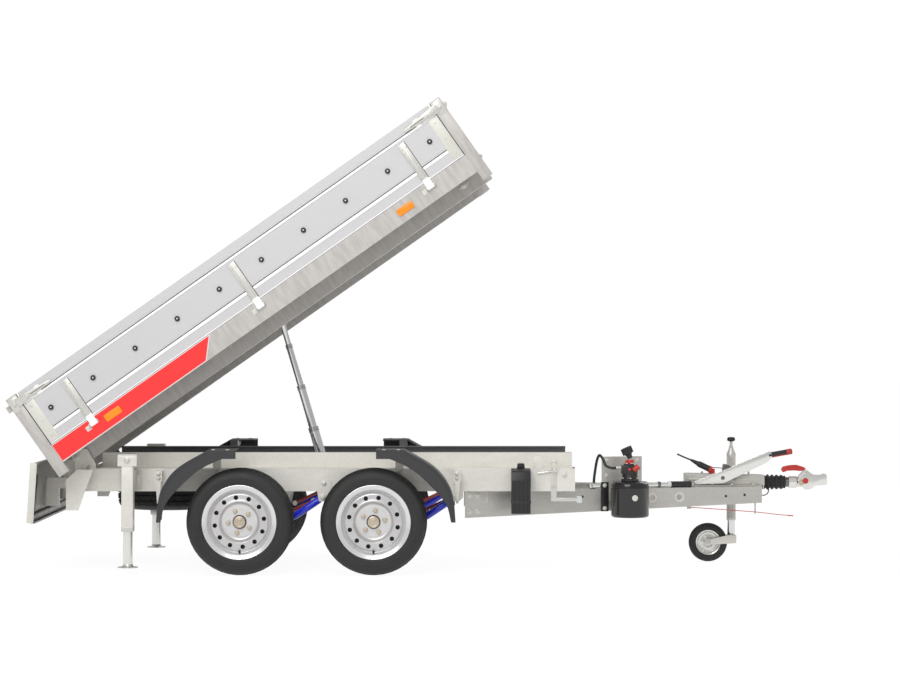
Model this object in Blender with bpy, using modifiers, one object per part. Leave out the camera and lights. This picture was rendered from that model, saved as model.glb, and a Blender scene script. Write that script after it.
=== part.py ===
# Tandem tipper trailer with its bed raised, in metres, +X forward, +Y left, +Z up.
# Lengths along X are first set from midway between the two wheels, then the whole
# trailer hangs from one empty that puts the middle of its length over the origin.
import math
import bpy
import bmesh
from mathutils import Matrix, Vector

for old in list(bpy.data.objects):
    bpy.data.objects.remove(old, do_unlink=True)

# Clearances and shared overruns
SEAT_GAP = 0.0003
RUN_GAP = 0.0005
OVERRUN = 0.010
WELD_SINK = 0.002
MERGE_STEP = 0.00001
GRID_PLACES = 6
FLAT_ANGLE = math.radians(0.05)
ROUND_SIDES = 16
SMALL_SIDES = 8

# Driving sizes of the trailer
WHEELBASE = 0.655
TYRE_R = 0.262
TYRE_WIDTH = 0.195
TYRE_OUT = 0.742
RAIL_BOTTOM = 0.402
RAIL_TOP = 0.515
RAIL_OUT = 0.520
CHANNEL_TOP = 0.590
CHANNEL_OUT = 0.400
BED_LENGTH = 2.568
BED_HALF_WIDTH = 0.800
BED_LOWERED_Z = 0.530
TIP_ANGLE = math.radians(35.05)
PIVOT_U = 0.0909
PIVOT_V = 0.0428
PIVOT_X = -1.1445
PIVOT_Z = BED_LOWERED_Z + PIVOT_V
BAR_FRONT_X = 2.2985
HOUSING_LENGTH = 0.4085
HOUSING_NOSE = 0.0165
BELLOWS_LENGTH = 0.1111
NECK_LENGTH = 0.0501
HEAD_LENGTH = 0.1626
HOUSING_FRONT_X = BAR_FRONT_X + HOUSING_NOSE
BELLOWS_FRONT_X = HOUSING_FRONT_X + BELLOWS_LENGTH
HEAD_REAR_X = BELLOWS_FRONT_X + NECK_LENGTH
NOSE_X = HEAD_REAR_X + HEAD_LENGTH
POST_HEIGHT = 0.455
HOOK_OUT = 0.025
HOOK_TOP_V = 0.426

# The rearmost point is the top corner of the tailgate's hook on the raised bed
REAR_REACH = (HOOK_OUT + PIVOT_U) * math.cos(TIP_ANGLE) + (HOOK_TOP_V - PIVOT_V) * math.sin(TIP_ANGLE)
CENTRE_X = (PIVOT_X - REAR_REACH + NOSE_X) / 2

trailer_group = bpy.data.collections.new("tipper_trailer")
cutter_group = bpy.data.collections.new("cutters")
bpy.context.scene.collection.children.link(trailer_group)
bpy.context.scene.collection.children.link(cutter_group)


# Materials
def finish(name, colour, roughness, metallic):
    material = bpy.data.materials.new(name)
    material.use_nodes = True
    shader = material.node_tree.nodes["Principled BSDF"]
    shader.inputs["Base Color"].default_value = (*colour, 1)
    shader.inputs["Roughness"].default_value = roughness
    shader.inputs["Metallic"].default_value = metallic
    material.diffuse_color = (*colour, 1)
    return material


GALVANISED = finish("galvanised", (0.62, 0.61, 0.59), 0.45, 0.8)
ZINC = finish("zinc", (0.80, 0.79, 0.75), 0.35, 0.8)
ALUMINIUM = finish("aluminium", (0.66, 0.65, 0.67), 0.5, 0.7)
RUBBER = finish("rubber", (0.025, 0.025, 0.026), 0.75, 0.0)
RIM_SILVER = finish("rim_silver", (0.66, 0.65, 0.68), 0.35, 0.5)
BLACK_PLASTIC = finish("black_plastic", (0.06, 0.06, 0.062), 0.5, 0.0)
GLOSS_BLACK = finish("gloss_black", (0.03, 0.03, 0.03), 0.15, 0.0)
BLACK_STEEL = finish("black_steel", (0.05, 0.05, 0.05), 0.45, 0.3)
BLUE_PAINT = finish("blue_paint", (0.02, 0.03, 0.35), 0.35, 0.2)
RED_PLASTIC = finish("red_plastic", (0.55, 0.04, 0.03), 0.4, 0.0)
CHROME = finish("chrome", (0.75, 0.75, 0.75), 0.12, 1.0)
FLOOR_STEEL = finish("floor_steel", (0.55, 0.54, 0.53), 0.5, 0.6)


# Empties that carry the pieces
def pivot(name, place, parent=None, turn=(0, 0, 0)):
    empty = bpy.data.objects.new(name, None)
    empty.location = place
    empty.rotation_euler = turn
    empty.parent = parent
    trailer_group.objects.link(empty)
    return empty


root = pivot("trailer", (-CENTRE_X, 0, 0))


# Shape helpers: each returns a mesh object under its parent
def keep(obj, name, parent, material=None):
    obj.name = name
    obj.parent = parent or root
    for group in list(obj.users_collection):
        group.objects.unlink(obj)
    trailer_group.objects.link(obj)
    if material:
        obj.data.materials.append(material)
    return obj


def set_down(mesh, matrix):
    # Puts a mesh in its parent's space, on a grid of a thousandth of a millimetre
    mesh.transform(matrix)
    for point in mesh.vertices:
        point.co = [round(value, GRID_PLACES) for value in point.co]


def block(name, low, high, parent=None, material=None):
    centre = [(a + b) / 2 for a, b in zip(low, high)]
    size = [abs(b - a) for a, b in zip(low, high)]
    bpy.ops.mesh.primitive_cube_add(size=1)
    obj = bpy.context.object
    set_down(obj.data, Matrix.Translation(centre) @ Matrix.Diagonal((*size, 1)))
    return keep(obj, name, parent, material)


def rod(name, start, end, radius, parent=None, material=None, sides=ROUND_SIDES, end_radius=None):
    start, end = Vector(start), Vector(end)
    along = end - start
    bpy.ops.mesh.primitive_cone_add(
        vertices=sides, radius1=radius, radius2=radius if end_radius is None else end_radius,
                                    depth=along.length)
    obj = bpy.context.object
    turn = along.to_track_quat("Z", "Y").to_matrix().to_4x4()
    set_down(obj.data, Matrix.Translation((start + end) / 2) @ turn)
    obj.data.shade_smooth()
    obj.data.set_sharp_from_angle(angle=math.radians(40))
    return keep(obj, name, parent, material)


def solid_from_curve(curve_obj, name, parent, material=None):
    graph = bpy.context.evaluated_depsgraph_get()
    mesh = bpy.data.meshes.new_from_object(curve_obj.evaluated_get(graph))
    shape = bmesh.new()
    shape.from_mesh(mesh)
    bmesh.ops.remove_doubles(shape, verts=shape.verts, dist=MERGE_STEP)
    bmesh.ops.recalc_face_normals(shape, faces=shape.faces)
    shape.to_mesh(mesh)
    shape.free()
    set_down(mesh, curve_obj.matrix_world)
    obj = bpy.data.objects.new(name, mesh)
    trailer_group.objects.link(obj)
    bpy.data.objects.remove(curve_obj, do_unlink=True)
    return keep(obj, name, parent, material)


def flat_curve(points, thickness):
    data = bpy.data.curves.new("outline", "CURVE")
    data.dimensions = "2D"
    data.fill_mode = "BOTH"
    data.extrude = thickness / 2
    spline = data.splines.new("POLY")
    spline.points.add(len(points) - 1)
    for point, (a, b) in zip(spline.points, points):
        point.co = (a, b, 0, 1)
    spline.use_cyclic_u = True
    obj = bpy.data.objects.new("outline", data)
    bpy.context.scene.collection.objects.link(obj)
    return obj


SIDE_VIEW = Matrix.Rotation(math.pi / 2, 4, "X")
END_VIEW = Matrix.Rotation(math.pi / 2, 4, "Z") @ Matrix.Rotation(math.pi / 2, 4, "X")


def side_plate(name, points, low_y, high_y, parent=None, material=None):
    # An outline in X and Z, as thick as low_y to high_y
    curve = flat_curve(points, abs(high_y - low_y))
    curve.matrix_world = Matrix.Translation((0, (low_y + high_y) / 2, 0)) @ SIDE_VIEW
    bpy.context.view_layer.update()
    return solid_from_curve(curve, name, parent, material)


def section_bar(name, points, low_x, high_x, parent=None, material=None):
    # An outline in Y and Z, run along X
    curve = flat_curve(points, abs(high_x - low_x))
    curve.matrix_world = Matrix.Translation(((low_x + high_x) / 2, 0, 0)) @ END_VIEW
    bpy.context.view_layer.update()
    return solid_from_curve(curve, name, parent, material)


def plan_plate(name, points, low_z, high_z, parent=None, material=None):
    # An outline in X and Y, as thick as low_z to high_z
    curve = flat_curve(points, abs(high_z - low_z))
    curve.matrix_world = Matrix.Translation((0, 0, (low_z + high_z) / 2))
    bpy.context.view_layer.update()
    return solid_from_curve(curve, name, parent, material)


def bent_tube(name, points, radius, parent=None, material=None, bevel=2, smooth_steps=0):
    data = bpy.data.curves.new(name, "CURVE")
    data.dimensions = "3D"
    data.bevel_depth = radius
    data.bevel_resolution = bevel
    data.use_fill_caps = True
    data.render_resolution_u = 0
    path = spread(points, smooth_steps) if smooth_steps else [Vector(p) for p in points]
    spline = data.splines.new("POLY")
    spline.points.add(len(path) - 1)
    for point, place in zip(spline.points, path):
        point.co = (*place, 1)
    obj = bpy.data.objects.new(name, data)
    trailer_group.objects.link(obj)
    obj.parent = parent or root
    if material:
        data.materials.append(material)
    return obj


def spread(points, steps):
    # A smooth path through hand-chosen points, as a centripetal-like spline
    places = [Vector(p) for p in points]
    ends = [2 * places[0] - places[1]] + places + [2 * places[-1] - places[-2]]
    path = []
    for i in range(1, len(ends) - 2):
        a, b, c, d = ends[i - 1:i + 3]
        for k in range(steps):
            t = k / steps
            path.append(((2 * b) + (c - a) * t + (2 * a - 5 * b + 4 * c - d) * t ** 2
                         + (3 * b - a - 3 * c + d) * t ** 3) / 2)
    path.append(places[-1])
    return path


def turned(name, profile, place, turn, parent=None, material=None, steps=ROUND_SIDES):
    # A closed ring of (radius, height) points spun about the local Z axis
    mesh = bpy.data.meshes.new(name)
    shape = bmesh.new()
    ring = [shape.verts.new((radius, 0, height)) for radius, height in profile]
    for first, second in zip(ring, ring[1:] + ring[:1]):
        if profile[ring.index(first)][0] > 0 or profile[ring.index(second)][0] > 0:
            shape.edges.new((first, second))
    shape.to_mesh(mesh)
    shape.free()
    obj = bpy.data.objects.new(name, mesh)
    bpy.context.scene.collection.objects.link(obj)
    screw = obj.modifiers.new("spin", "SCREW")
    screw.axis = "Z"
    screw.steps = steps
    screw.render_steps = steps
    screw.use_merge_vertices = True
    screw.merge_threshold = MERGE_STEP
    screw.use_normal_calculate = True
    graph = bpy.context.evaluated_depsgraph_get()
    spun = bpy.data.meshes.new_from_object(obj.evaluated_get(graph))
    bpy.data.objects.remove(obj, do_unlink=True)
    shape = bmesh.new()
    shape.from_mesh(spun)
    bmesh.ops.remove_doubles(shape, verts=shape.verts, dist=MERGE_STEP)
    bmesh.ops.recalc_face_normals(shape, faces=shape.faces)
    shape.to_mesh(spun)
    shape.free()
    solid = bpy.data.objects.new(name, spun)
    solid.location = place
    solid.rotation_euler = turn
    spun.shade_smooth()
    spun.set_sharp_from_angle(angle=math.radians(35))
    trailer_group.objects.link(solid)
    return keep(solid, name, parent, material)


def hide(obj):
    for group in list(obj.users_collection):
        group.objects.unlink(obj)
    cutter_group.objects.link(obj)
    obj.hide_render = True
    obj.display_type = "WIRE"


def combine(base, pieces, operation):
    for piece in pieces:
        hide(piece)
        step = base.modifiers.new(piece.name, "BOOLEAN")
        step.operation = operation
        step.solver = "EXACT"
        step.object = piece
    bpy.context.view_layer.update()
    graph = bpy.context.evaluated_depsgraph_get()
    mesh = bpy.data.meshes.new_from_object(base.evaluated_get(graph))
    base.modifiers.clear()
    shape = bmesh.new()
    shape.from_mesh(mesh)
    bmesh.ops.remove_doubles(shape, verts=shape.verts, dist=MERGE_STEP / 10)
    bmesh.ops.dissolve_limit(shape, angle_limit=FLAT_ANGLE, verts=shape.verts, edges=shape.edges,
                             delimit={"SHARP"})
    shape.to_mesh(mesh)
    shape.free()
    base.data = mesh
    for piece in pieces:
        bpy.data.objects.remove(piece, do_unlink=True)
    return base


def fuse(base, pieces):
    return combine(base, pieces, "UNION")


def cut(base, pieces):
    return combine(base, pieces, "DIFFERENCE")


def both_sides(maker):
    # Runs a maker for the right side, -1, and the left side, +1
    return [maker("right", -1), maker("left", 1)]




def span(side, inner, outer):
    return sorted((side * inner, side * outer))


# Chassis frame: lower rails, upper channels, crossmembers and brackets
FRAME_WALL = 0.004
RAIL_REAR_X = -1.1055
RAIL_FRONT_X = 1.3215
RAIL_SHELF_IN = 0.340
RAIL_FOOT_IN = 0.455
CHANNEL_REAR_X = -1.0355
CHANNEL_FRONT_X = 1.3115
CHANNEL_FLANGE = 0.045
CROSS_HEIGHT = 0.060
CROSS_WIDTH = 0.050
CROSS_XS = (-1.080, -0.445, -0.075, 0.185, 0.700, 1.285)
WELDED_CROSSES = (0, 4, 5)
AXLE_CROSS = 1
CRADLE_CROSSES = (2, 3)
PAD_IN = 0.462
PAD_OUT = 0.508
PAD_TOP = 0.5185
PAD_SPANS = ((-1.030, -0.880), (-0.250, -0.100), (0.560, 0.910), (1.150, 1.300))
PIVOT_PLATE_THICK = 0.008
PIVOT_PLATE_GAP = 0.0052
PIVOT_PIN_R = 0.014
PIVOT_HEAD_R = 0.021
PLATE_ROUND = 0.028
PLATE_FRONT = 0.092
PLATE_SHOULDER_DROP = 0.033
PLATE_TOP_RISE = 0.040
PLATE_TOP_REAR = 0.014
PLATE_TOP_FRONT = 0.049
PLATE_FOOT_REAR = 0.010
PLATE_ROUND_ANGLES = (115, 145, 180, 215, 245)
BUMPER_Y = 0.600
BUMPER_THICK = 0.006
BUMPER_POINTS = ((-1.1355, 0.514), (-1.0575, 0.512), (-1.1305, 0.312), (-1.1905, 0.312), (-1.1905, 0.461))
BEAM_OUT = 0.515
BEAM_WIDTH = 0.060
BEAM_BOTTOM_V = -0.008
TRUNNION_X = 0.055
TRUNNION_Z = 0.505
TRUNNION_R = 0.012
TRUNNION_PLATE_IN = 0.046
TRUNNION_PLATE_THICK = 0.008


def rail_section(side):
    wall = FRAME_WALL
    points = [(RAIL_OUT, RAIL_BOTTOM), (RAIL_OUT, RAIL_TOP), (RAIL_SHELF_IN, RAIL_TOP),
              (RAIL_SHELF_IN, RAIL_TOP - wall), (RAIL_OUT - wall, RAIL_TOP - wall),
              (RAIL_OUT - wall, RAIL_BOTTOM + wall), (RAIL_FOOT_IN, RAIL_BOTTOM + wall),
              (RAIL_FOOT_IN, RAIL_BOTTOM)]
    return [(side * y, z) for y, z in points]


def channel_section(side):
    wall = FRAME_WALL
    inner = CHANNEL_OUT - CHANNEL_FLANGE
    low = RAIL_TOP - WELD_SINK
    points = [(CHANNEL_OUT, low), (CHANNEL_OUT, CHANNEL_TOP), (inner, CHANNEL_TOP),
              (inner, CHANNEL_TOP - wall), (CHANNEL_OUT - wall, CHANNEL_TOP - wall),
              (CHANNEL_OUT - wall, low + wall), (inner, low + wall), (inner, low)]
    return [(side * y, z) for y, z in points]


def side_frame(label, side):
    pieces = [section_bar("channel_" + label, channel_section(side), CHANNEL_REAR_X, CHANNEL_FRONT_X)]
    for i, (start, end) in enumerate(PAD_SPANS):
        low, high = span(side, PAD_IN, PAD_OUT)
        pieces.append(block(f"pad_{label}_{i}", (start, low, RAIL_TOP - WELD_SINK), (end, high, PAD_TOP)))
    pieces += pivot_plate(label, side)
    pieces += bumper_plate(label, side)
    return pieces


def pivot_plate(label, side):
    inner = RAIL_OUT - WELD_SINK
    outer = BEAM_OUT + PIVOT_PLATE_GAP + PIVOT_PLATE_THICK
    low_z = RAIL_BOTTOM + FRAME_WALL * 3
    points = [(RAIL_REAR_X, low_z), (PIVOT_X + PLATE_FRONT, low_z),
              (PIVOT_X + PLATE_FRONT, PIVOT_Z - PLATE_SHOULDER_DROP),
              (PIVOT_X + PLATE_TOP_FRONT, PIVOT_Z + PLATE_TOP_RISE),
              (PIVOT_X + PLATE_TOP_REAR, PIVOT_Z + PLATE_TOP_RISE)]
    for degrees in PLATE_ROUND_ANGLES:
        angle = math.radians(degrees)
        points.append((PIVOT_X + PLATE_ROUND * math.cos(angle), PIVOT_Z + PLATE_ROUND * math.sin(angle)))
    points.append((PIVOT_X - PLATE_FOOT_REAR, RAIL_TOP - CROSS_WIDTH))
    low, high = span(side, BEAM_OUT + PIVOT_PLATE_GAP, outer)
    plate = side_plate("pivot_plate_" + label, points, low, high)
    low, high = span(side, BEAM_OUT - BEAM_WIDTH - OVERRUN, outer + FRAME_WALL)
    pin = rod("pivot_pin_" + label, (PIVOT_X, low, PIVOT_Z), (PIVOT_X, high, PIVOT_Z), PIVOT_PIN_R)
    low, high = span(side, outer - WELD_SINK, outer + PIVOT_PLATE_THICK)
    head = rod("pivot_head_" + label, (PIVOT_X, low, PIVOT_Z), (PIVOT_X, high, PIVOT_Z), PIVOT_HEAD_R,
               sides=SMALL_SIDES)
    low, high = span(side, RAIL_OUT - FRAME_WALL, outer)
    foot = block("pivot_foot_" + label, (RAIL_REAR_X, low, low_z),
                 (PIVOT_X + PLATE_FRONT, high, RAIL_TOP - FRAME_WALL))
    return [foot, plate, pin, head]


def bumper_plate(label, side):
    low, high = span(side, BUMPER_Y - BUMPER_THICK, BUMPER_Y)
    plate = side_plate("bumper_plate_" + label, BUMPER_POINTS, low, high)
    low, high = span(side, RAIL_SHELF_IN, BUMPER_Y - WELD_SINK)
    arm = block("bumper_arm_" + label, (BUMPER_POINTS[0][0] - CROSS_WIDTH / 2, low,
                                        RAIL_BOTTOM + FRAME_WALL * 2),
                (RAIL_REAR_X + FRAME_WALL * 2, high, RAIL_TOP - FRAME_WALL * 12))
    return [arm, plate]


def build_chassis():
    frame = section_bar("chassis_frame", rail_section(-1), RAIL_REAR_X, RAIL_FRONT_X, material=GALVANISED)
    far_rail = section_bar("rail_left", rail_section(1), RAIL_REAR_X, RAIL_FRONT_X)
    crossings = []
    for i in WELDED_CROSSES:
        x = CROSS_XS[i]
        crossings.append(block(f"crossmember_{i}",
                               (x - CROSS_WIDTH / 2, -RAIL_OUT + WELD_SINK, RAIL_TOP - CROSS_HEIGHT),
                               (x + CROSS_WIDTH / 2, RAIL_OUT - WELD_SINK, RAIL_TOP - WELD_SINK)))
    pieces = crossings[:1] + [far_rail] + crossings[1:]
    pieces += side_frame("right", -1) + side_frame("left", 1)
    pieces += guard_arms() + leg_arms() + light_arms() + spare_carrier() + shock_brackets()
    fuse(frame, pieces)
    return [frame, bolted_cross("axle_crossmember", AXLE_CROSS), build_cradle()]


def bolted_cross(name, index):
    # Slides in between the rails, under their top flanges
    x = CROSS_XS[index]
    reach = RAIL_OUT - FRAME_WALL - SEAT_GAP
    return block(name, (x - CROSS_WIDTH / 2, -reach, RAIL_TOP - CROSS_HEIGHT),
                 (x + CROSS_WIDTH / 2, reach, RAIL_TOP - FRAME_WALL - SEAT_GAP), material=GALVANISED)


def build_cradle():
    # Two crossmembers with the plates that hold the cylinder's trunnion
    cradle = bolted_cross("cylinder_cradle", CRADLE_CROSSES[0])
    fuse(cradle, [bolted_cross("cradle_front", CRADLE_CROSSES[1])] + trunnion_brackets())
    holes = []
    for side in (-1, 1):
        low, high = span(side, TRUNNION_PLATE_IN - OVERRUN,
                         TRUNNION_PLATE_IN + TRUNNION_PLATE_THICK + OVERRUN)
        holes.append(rod(f"trunnion_hole_{side}", (TRUNNION_X, low, TRUNNION_Z),
                         (TRUNNION_X, high, TRUNNION_Z),
                         TRUNNION_R + RUN_GAP))
    return cut(cradle, holes)


def trunnion_brackets():
    pieces = []
    for side in (-1, 1):
        low, high = span(side, TRUNNION_PLATE_IN, TRUNNION_PLATE_IN + TRUNNION_PLATE_THICK)
        pieces.append(block(f"trunnion_plate_{side}",
                            (CROSS_XS[2] - WELD_SINK, low, TRUNNION_Z - TRUNNION_R * 2.5),
                            (CROSS_XS[3] + WELD_SINK, high, RAIL_TOP + TRUNNION_R)))
    return pieces


# Mudguards, their arms and stays
HUB_XS = (-WHEELBASE / 2, WHEELBASE / 2)
GUARD_OUT = 0.775
GUARD_WIDTH = 0.205
GUARD_SHEET = 0.004
GUARD_TOP = 0.617
GUARD_SKIRT_TOP_Z = 0.575
GUARD_FLAT_END = 0.014
GUARD_FLAT_START = 0.149
GUARD_OUTER = ((0.298, 0.528), (0.370, 0.435), (0.393, 0.352), (0.401, 0.264))
GUARD_INNER = ((0.382, 0.264), (0.352, 0.361), (0.251, 0.473), (0.135, 0.542))
GUARD_ARM_X = 0.124
GUARD_ARM_WIDTH = 0.040
GUARD_ARM_DEEP = 0.028
GUARD_POST_DEEP = 0.014
STAY_X = 0.410
STAY_THICK = 0.004
STAY_WIDTH = 0.035
STAY_TIP = 0.012
STAY_Y = 0.580
STAY_TOP_Z = 0.505
STAY_LOW_Z = 0.345


def guard_path(inset):
    # The outer run of the guard from its flat end to its tip, moved in by inset
    path = [(GUARD_FLAT_END, GUARD_TOP - inset), (GUARD_FLAT_START, GUARD_TOP - inset)]
    centre = (0.0, TYRE_R)
    for x, z in GUARD_OUTER:
        away = math.hypot(x - centre[0], z - centre[1])
        share = (away - inset) / away
        path.append((centre[0] + (x - centre[0]) * share, centre[1] + (z - centre[1]) * share))
    return path


def build_guard(name, end, side):
    # end is -1 for the rear wheel's guard and 1 for the front wheel's, its tip pointing outwards
    hub = HUB_XS[0] if end < 0 else HUB_XS[1]
    sheet = guard_path(0) + guard_path(GUARD_SHEET)[::-1]
    skirt = guard_path(0) + list(GUARD_INNER) + [(GUARD_FLAT_START, GUARD_SKIRT_TOP_Z),
                                                 (GUARD_FLAT_END, GUARD_SKIRT_TOP_Z)]

    def place(points):
        return [(hub + end * x, z) for x, z in points]

    low, high = span(side, GUARD_OUT - GUARD_WIDTH, GUARD_OUT)
    guard = side_plate(name, place(sheet), low, high, material=BLACK_PLASTIC)
    low, high = span(side, GUARD_OUT - GUARD_SHEET, GUARD_OUT)
    return fuse(guard, [side_plate(name + "_skirt", place(skirt), low, high)])


def guard_arms():
    pieces = []
    for end, hub in zip((-1, 1), HUB_XS):
        for side in (-1, 1):
            x = hub + end * GUARD_ARM_X
            top = GUARD_TOP - GUARD_SHEET - SEAT_GAP
            half = GUARD_ARM_WIDTH / 2
            low, high = span(side, RAIL_OUT + PIVOT_PLATE_GAP, GUARD_OUT - GUARD_SHEET * 3)
            pieces.append(block(f"guard_arm_{end}_{side}", (x - half, low, top - GUARD_ARM_DEEP),
                                (x + half, high, top)))
            low, high = span(side, RAIL_OUT - WELD_SINK, RAIL_OUT + PIVOT_PLATE_GAP + GUARD_POST_DEEP)
            pieces.append(block(f"guard_block_{end}_{side}", (x - half, low, RAIL_TOP - CROSS_HEIGHT),
                                (x + half, high, RAIL_TOP - FRAME_WALL)))
            low, high = span(side, RAIL_OUT + PIVOT_PLATE_GAP, RAIL_OUT + PIVOT_PLATE_GAP + GUARD_POST_DEEP)
            pieces.append(block(f"guard_post_{end}_{side}", (x - half, low, RAIL_TOP - CROSS_HEIGHT / 2),
                                (x + half, high, top - GUARD_ARM_DEEP / 2)))
            pieces += stay(end, hub, side)
    return pieces


def stay(end, hub, side):
    x = hub + end * STAY_X
    half, tip = STAY_WIDTH / 2, STAY_TIP / 2
    points = [(x - half, STAY_TOP_Z), (x + half, STAY_TOP_Z), (x + tip, STAY_LOW_Z), (x - tip, STAY_LOW_Z)]
    low, high = span(side, STAY_Y, STAY_Y + STAY_THICK)
    plate = side_plate(f"stay_{end}_{side}", points, low, high)
    low, high = span(side, RAIL_OUT - WELD_SINK, STAY_Y + STAY_THICK)
    foot = block(f"stay_foot_{end}_{side}", (x - half, low, STAY_TOP_Z - CROSS_WIDTH),
                 (x + half, high, STAY_TOP_Z))
    return [foot, plate]


# Support legs behind the rear wheels
LEG_X = -0.8795
LEG_Y = 0.650
LEG_TUBE = 0.060
LEG_TOP_Z = 0.592
LEG_BOTTOM_Z = 0.212
LEG_HEAD_LOW = 0.532
LEG_HEAD_WIDTH = 0.097
LEG_FOOT_R = 0.024
LEG_PLATE_R = 0.052
LEG_PLATE_THICK = 0.005
LEG_PLATE_Z = 0.034
LEG_FOOT_TOP = 0.420


def leg_arms():
    pieces = []
    for side in (-1, 1):
        low, high = span(side, RAIL_OUT - WELD_SINK, LEG_Y - LEG_TUBE / 2 - SEAT_GAP)
        pieces.append(block(f"leg_arm_{side}", (LEG_X - LEG_TUBE / 2, low, RAIL_BOTTOM + FRAME_WALL),
                            (LEG_X + LEG_TUBE / 2, high, RAIL_TOP - FRAME_WALL)))
    return pieces


def build_leg(label, side):
    half = LEG_TUBE / 2
    low, high = span(side, LEG_Y - half, LEG_Y + half)
    tube = block("leg_tube_" + label, (LEG_X - half, low, LEG_BOTTOM_Z),
                 (LEG_X + half, high, LEG_TOP_Z - FRAME_WALL),
                 material=GALVANISED)
    head = block("leg_head_" + label, (LEG_X - LEG_HEAD_WIDTH / 2, low - FRAME_WALL, LEG_HEAD_LOW),
                 (LEG_X + LEG_HEAD_WIDTH / 2, high + FRAME_WALL, LEG_TOP_Z))
    fuse(tube, [head])
    bore = rod("leg_bore_" + label, (LEG_X, side * LEG_Y, LEG_BOTTOM_Z - OVERRUN),
               (LEG_X, side * LEG_Y, LEG_TOP_Z - CROSS_WIDTH), LEG_FOOT_R + RUN_GAP)
    cut(tube, [bore])
    slider = pivot("leg_slide_" + label, (LEG_X, side * LEG_Y, LEG_PLATE_Z), root)
    foot = rod("leg_foot_" + label, (0, 0, LEG_PLATE_THICK / 2), (0, 0, LEG_FOOT_TOP - LEG_PLATE_Z),
               LEG_FOOT_R, slider,
               GALVANISED)
    fuse(foot, [rod("leg_plate_" + label, (0, 0, 0), (0, 0, LEG_PLATE_THICK), LEG_PLATE_R, slider)])
    return tube, foot


# Rear light board
BOARD_TOP_Z = 0.554
BOARD_LOW_Z = 0.257
BOARD_TOP_X = -1.3015
BOARD_LOW_X = -1.3205
BOARD_DEEP = 0.022
BOARD_SHEET = 0.003
BOARD_HALF = 0.750
LAMP_WIDTH = 0.320
LAMP_HEIGHT = 0.115
LAMP_DEEP = 0.030
LAMP_PROUD = 0.020
LIGHT_ARM_Y = 0.300
LIGHT_ARM_HALF = 0.020
LIGHT_ARM_LOW = 0.406
LIGHT_ARM_TOP = 0.458
LIGHT_FOOT_LOW = 0.317
LIGHT_FOOT_X = -1.2655


def light_arms():
    pieces = []
    for side in (-1, 1):
        low, high = span(side, LIGHT_ARM_Y - LIGHT_ARM_HALF, LIGHT_ARM_Y + LIGHT_ARM_HALF)
        points = [(board_front(LIGHT_FOOT_LOW), LIGHT_FOOT_LOW), (LIGHT_FOOT_X, LIGHT_FOOT_LOW),
                  (LIGHT_FOOT_X, LIGHT_ARM_LOW), (CROSS_XS[0], LIGHT_ARM_LOW), (CROSS_XS[0], LIGHT_ARM_TOP),
                  (board_front(LIGHT_ARM_TOP), LIGHT_ARM_TOP)]
        pieces.append(side_plate(f"light_arm_{side}", points, low, high))
    return pieces


def board_front(z):
    # Just ahead of the light board's leaning web
    top = BOARD_TOP_X - BOARD_DEEP + BOARD_SHEET
    share = (BOARD_TOP_Z - BOARD_SHEET - z) / (BOARD_TOP_Z - BOARD_LOW_Z - BOARD_SHEET * 2)
    return top + (BOARD_LOW_X - BOARD_TOP_X) * share + SEAT_GAP


def build_light_board():
    thick = BOARD_SHEET
    lean = (BOARD_LOW_X - BOARD_TOP_X)
    back = [(BOARD_TOP_X - BOARD_DEEP, BOARD_TOP_Z), (BOARD_TOP_X, BOARD_TOP_Z),
            (BOARD_TOP_X, BOARD_TOP_Z - thick),
            (BOARD_TOP_X - BOARD_DEEP + thick, BOARD_TOP_Z - thick),
            (BOARD_TOP_X - BOARD_DEEP + thick + lean, BOARD_LOW_Z + thick),
            (BOARD_LOW_X, BOARD_LOW_Z + thick),
            (BOARD_LOW_X, BOARD_LOW_Z), (BOARD_LOW_X - BOARD_DEEP, BOARD_LOW_Z)]
    board = side_plate("light_board", back, -BOARD_HALF, BOARD_HALF, material=GALVANISED)
    # The lamps stand square to the leaning web, on its rear face
    along = Vector((-lean, 0, BOARD_TOP_Z - BOARD_LOW_Z)).normalized()
    out = Vector((-along.z, 0, along.x))
    foot = Vector((BOARD_LOW_X - BOARD_DEEP, 0, BOARD_LOW_Z)) + along * LAMP_DEEP
    head = foot + along * LAMP_HEIGHT
    corners = [foot - out * thick / 2, foot + out * LAMP_PROUD, head + out * LAMP_PROUD,
               head - out * thick / 2]
    lamps = []
    for side in (-1, 1):
        low, high = span(side, BOARD_HALF - LAMP_WIDTH, BOARD_HALF - LAMP_DEEP)
        lamps.append(side_plate(f"lamp_{side}", [(corner.x, corner.z) for corner in corners], low, high))
    return fuse(board, lamps)


# Spare wheel lying under the frame
SPARE_X = -0.7425
SPARE_LOW = 0.288
SPARE_ROD_R = 0.014
SPARE_CLAMP_R = 0.034
SPARE_CLAMP_THICK = 0.008


def spare_carrier():
    seat = SPARE_LOW + DISC_Y - SEAT_GAP
    low = seat - SPARE_CLAMP_THICK
    bar = block("spare_bar", (CROSS_XS[0], -CROSS_WIDTH / 2, RAIL_TOP - CROSS_WIDTH / 2),
                (CROSS_XS[1] - CROSS_WIDTH / 2 - SEAT_GAP, CROSS_WIDTH / 2, RAIL_TOP - WELD_SINK))
    stem = rod("spare_stem", (SPARE_X, 0, low), (SPARE_X, 0, RAIL_TOP - WELD_SINK * 2), SPARE_ROD_R)
    clamp = rod("spare_clamp", (SPARE_X, 0, low), (SPARE_X, 0, seat), SPARE_CLAMP_R)
    return [bar, fuse(clamp, [stem])]


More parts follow.
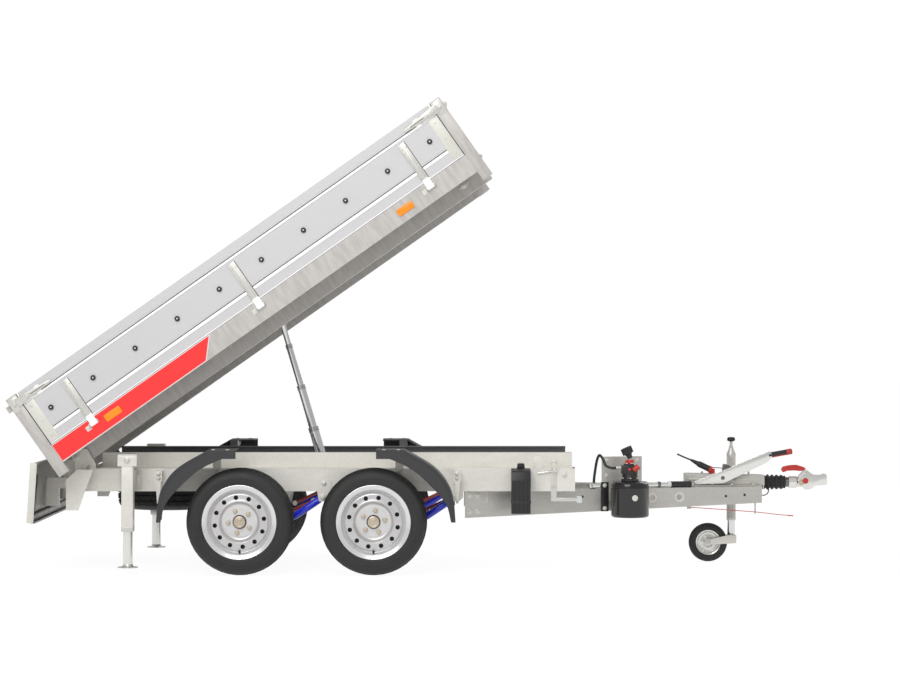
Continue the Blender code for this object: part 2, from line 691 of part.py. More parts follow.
# Wheels
RIM_R = 0.1825
RIM_SHEET = 0.005
BEAD_R = 0.165
WELL_R = 0.150
DISC_R = 0.141
BOWL_R = 0.103
CAP_R = 0.0325
VENT_R = 0.121
VENT_HOLE_R = 0.0105
VENT_COUNT = 12
HUB_BORE_R = 0.020
HUB_BOSS_R = 0.060
HUB_BOSS_IN = 0.110
DISC_Y = 0.028
BOWL_Y = 0.045
CAP_Y = 0.022
RIM_MARGIN = 0.006
TYRE_SHOULDER = 0.030
TYRE_STEPS = 24


def tyre_profile():
    half = TYRE_WIDTH / 2
    seat = BEAD_R + RUN_GAP
    return [(seat, -half + RIM_MARGIN * 2), (RIM_R, -half + RIM_MARGIN),
            (RIM_R + TYRE_SHOULDER, -half), (TYRE_R - TYRE_SHOULDER, -half), (TYRE_R, -half + TYRE_SHOULDER),
            (TYRE_R, half - TYRE_SHOULDER), (TYRE_R - TYRE_SHOULDER, half), (RIM_R + TYRE_SHOULDER, half),
            (RIM_R, half - RIM_MARGIN), (seat, half - RIM_MARGIN * 2)]


def rim_profile():
    # From the inner edge over the barrel to the outer lip, then the disc and hub boss
    half = TYRE_WIDTH / 2
    wall = RIM_SHEET
    face = half - DISC_Y
    bowl = half - BOWL_Y
    cap = half - CAP_Y
    edge = half - RIM_MARGIN * 2 - wall / 2
    return [(BEAD_R, -edge), (BEAD_R, edge), (BEAD_R - wall, edge), (DISC_R, face),
            (BOWL_R, face), (BOWL_R - wall * 3, bowl), (CAP_R, bowl), (CAP_R, cap), (0, cap),
            (0, cap - wall * 2), (HUB_BORE_R, cap - wall * 2),
            (HUB_BORE_R, half - HUB_BOSS_IN), (HUB_BOSS_R, half - HUB_BOSS_IN), (HUB_BOSS_R, bowl - wall),
            (BOWL_R - wall * 4, bowl - wall), (BOWL_R - wall, face - wall * 2),
            (BEAD_R - wall, face - wall * 2),
            (BEAD_R - wall, -edge)]


def build_wheel(label, x, side):
    # The local Z axis is the axle, pointing out of the trailer
    centre = (x, side * (TYRE_OUT - TYRE_WIDTH / 2), TYRE_R)
    turn = (-side * math.pi / 2, 0, 0)
    carrier = pivot("wheel_" + label, centre, root, turn)
    tyre = turned("tyre_" + label, tyre_profile(), (0, 0, 0), (0, 0, 0), carrier, RUBBER, TYRE_STEPS)
    rim = turned("rim_" + label, rim_profile(), (0, 0, 0), (0, 0, 0), carrier, RIM_SILVER, TYRE_STEPS)
    vents = []
    for i in range(VENT_COUNT):
        angle = math.tau * (i / VENT_COUNT + 1 / (TYRE_STEPS * 2))
        spot = (VENT_R * math.cos(angle), VENT_R * math.sin(angle))
        vents.append(rod(f"vent_{label}_{i}", (*spot, 0), (*spot, TYRE_WIDTH / 2), VENT_HOLE_R, carrier,
                         sides=6))
    cut(rim, vents)
    return tyre, rim


def spare_profile():
    half = TYRE_WIDTH / 2
    wall = RIM_SHEET
    face = half - DISC_Y
    return [(SPARE_ROD_R + RUN_GAP, face - wall * 2), (DISC_R, face - wall * 2),
            (WELL_R, -half + RIM_MARGIN * 3),
            (RIM_R, -half + RIM_MARGIN), (RIM_R + TYRE_SHOULDER, -half), (TYRE_R - TYRE_SHOULDER, -half),
            (TYRE_R, -half + TYRE_SHOULDER), (TYRE_R, half - TYRE_SHOULDER), (TYRE_R - TYRE_SHOULDER, half),
            (RIM_R + TYRE_SHOULDER, half), (RIM_R, half - RIM_MARGIN), (DISC_R + wall, face),
            (SPARE_ROD_R + RUN_GAP, face)]


def build_spare():
    middle = SPARE_LOW + TYRE_WIDTH / 2
    return turned("spare_wheel", spare_profile(), (SPARE_X, 0, middle), (math.pi, 0, 0), None, RUBBER,
                  JOCKEY_STEPS)


# Axles: a square tube under the rails, trailing arms and stubs
AXLE_AHEAD = 0.165
AXLE_TUBE = 0.060
ARM_THICK = 0.022
ARM_IN = 0.522
STUB_R = HUB_BORE_R - RUN_GAP
BRAKE_R = 0.105
BRAKE_IN = 0.560
BRAKE_OUT_GAP = 0.006
SHOCK_R = 0.020
SHOCK_EYE_R = 0.012
SHOCK_LOW = (0.150, 0.205)
SHOCK_HIGH = (0.400, 0.372)
SHOCK_Y = 0.497
SHOCK_HALF = 0.018
SHOCK_PLATE_THICK = 0.006
SHOCK_START_SHARE = 0.02
SHOCK_COVER_SHARES = (0.416, 0.948)


def build_axle(label, hub):
    x = hub + AXLE_AHEAD
    top = RAIL_BOTTOM - SEAT_GAP
    half = AXLE_TUBE / 2
    tube = block("axle_" + label, (x - half, -ARM_IN - WELD_SINK, top - AXLE_TUBE),
                 (x + half, ARM_IN + WELD_SINK, top), material=GALVANISED)
    pieces = []
    for side in (-1, 1):
        low, high = span(side, ARM_IN, ARM_IN + ARM_THICK)
        arm = [(x + half, top), (x - half, top), (hub - half, TYRE_R + half),
               (hub - half * 1.3, TYRE_R - half / 2),
               (hub, TYRE_R - half * 1.3), (hub + SHOCK_LOW[0] + SHOCK_R / 2, SHOCK_LOW[1] - SHOCK_R),
               (hub + SHOCK_LOW[0] + SHOCK_R, SHOCK_LOW[1] + SHOCK_R), (x + half, top - AXLE_TUBE)]
        pieces.append(side_plate(f"arm_{label}_{side}", arm, low, high))
        low, high = span(side, BRAKE_IN - WELD_SINK * 10, TYRE_OUT - HUB_BOSS_IN - BRAKE_OUT_GAP)
        inner = side * (ARM_IN + ARM_THICK / 2)
        brake_out = side * (TYRE_OUT - HUB_BOSS_IN - BRAKE_OUT_GAP)
        pieces.append(rod(f"brake_{label}_{side}", (hub, inner, TYRE_R), (hub, brake_out, TYRE_R), BRAKE_R))
        stub_out = side * (TYRE_OUT - CAP_Y - RIM_SHEET * 4)
        pieces.append(rod(f"stub_{label}_{side}", (hub, inner, TYRE_R), (hub, stub_out, TYRE_R), STUB_R))
        pin_low = (hub + SHOCK_LOW[0], inner, SHOCK_LOW[1])
        pin_in = (pin_low[0], side * (SHOCK_Y + SHOCK_HALF + SEAT_GAP), pin_low[2])
        pieces.append(rod(f"shock_pin_{label}_{side}", pin_low, pin_in, SHOCK_EYE_R, sides=SMALL_SIDES))
    return fuse(tube, pieces)


def shock_brackets():
    pieces = []
    for hub in HUB_XS:
        for side in (-1, 1):
            x, z = hub + SHOCK_HIGH[0], SHOCK_HIGH[1]
            low, high = span(side, RAIL_OUT - WELD_SINK, RAIL_OUT + SHOCK_PLATE_THICK)
            points = [(x - SHOCK_R * 2, RAIL_TOP - CROSS_WIDTH), (x + SHOCK_R, RAIL_TOP - CROSS_WIDTH / 2),
                      (x + SHOCK_R * 2, RAIL_BOTTOM + CROSS_WIDTH), (x + SHOCK_R * 2, z),
                      (x + SHOCK_R, z - SHOCK_R),
                      (x - SHOCK_R, z - SHOCK_R)]
            pieces.append(side_plate(f"shock_plate_{hub}_{side}", points, low, high))
            pin_out = (x, side * (RAIL_OUT + SHOCK_PLATE_THICK / 2), z)
            pin_in = (x, side * (SHOCK_Y + SHOCK_HALF + SEAT_GAP), z)
            pieces.append(rod(f"shock_top_{hub}_{side}", pin_out, pin_in, SHOCK_EYE_R, sides=SMALL_SIDES))
    return pieces


def build_shock(label, hub, side):
    low = Vector((hub + SHOCK_LOW[0], side * SHOCK_Y, SHOCK_LOW[1]))
    high = Vector((hub + SHOCK_HIGH[0], side * SHOCK_Y, SHOCK_HIGH[1]))
    length = high - low
    start, end = [low + length * share for share in SHOCK_COVER_SHARES]
    body = rod("shock_" + label, low + length * SHOCK_START_SHARE, high, SHOCK_R * 3 / 4,
               material=BLUE_PAINT)
    cover = rod("shock_cover_" + label, start, end, SHOCK_R - WELD_SINK)
    eyes = []
    for tag, spot in (("low", low), ("high", high)):
        reach = Vector((0, SHOCK_HALF, 0))
        eyes.append(rod(f"shock_eye_{tag}_{label}", spot - reach, spot + reach, SHOCK_R, sides=SMALL_SIDES))
    return fuse(body, [cover] + eyes)


# Drawbar: two tapering channels meeting at the nose
BAR_REAR_X = 0.7755
BAR_REAR_Y = 0.505
BAR_FRONT_Y = 0.075
BAR_REAR_LOW = 0.268
BAR_FRONT_LOW = 0.318
BAR_WALL = 0.004
BAR_FLANGE = 0.045
BAR_TOP = RAIL_BOTTOM - SEAT_GAP
BAR_HOLE_R = 0.0205
BAR_HOLES = ((1.7245, 0.354), (1.8660, 0.354))
CLIP_X = (1.9070, 1.9270)
CLIP_Y = -0.160
CLIP_HALF = 0.006
CLIP_CABLE_Z = 0.2985
EYE_PLATE_X = (2.2620, 2.2680)
EYE_PLATE_Y = -0.062
EYE_PLATE_HALF = 0.009
EYE_HOLE_Z = 0.270
EYE_HOLE_R = 0.0045
NOSE_PLATE = 0.180


def bar_y(x):
    share = (x - BAR_REAR_X) / (BAR_FRONT_X - BAR_REAR_X)
    return BAR_REAR_Y + (BAR_FRONT_Y - BAR_REAR_Y) * share


def bar_low(x):
    share = (x - BAR_REAR_X) / (BAR_FRONT_X - BAR_REAR_X)
    return BAR_REAR_LOW + (BAR_FRONT_LOW - BAR_REAR_LOW) * share


def bar_body(name, side, inset, low_lift, top, ends):
    # A bar in plan, cut below by a sloping wedge
    rear, front = BAR_REAR_X - ends, BAR_FRONT_X + ends
    plan = [(rear, side * (bar_y(rear) - inset)), (front, side * (bar_y(front) - inset)),
            (front, side * (bar_y(front) - BAR_FLANGE - ends)),
            (rear, side * (bar_y(rear) - BAR_FLANGE - ends))]
    body = plan_plate(name, plan, BAR_REAR_LOW - OVERRUN, top)
    deep = BAR_REAR_LOW - OVERRUN * 2
    wedge = [(rear - OVERRUN, bar_low(rear - OVERRUN) + low_lift),
             (front + OVERRUN, bar_low(front + OVERRUN) + low_lift),
             (front + OVERRUN, deep), (rear - OVERRUN, deep)]
    return cut(body, [side_plate(name + "_wedge", wedge, -RAIL_OUT - OVERRUN, RAIL_OUT + OVERRUN)])


def build_drawbar():
    bars = []
    for label, side in (("right", -1), ("left", 1)):
        bar = bar_body("drawbar_" + label, side, 0, 0, BAR_TOP, 0)
        hollow = bar_body("bar_hollow_" + label, side, BAR_WALL, BAR_WALL, BAR_TOP - BAR_WALL, OVERRUN)
        cut(bar, [hollow])
        bars.append(bar)
    bars[0].name = "drawbar"
    bars[0].data.materials.append(GALVANISED)
    nose_x = BAR_FRONT_X - NOSE_PLATE
    nose_y = bar_y(nose_x) - BAR_WALL / 2
    plan = [(nose_x, -nose_y), (BAR_FRONT_X, -bar_y(BAR_FRONT_X) + BAR_WALL / 2),
            (BAR_FRONT_X, bar_y(BAR_FRONT_X) - BAR_WALL / 2),
            (nose_x, nose_y)]
    web = plan_plate("nose_plate", plan, BAR_TOP - BAR_WALL, BAR_TOP)
    front = block("nose_front", (BAR_FRONT_X - BAR_WALL * 2, -BAR_FRONT_Y + BAR_WALL / 2, BAR_FRONT_LOW),
                  (BAR_FRONT_X, BAR_FRONT_Y - BAR_WALL / 2, BAR_TOP))
    strut_x = BAR_REAR_X + NOSE_PLATE / 2
    strut = block("bar_strut", (strut_x - CROSS_WIDTH / 2, -bar_y(strut_x) + BAR_WALL,
                                BAR_TOP - CROSS_HEIGHT),
                  (strut_x + CROSS_WIDTH / 2, bar_y(strut_x) - BAR_WALL, BAR_TOP - BAR_WALL))
    fuse(bars[0], [web, front, bars[1], strut] + cable_holders())
    holes = [rod("cable_eye", (EYE_PLATE_X[0] - OVERRUN, EYE_PLATE_Y, EYE_HOLE_Z),
                 (EYE_PLATE_X[1] + OVERRUN, EYE_PLATE_Y, EYE_HOLE_Z), EYE_HOLE_R, sides=SMALL_SIDES)]
    holes += [rod(f"bar_hole_{i}", (x, -RAIL_OUT, z), (x, RAIL_OUT, z), BAR_HOLE_R) for i,
              (x, z) in enumerate(BAR_HOLES)]
    return cut(bars[0], holes)


def cable_holders():
    # A clip and an eye plate welded under the right arm
    clip = block("cable_clip", (CLIP_X[0], CLIP_Y - CLIP_HALF, CLIP_CABLE_Z - CLIP_HALF),
                 (CLIP_X[1], CLIP_Y + CLIP_HALF, bar_low(CLIP_X[0]) + WELD_SINK))
    plate = block("cable_eye_plate", (EYE_PLATE_X[0], EYE_PLATE_Y - EYE_PLATE_HALF,
                                      EYE_HOLE_Z - EYE_PLATE_HALF),
                  (EYE_PLATE_X[1], EYE_PLATE_Y + EYE_PLATE_HALF, bar_low(EYE_PLATE_X[0]) + WELD_SINK))
    return [clip, plate]


# Overrun housing, bellows, shaft and coupling head, its outlines from the head's rear on the shaft's axis
HOUSING_REAR_X = HOUSING_FRONT_X - HOUSING_LENGTH
HOUSING_LOW = 0.4020
HOUSING_REAR_TOP = 0.4669
HOUSING_FRONT_TOP = 0.4584
HOUSING_HALF = 0.055
HOUSING_FOOT_HALF = 0.080
HOUSING_FOOT_THICK = 0.006
DRAW_AXIS_Z = 0.4205
DRAW_TUBE_R = 0.025
BELLOWS_R = 0.0405
BELLOWS_VALLEY_R = 0.031
BELLOWS_FOLDS = 4
FOLD_START_SHARE = 0.3
FOLD_END_SHARE = 0.7
HEAD_HALF = 0.032
BALL_BACK = 0.0458
BALL_Z = 0.4000
BALL_R = 0.0255
HEAD_POINTS = (
    (0.0149, 0.0275), (0.0527, 0.0675), (0.0921, 0.0378), (0.1298, 0.0355), (0.1534, 0.0442),
    (0.1626, 0.0355), (0.1626, -0.0131), (0.0952, -0.0183), (0.0854, -0.0348), (0.0494, -0.0394),
    (0.0427, -0.0229), (0.0000, -0.0229),
)
HANDLE_POINTS = (
    (-0.0616, 0.0491), (-0.0715, 0.0639), (-0.0612, 0.0795), (-0.0262, 0.0865), (0.0073, 0.0885),
    (0.0388, 0.0795), (0.0566, 0.0710), (0.0398, 0.0585), (0.0237, 0.0606), (-0.0062, 0.0695),
    (-0.0512, 0.0665),
)
HANDLE_HALF = 0.014


def build_overrun():
    points = [(HOUSING_REAR_X, HOUSING_LOW), (HOUSING_FRONT_X, HOUSING_LOW),
              (HOUSING_FRONT_X, HOUSING_FRONT_TOP),
              (HOUSING_REAR_X, HOUSING_REAR_TOP)]
    housing = side_plate("overrun_housing", points, -HOUSING_HALF, HOUSING_HALF, material=GALVANISED)
    foot = block("housing_foot", (HOUSING_REAR_X, -HOUSING_FOOT_HALF, BAR_TOP + SEAT_GAP),
                 (BAR_FRONT_X, HOUSING_FOOT_HALF, BAR_TOP + SEAT_GAP + HOUSING_FOOT_THICK))
    fuse(housing, [foot])
    return housing


def bellows_profile():
    length = BELLOWS_FRONT_X - HOUSING_FRONT_X - SEAT_GAP
    fold = length / BELLOWS_FOLDS
    inner = DRAW_TUBE_R + RUN_GAP
    profile = [(inner, 0), (BELLOWS_VALLEY_R, 0)]
    for i in range(BELLOWS_FOLDS):
        profile.append((BELLOWS_R, fold * (i + FOLD_START_SHARE)))
        profile.append((BELLOWS_R, fold * (i + FOLD_END_SHARE)))
        if i < BELLOWS_FOLDS - 1:
            profile.append((BELLOWS_VALLEY_R, fold * (i + 1)))
    profile += [(BELLOWS_VALLEY_R, length), (inner, length)]
    return profile


def on_head(points):
    return [(HEAD_REAR_X + x, DRAW_AXIS_Z + z) for x, z in points]


def build_coupling():
    bellows = turned("overrun_bellows", bellows_profile(), (HOUSING_FRONT_X + SEAT_GAP, 0, DRAW_AXIS_Z),
                     (0, math.pi / 2, 0),
                     None, RUBBER, ROUND_SIDES)
    head = side_plate("coupling_head", on_head(HEAD_POINTS), -HEAD_HALF, HEAD_HALF, material=GALVANISED)
    shaft = rod("draw_shaft", (HOUSING_FRONT_X + SEAT_GAP, 0, DRAW_AXIS_Z),
                (HEAD_REAR_X + DRAW_TUBE_R * 2, 0, DRAW_AXIS_Z),
                DRAW_TUBE_R)
    fuse(head, [shaft])
    bpy.ops.mesh.primitive_uv_sphere_add(segments=ROUND_SIDES, ring_count=SMALL_SIDES, radius=BALL_R,
                                         location=(NOSE_X - BALL_BACK, 0, BALL_Z))
    socket = keep(bpy.context.object, "ball_socket", None)
    cut(head, [socket])
    handle = side_plate("coupling_handle", on_head(HANDLE_POINTS), -HANDLE_HALF, HANDLE_HALF,
                        material=RED_PLASTIC)
    cut(head, [side_plate("handle_room", on_head(HANDLE_POINTS), -HANDLE_HALF - RUN_GAP,
                          HANDLE_HALF + RUN_GAP)])
    return bellows, head, handle


# Hand brake lever beside the housing
LEVER_IN = 0.0585
LEVER_OUT = 0.086
LEVER_POINTS = ((1.9531, 0.4110), (1.9531, 0.4240), (2.3429, 0.5830), (2.3500, 0.5495), (2.3260, 0.5261),
                (2.0972, 0.4165))
LEVER_PIN = (2.0972, 0.4450)
GRIP_R = 0.0150
GRIP_START = (2.3380, 0.5610)
GRIP_END = (2.4529, 0.5821)


def build_brake_lever():
    y = -(LEVER_IN + LEVER_OUT) / 2
    lever = side_plate("brake_lever", LEVER_POINTS, -LEVER_OUT, -LEVER_IN, material=ZINC)
    grip = rod("lever_grip", (GRIP_START[0], y, GRIP_START[1]), (GRIP_END[0], y, GRIP_END[1]), GRIP_R,
               sides=SMALL_SIDES)
    pin = rod("lever_pin", (LEVER_PIN[0], y, LEVER_PIN[1]),
              (LEVER_PIN[0], -HOUSING_HALF - SEAT_GAP, LEVER_PIN[1]),
              SHOCK_EYE_R, sides=SMALL_SIDES)
    return fuse(lever, [grip, pin])


# Jockey wheel on the left arm
JOCKEY_X = 2.1638
JOCKEY_Y = 0.150
JOCKEY_OUTER_R = 0.024
JOCKEY_INNER_R = 0.0205
JOCKEY_OUTER_LOW = 0.2146
JOCKEY_OUTER_TOP = 0.5600
JOCKEY_CONE_TOP = 0.5920
JOCKEY_STEM_R = 0.008
JOCKEY_KNOB_R = 0.021
JOCKEY_KNOB_LOW = 0.6250
JOCKEY_KNOB_TOP = 0.6464
JOCKEY_INNER_TOP = 0.4400
JOCKEY_INNER_LOW = 0.1380
JOCKEY_WHEEL_R = 0.100
JOCKEY_WHEEL_HALF = 0.025
JOCKEY_TRAIL = 0.1211
JOCKEY_CLAMP_HALF = 0.018
JOCKEY_CLAMP_LOW = 0.350
FORK_THICK = 0.004
FORK_GAP = 0.006
FORK_PIN_R = 0.008
FORK_CAP_THICK = 0.006
JOCKEY_WEB_SHARE = 0.56
JOCKEY_CROWN_SHARE = 0.88
JOCKEY_STEPS = 20


def build_jockey():
    outer = rod("jockey_tube", (JOCKEY_X, JOCKEY_Y, JOCKEY_OUTER_LOW),
                (JOCKEY_X, JOCKEY_Y, JOCKEY_OUTER_TOP),
                JOCKEY_OUTER_R, material=ZINC)
    cone = rod("jockey_cone", (JOCKEY_X, JOCKEY_Y, JOCKEY_OUTER_TOP - WELD_SINK),
               (JOCKEY_X, JOCKEY_Y, JOCKEY_CONE_TOP),
               JOCKEY_OUTER_R - WELD_SINK, end_radius=JOCKEY_STEM_R * 1.5)
    rear_edge = JOCKEY_X - JOCKEY_CLAMP_HALF
    clamp = block("jockey_clamp", (rear_edge, bar_y(rear_edge) + SEAT_GAP * 2, JOCKEY_CLAMP_LOW),
                  (JOCKEY_X + JOCKEY_CLAMP_HALF, JOCKEY_Y, BAR_TOP - SEAT_GAP))
    fuse(outer, [cone, clamp])
    bore = rod("jockey_bore", (JOCKEY_X, JOCKEY_Y, JOCKEY_OUTER_LOW - OVERRUN),
               (JOCKEY_X, JOCKEY_Y, JOCKEY_OUTER_TOP - OVERRUN),
               JOCKEY_INNER_R + RUN_GAP)
    cut(outer, [bore])
    crank = rod("jockey_crank", (JOCKEY_X, JOCKEY_Y, JOCKEY_CONE_TOP + SEAT_GAP),
                (JOCKEY_X, JOCKEY_Y, JOCKEY_KNOB_LOW + WELD_SINK),
                JOCKEY_STEM_R, material=BLACK_PLASTIC, sides=SMALL_SIDES)
    knob = rod("jockey_knob", (JOCKEY_X, JOCKEY_Y, JOCKEY_KNOB_LOW), (JOCKEY_X, JOCKEY_Y, JOCKEY_KNOB_TOP),
               JOCKEY_KNOB_R,
               sides=SMALL_SIDES)
    fuse(crank, [knob])
    slider = pivot("jockey_jack", (JOCKEY_X, JOCKEY_Y, JOCKEY_INNER_LOW), root)
    inner = rod("jockey_inner", (0, 0, 0), (0, 0, JOCKEY_INNER_TOP - JOCKEY_INNER_LOW), JOCKEY_INNER_R,
                slider, ZINC)
    build_fork(slider)
    return outer, crank, inner


def build_fork(slider):
    swivel = pivot("jockey_swivel", (0, 0, 0), slider)
    drop = JOCKEY_WHEEL_R - JOCKEY_INNER_LOW
    inside = JOCKEY_WHEEL_HALF + FORK_GAP
    top = -SEAT_GAP
    # Cheeks beside the wheel, joined by a cap ahead of it, under the inner tube
    front = JOCKEY_OUTER_R
    outline = [(front, top), (-JOCKEY_OUTER_R, top), (-JOCKEY_TRAIL - FORK_PIN_R, drop + FORK_PIN_R * 1.5),
               (-JOCKEY_TRAIL - FORK_PIN_R * 2, drop), (-JOCKEY_TRAIL - FORK_PIN_R, drop - FORK_PIN_R * 1.5),
               (front, drop - FORK_PIN_R / 2)]
    right = side_plate("jockey_fork", outline, -inside - FORK_THICK, -inside, swivel, ZINC)
    left = side_plate("fork_left", outline, inside, inside + FORK_THICK, swivel)
    web_front = block("fork_web", (front - FORK_THICK, -inside - WELD_SINK, drop - FORK_PIN_R / 2),
                      (front, inside + WELD_SINK, top), swivel)
    cap = block("fork_cap", (-JOCKEY_INNER_R / 2, -inside - WELD_SINK, top - FORK_CAP_THICK),
                (front, inside + WELD_SINK, top), swivel)
    axle = rod("fork_axle", (-JOCKEY_TRAIL, -inside - FORK_THICK * 2, drop),
               (-JOCKEY_TRAIL, inside + FORK_THICK * 2, drop), FORK_PIN_R,
               swivel, sides=SMALL_SIDES)
    fuse(right, [cap, web_front, left, axle])
    spin = pivot("jockey_spin", (-JOCKEY_TRAIL, 0, drop), swivel, (math.pi / 2, 0, 0))
    half = JOCKEY_WHEEL_HALF
    bore = FORK_PIN_R + RUN_GAP
    boss = bore * 2
    web = JOCKEY_WHEEL_R * JOCKEY_WEB_SHARE
    crown = JOCKEY_WHEEL_R * JOCKEY_CROWN_SHARE
    profile = [(bore, -half), (boss, -half), (boss, -half / 4), (web, -half / 4), (web, -half),
               (crown, -half),
               (JOCKEY_WHEEL_R, -half / 3), (JOCKEY_WHEEL_R, half / 3), (crown, half), (web, half),
               (web, half / 4),
               (boss, half / 4), (boss, half), (bore, half)]
    return turned("jockey_wheel", profile, (0, 0, 0), (0, 0, 0), spin, RUBBER, JOCKEY_STEPS)


# Hand pump unit on the right arm
TANK_X = 1.6008
TANK_R = 0.096
TANK_LOW = 0.266
TANK_TOP = 0.445
PUMP_PLATE_BACK = 0.1371
PUMP_PLATE_AHEAD = 0.0699
PUMP_PLATE_TOP = 0.5650
PUMP_BRACKET_BACKS = (0.1408, 0.1008)
PUMP_BRACKET_LOW = 0.289
PUMP_BRACKET_TOP = 0.437
PUMP_SHEET = 0.004
BLOCK_LOW_R = 0.045
BLOCK_TOP = 0.500
VALVE_HALF = (0.044, 0.032)
VALVE_TOP = 0.548
STAR_R = 0.026
STAR_LOW = 0.5620
STAR_TOP = 0.6230
HAND_TUBE_R = 0.0135
HAND_GRIP_R = 0.0165
HAND_START_X = 1.4000
HAND_GRIP_X = (1.8200, 1.9280)
HAND_IN = 0.015
HOSE_R = 0.007
HOSE_IN = 0.0365


def tank_y():
    # The round tank stands clear of the arm's outer face
    rear_edge = TANK_X - TANK_R
    return -(bar_y(rear_edge) + TANK_R + PUMP_SHEET * 2)


def build_pump():
    y = tank_y()
    tank = rod("pump_tank", (TANK_X, y, TANK_LOW), (TANK_X, y, TANK_TOP), TANK_R, material=GLOSS_BLACK,
               sides=ROUND_SIDES + SMALL_SIDES)
    head = rod("pump_block", (TANK_X, y, TANK_TOP + SEAT_GAP), (TANK_X, y, BLOCK_TOP), BLOCK_LOW_R,
               material=BLACK_STEEL)
    valve = block("valve_block", (TANK_X - VALVE_HALF[0], y - VALVE_HALF[1], BLOCK_TOP - WELD_SINK * 10),
                  (TANK_X + VALVE_HALF[0] / 2, y + VALVE_HALF[1], VALVE_TOP))
    stem = rod("valve_stem", (TANK_X, y, VALVE_TOP - WELD_SINK), (TANK_X, y, STAR_LOW + WELD_SINK),
               JOCKEY_STEM_R)
    star = rod("valve_star", (TANK_X, y, STAR_LOW), (TANK_X, y, STAR_TOP), STAR_R, sides=SMALL_SIDES)
    fuse(head, [valve, stem, star])
    x0, x1 = TANK_X - PUMP_PLATE_BACK, TANK_X + PUMP_PLATE_AHEAD
    plan = [(x0, -bar_y(x0) - SEAT_GAP), (x1, -bar_y(x1) - SEAT_GAP),
            (x1, -bar_y(x1) - SEAT_GAP - PUMP_SHEET),
            (x0, -bar_y(x0) - SEAT_GAP - PUMP_SHEET)]
    plate = plan_plate("pump_plate", plan, BAR_TOP - CROSS_HEIGHT, PUMP_PLATE_TOP, material=GALVANISED)
    b0, b1 = (TANK_X - back for back in PUMP_BRACKET_BACKS)
    out = PUMP_SHEET + WELD_SINK
    bracket_plan = [(b0, -bar_y(b0) - SEAT_GAP), (b1, -bar_y(b1) - SEAT_GAP), (b1, -bar_y(b1) - out * 2),
                    (b0, -bar_y(b0) - out * 2)]
    bracket = plan_plate("pump_bracket", bracket_plan, PUMP_BRACKET_LOW, PUMP_BRACKET_TOP)
    shelf_y = y + TANK_R * 0.3
    shelf = block("pump_shelf", (TANK_X - TANK_R / 2, shelf_y, TANK_TOP + SEAT_GAP),
                  (TANK_X + TANK_R / 2, -bar_y(TANK_X) - SEAT_GAP - PUMP_SHEET / 2,
                  TANK_TOP + SEAT_GAP + PUMP_SHEET))
    room = rod("pump_block_room", (TANK_X, y, TANK_TOP - OVERRUN), (TANK_X, y, TANK_TOP + OVERRUN * 2),
               BLOCK_LOW_R + RUN_GAP)
    fuse(plate, [bracket, shelf])
    cut(plate, [room])
    return tank, head, plate


def build_hand_lever():
    z = BAR_TOP + SEAT_GAP + HAND_GRIP_R
    start = (HAND_START_X, HAND_IN - bar_y(HAND_START_X), z)
    mid = (HAND_GRIP_X[0], HAND_IN - bar_y(HAND_GRIP_X[0]), z)
    end = (HAND_GRIP_X[1], HAND_IN - bar_y(HAND_GRIP_X[1]), z)
    lever = rod("pump_lever", start, end, HAND_TUBE_R, material=ZINC, sides=SMALL_SIDES)
    grip = rod("pump_grip", mid, end, HAND_GRIP_R, sides=SMALL_SIDES)
    along = (Vector(end) - Vector(start)).normalized()
    foot = rod("pump_ring", start, Vector(start) + along * HAND_GRIP_R, HAND_GRIP_R, sides=SMALL_SIDES)
    return fuse(lever, [grip, foot])


HOSE_FOOT_X = 1.4265
HOSE_POINTS = ((1.4275, -0.285, 0.445), (1.4310, -0.292, 0.480), (1.4400, -0.325, 0.545),
               (1.4520, -0.352, 0.573),
               (1.4690, -0.372, 0.553), (1.4810, -0.385, 0.524), (1.5080, -0.394, 0.512),
               (1.5320, -0.395, 0.512))


def build_hose():
    # From the drawbar's top to the rear face of the valve block
    foot = (HOSE_FOOT_X, HOSE_IN - bar_y(HOSE_FOOT_X), BAR_TOP + SEAT_GAP)
    last = (TANK_X - VALVE_HALF[0] - RUN_GAP, *HOSE_POINTS[-1][1:])
    path = [foot, (*foot[:2], foot[2] + HOSE_R * 4), *HOSE_POINTS, last]
    return bent_tube("pump_hose", path, HOSE_R, None, BLACK_PLASTIC, 1, 2)


# Wheel chock in its holder on the right arm
CHOCK_X = (1.0025, 1.1010)
CHOCK_LOW = 0.293
CHOCK_SHOULDER = 0.455
CHOCK_TOP = 0.5165
CHOCK_DEEP = 0.095
CHOCK_TAPER = 0.012


def build_chock():
    x0, x1 = CHOCK_X
    inner = RAIL_OUT + SEAT_GAP
    low_y = inner + CHOCK_DEEP
    end_points = [(-inner, CHOCK_LOW), (-low_y + CHOCK_TAPER * 2, CHOCK_LOW), (-low_y, CHOCK_SHOULDER),
                  (-low_y + CHOCK_TAPER, CHOCK_TOP - CHOCK_TAPER), (-inner - CHOCK_TAPER * 2, CHOCK_TOP),
                  (-inner, CHOCK_TOP)]
    return section_bar("wheel_chock", end_points, x0, x1, material=BLACK_PLASTIC)


# Breakaway cable and plug with its lead
CABLE_R = 0.0020
CABLE_POINTS = ((1.9800, -0.150, 0.2960), (2.0600, -0.126, 0.2890), (2.1600, -0.094, 0.2800),
                (2.2650, -0.062, 0.2700), (2.3200, -0.057, 0.2640), (2.3900, -0.056, 0.2560),
                (2.4622, -0.055, 0.2497))


def build_cable():
    # Starts face to face with its clip under the right arm and runs through the eye at the nose
    start = (CLIP_X[1] + RUN_GAP, CLIP_Y, CLIP_CABLE_Z)
    straight = (start[0] + CABLE_R * 5, *start[1:])
    return bent_tube("breakaway_cable", (start, straight, *CABLE_POINTS), CABLE_R, None, RED_PLASTIC, 0, 2)


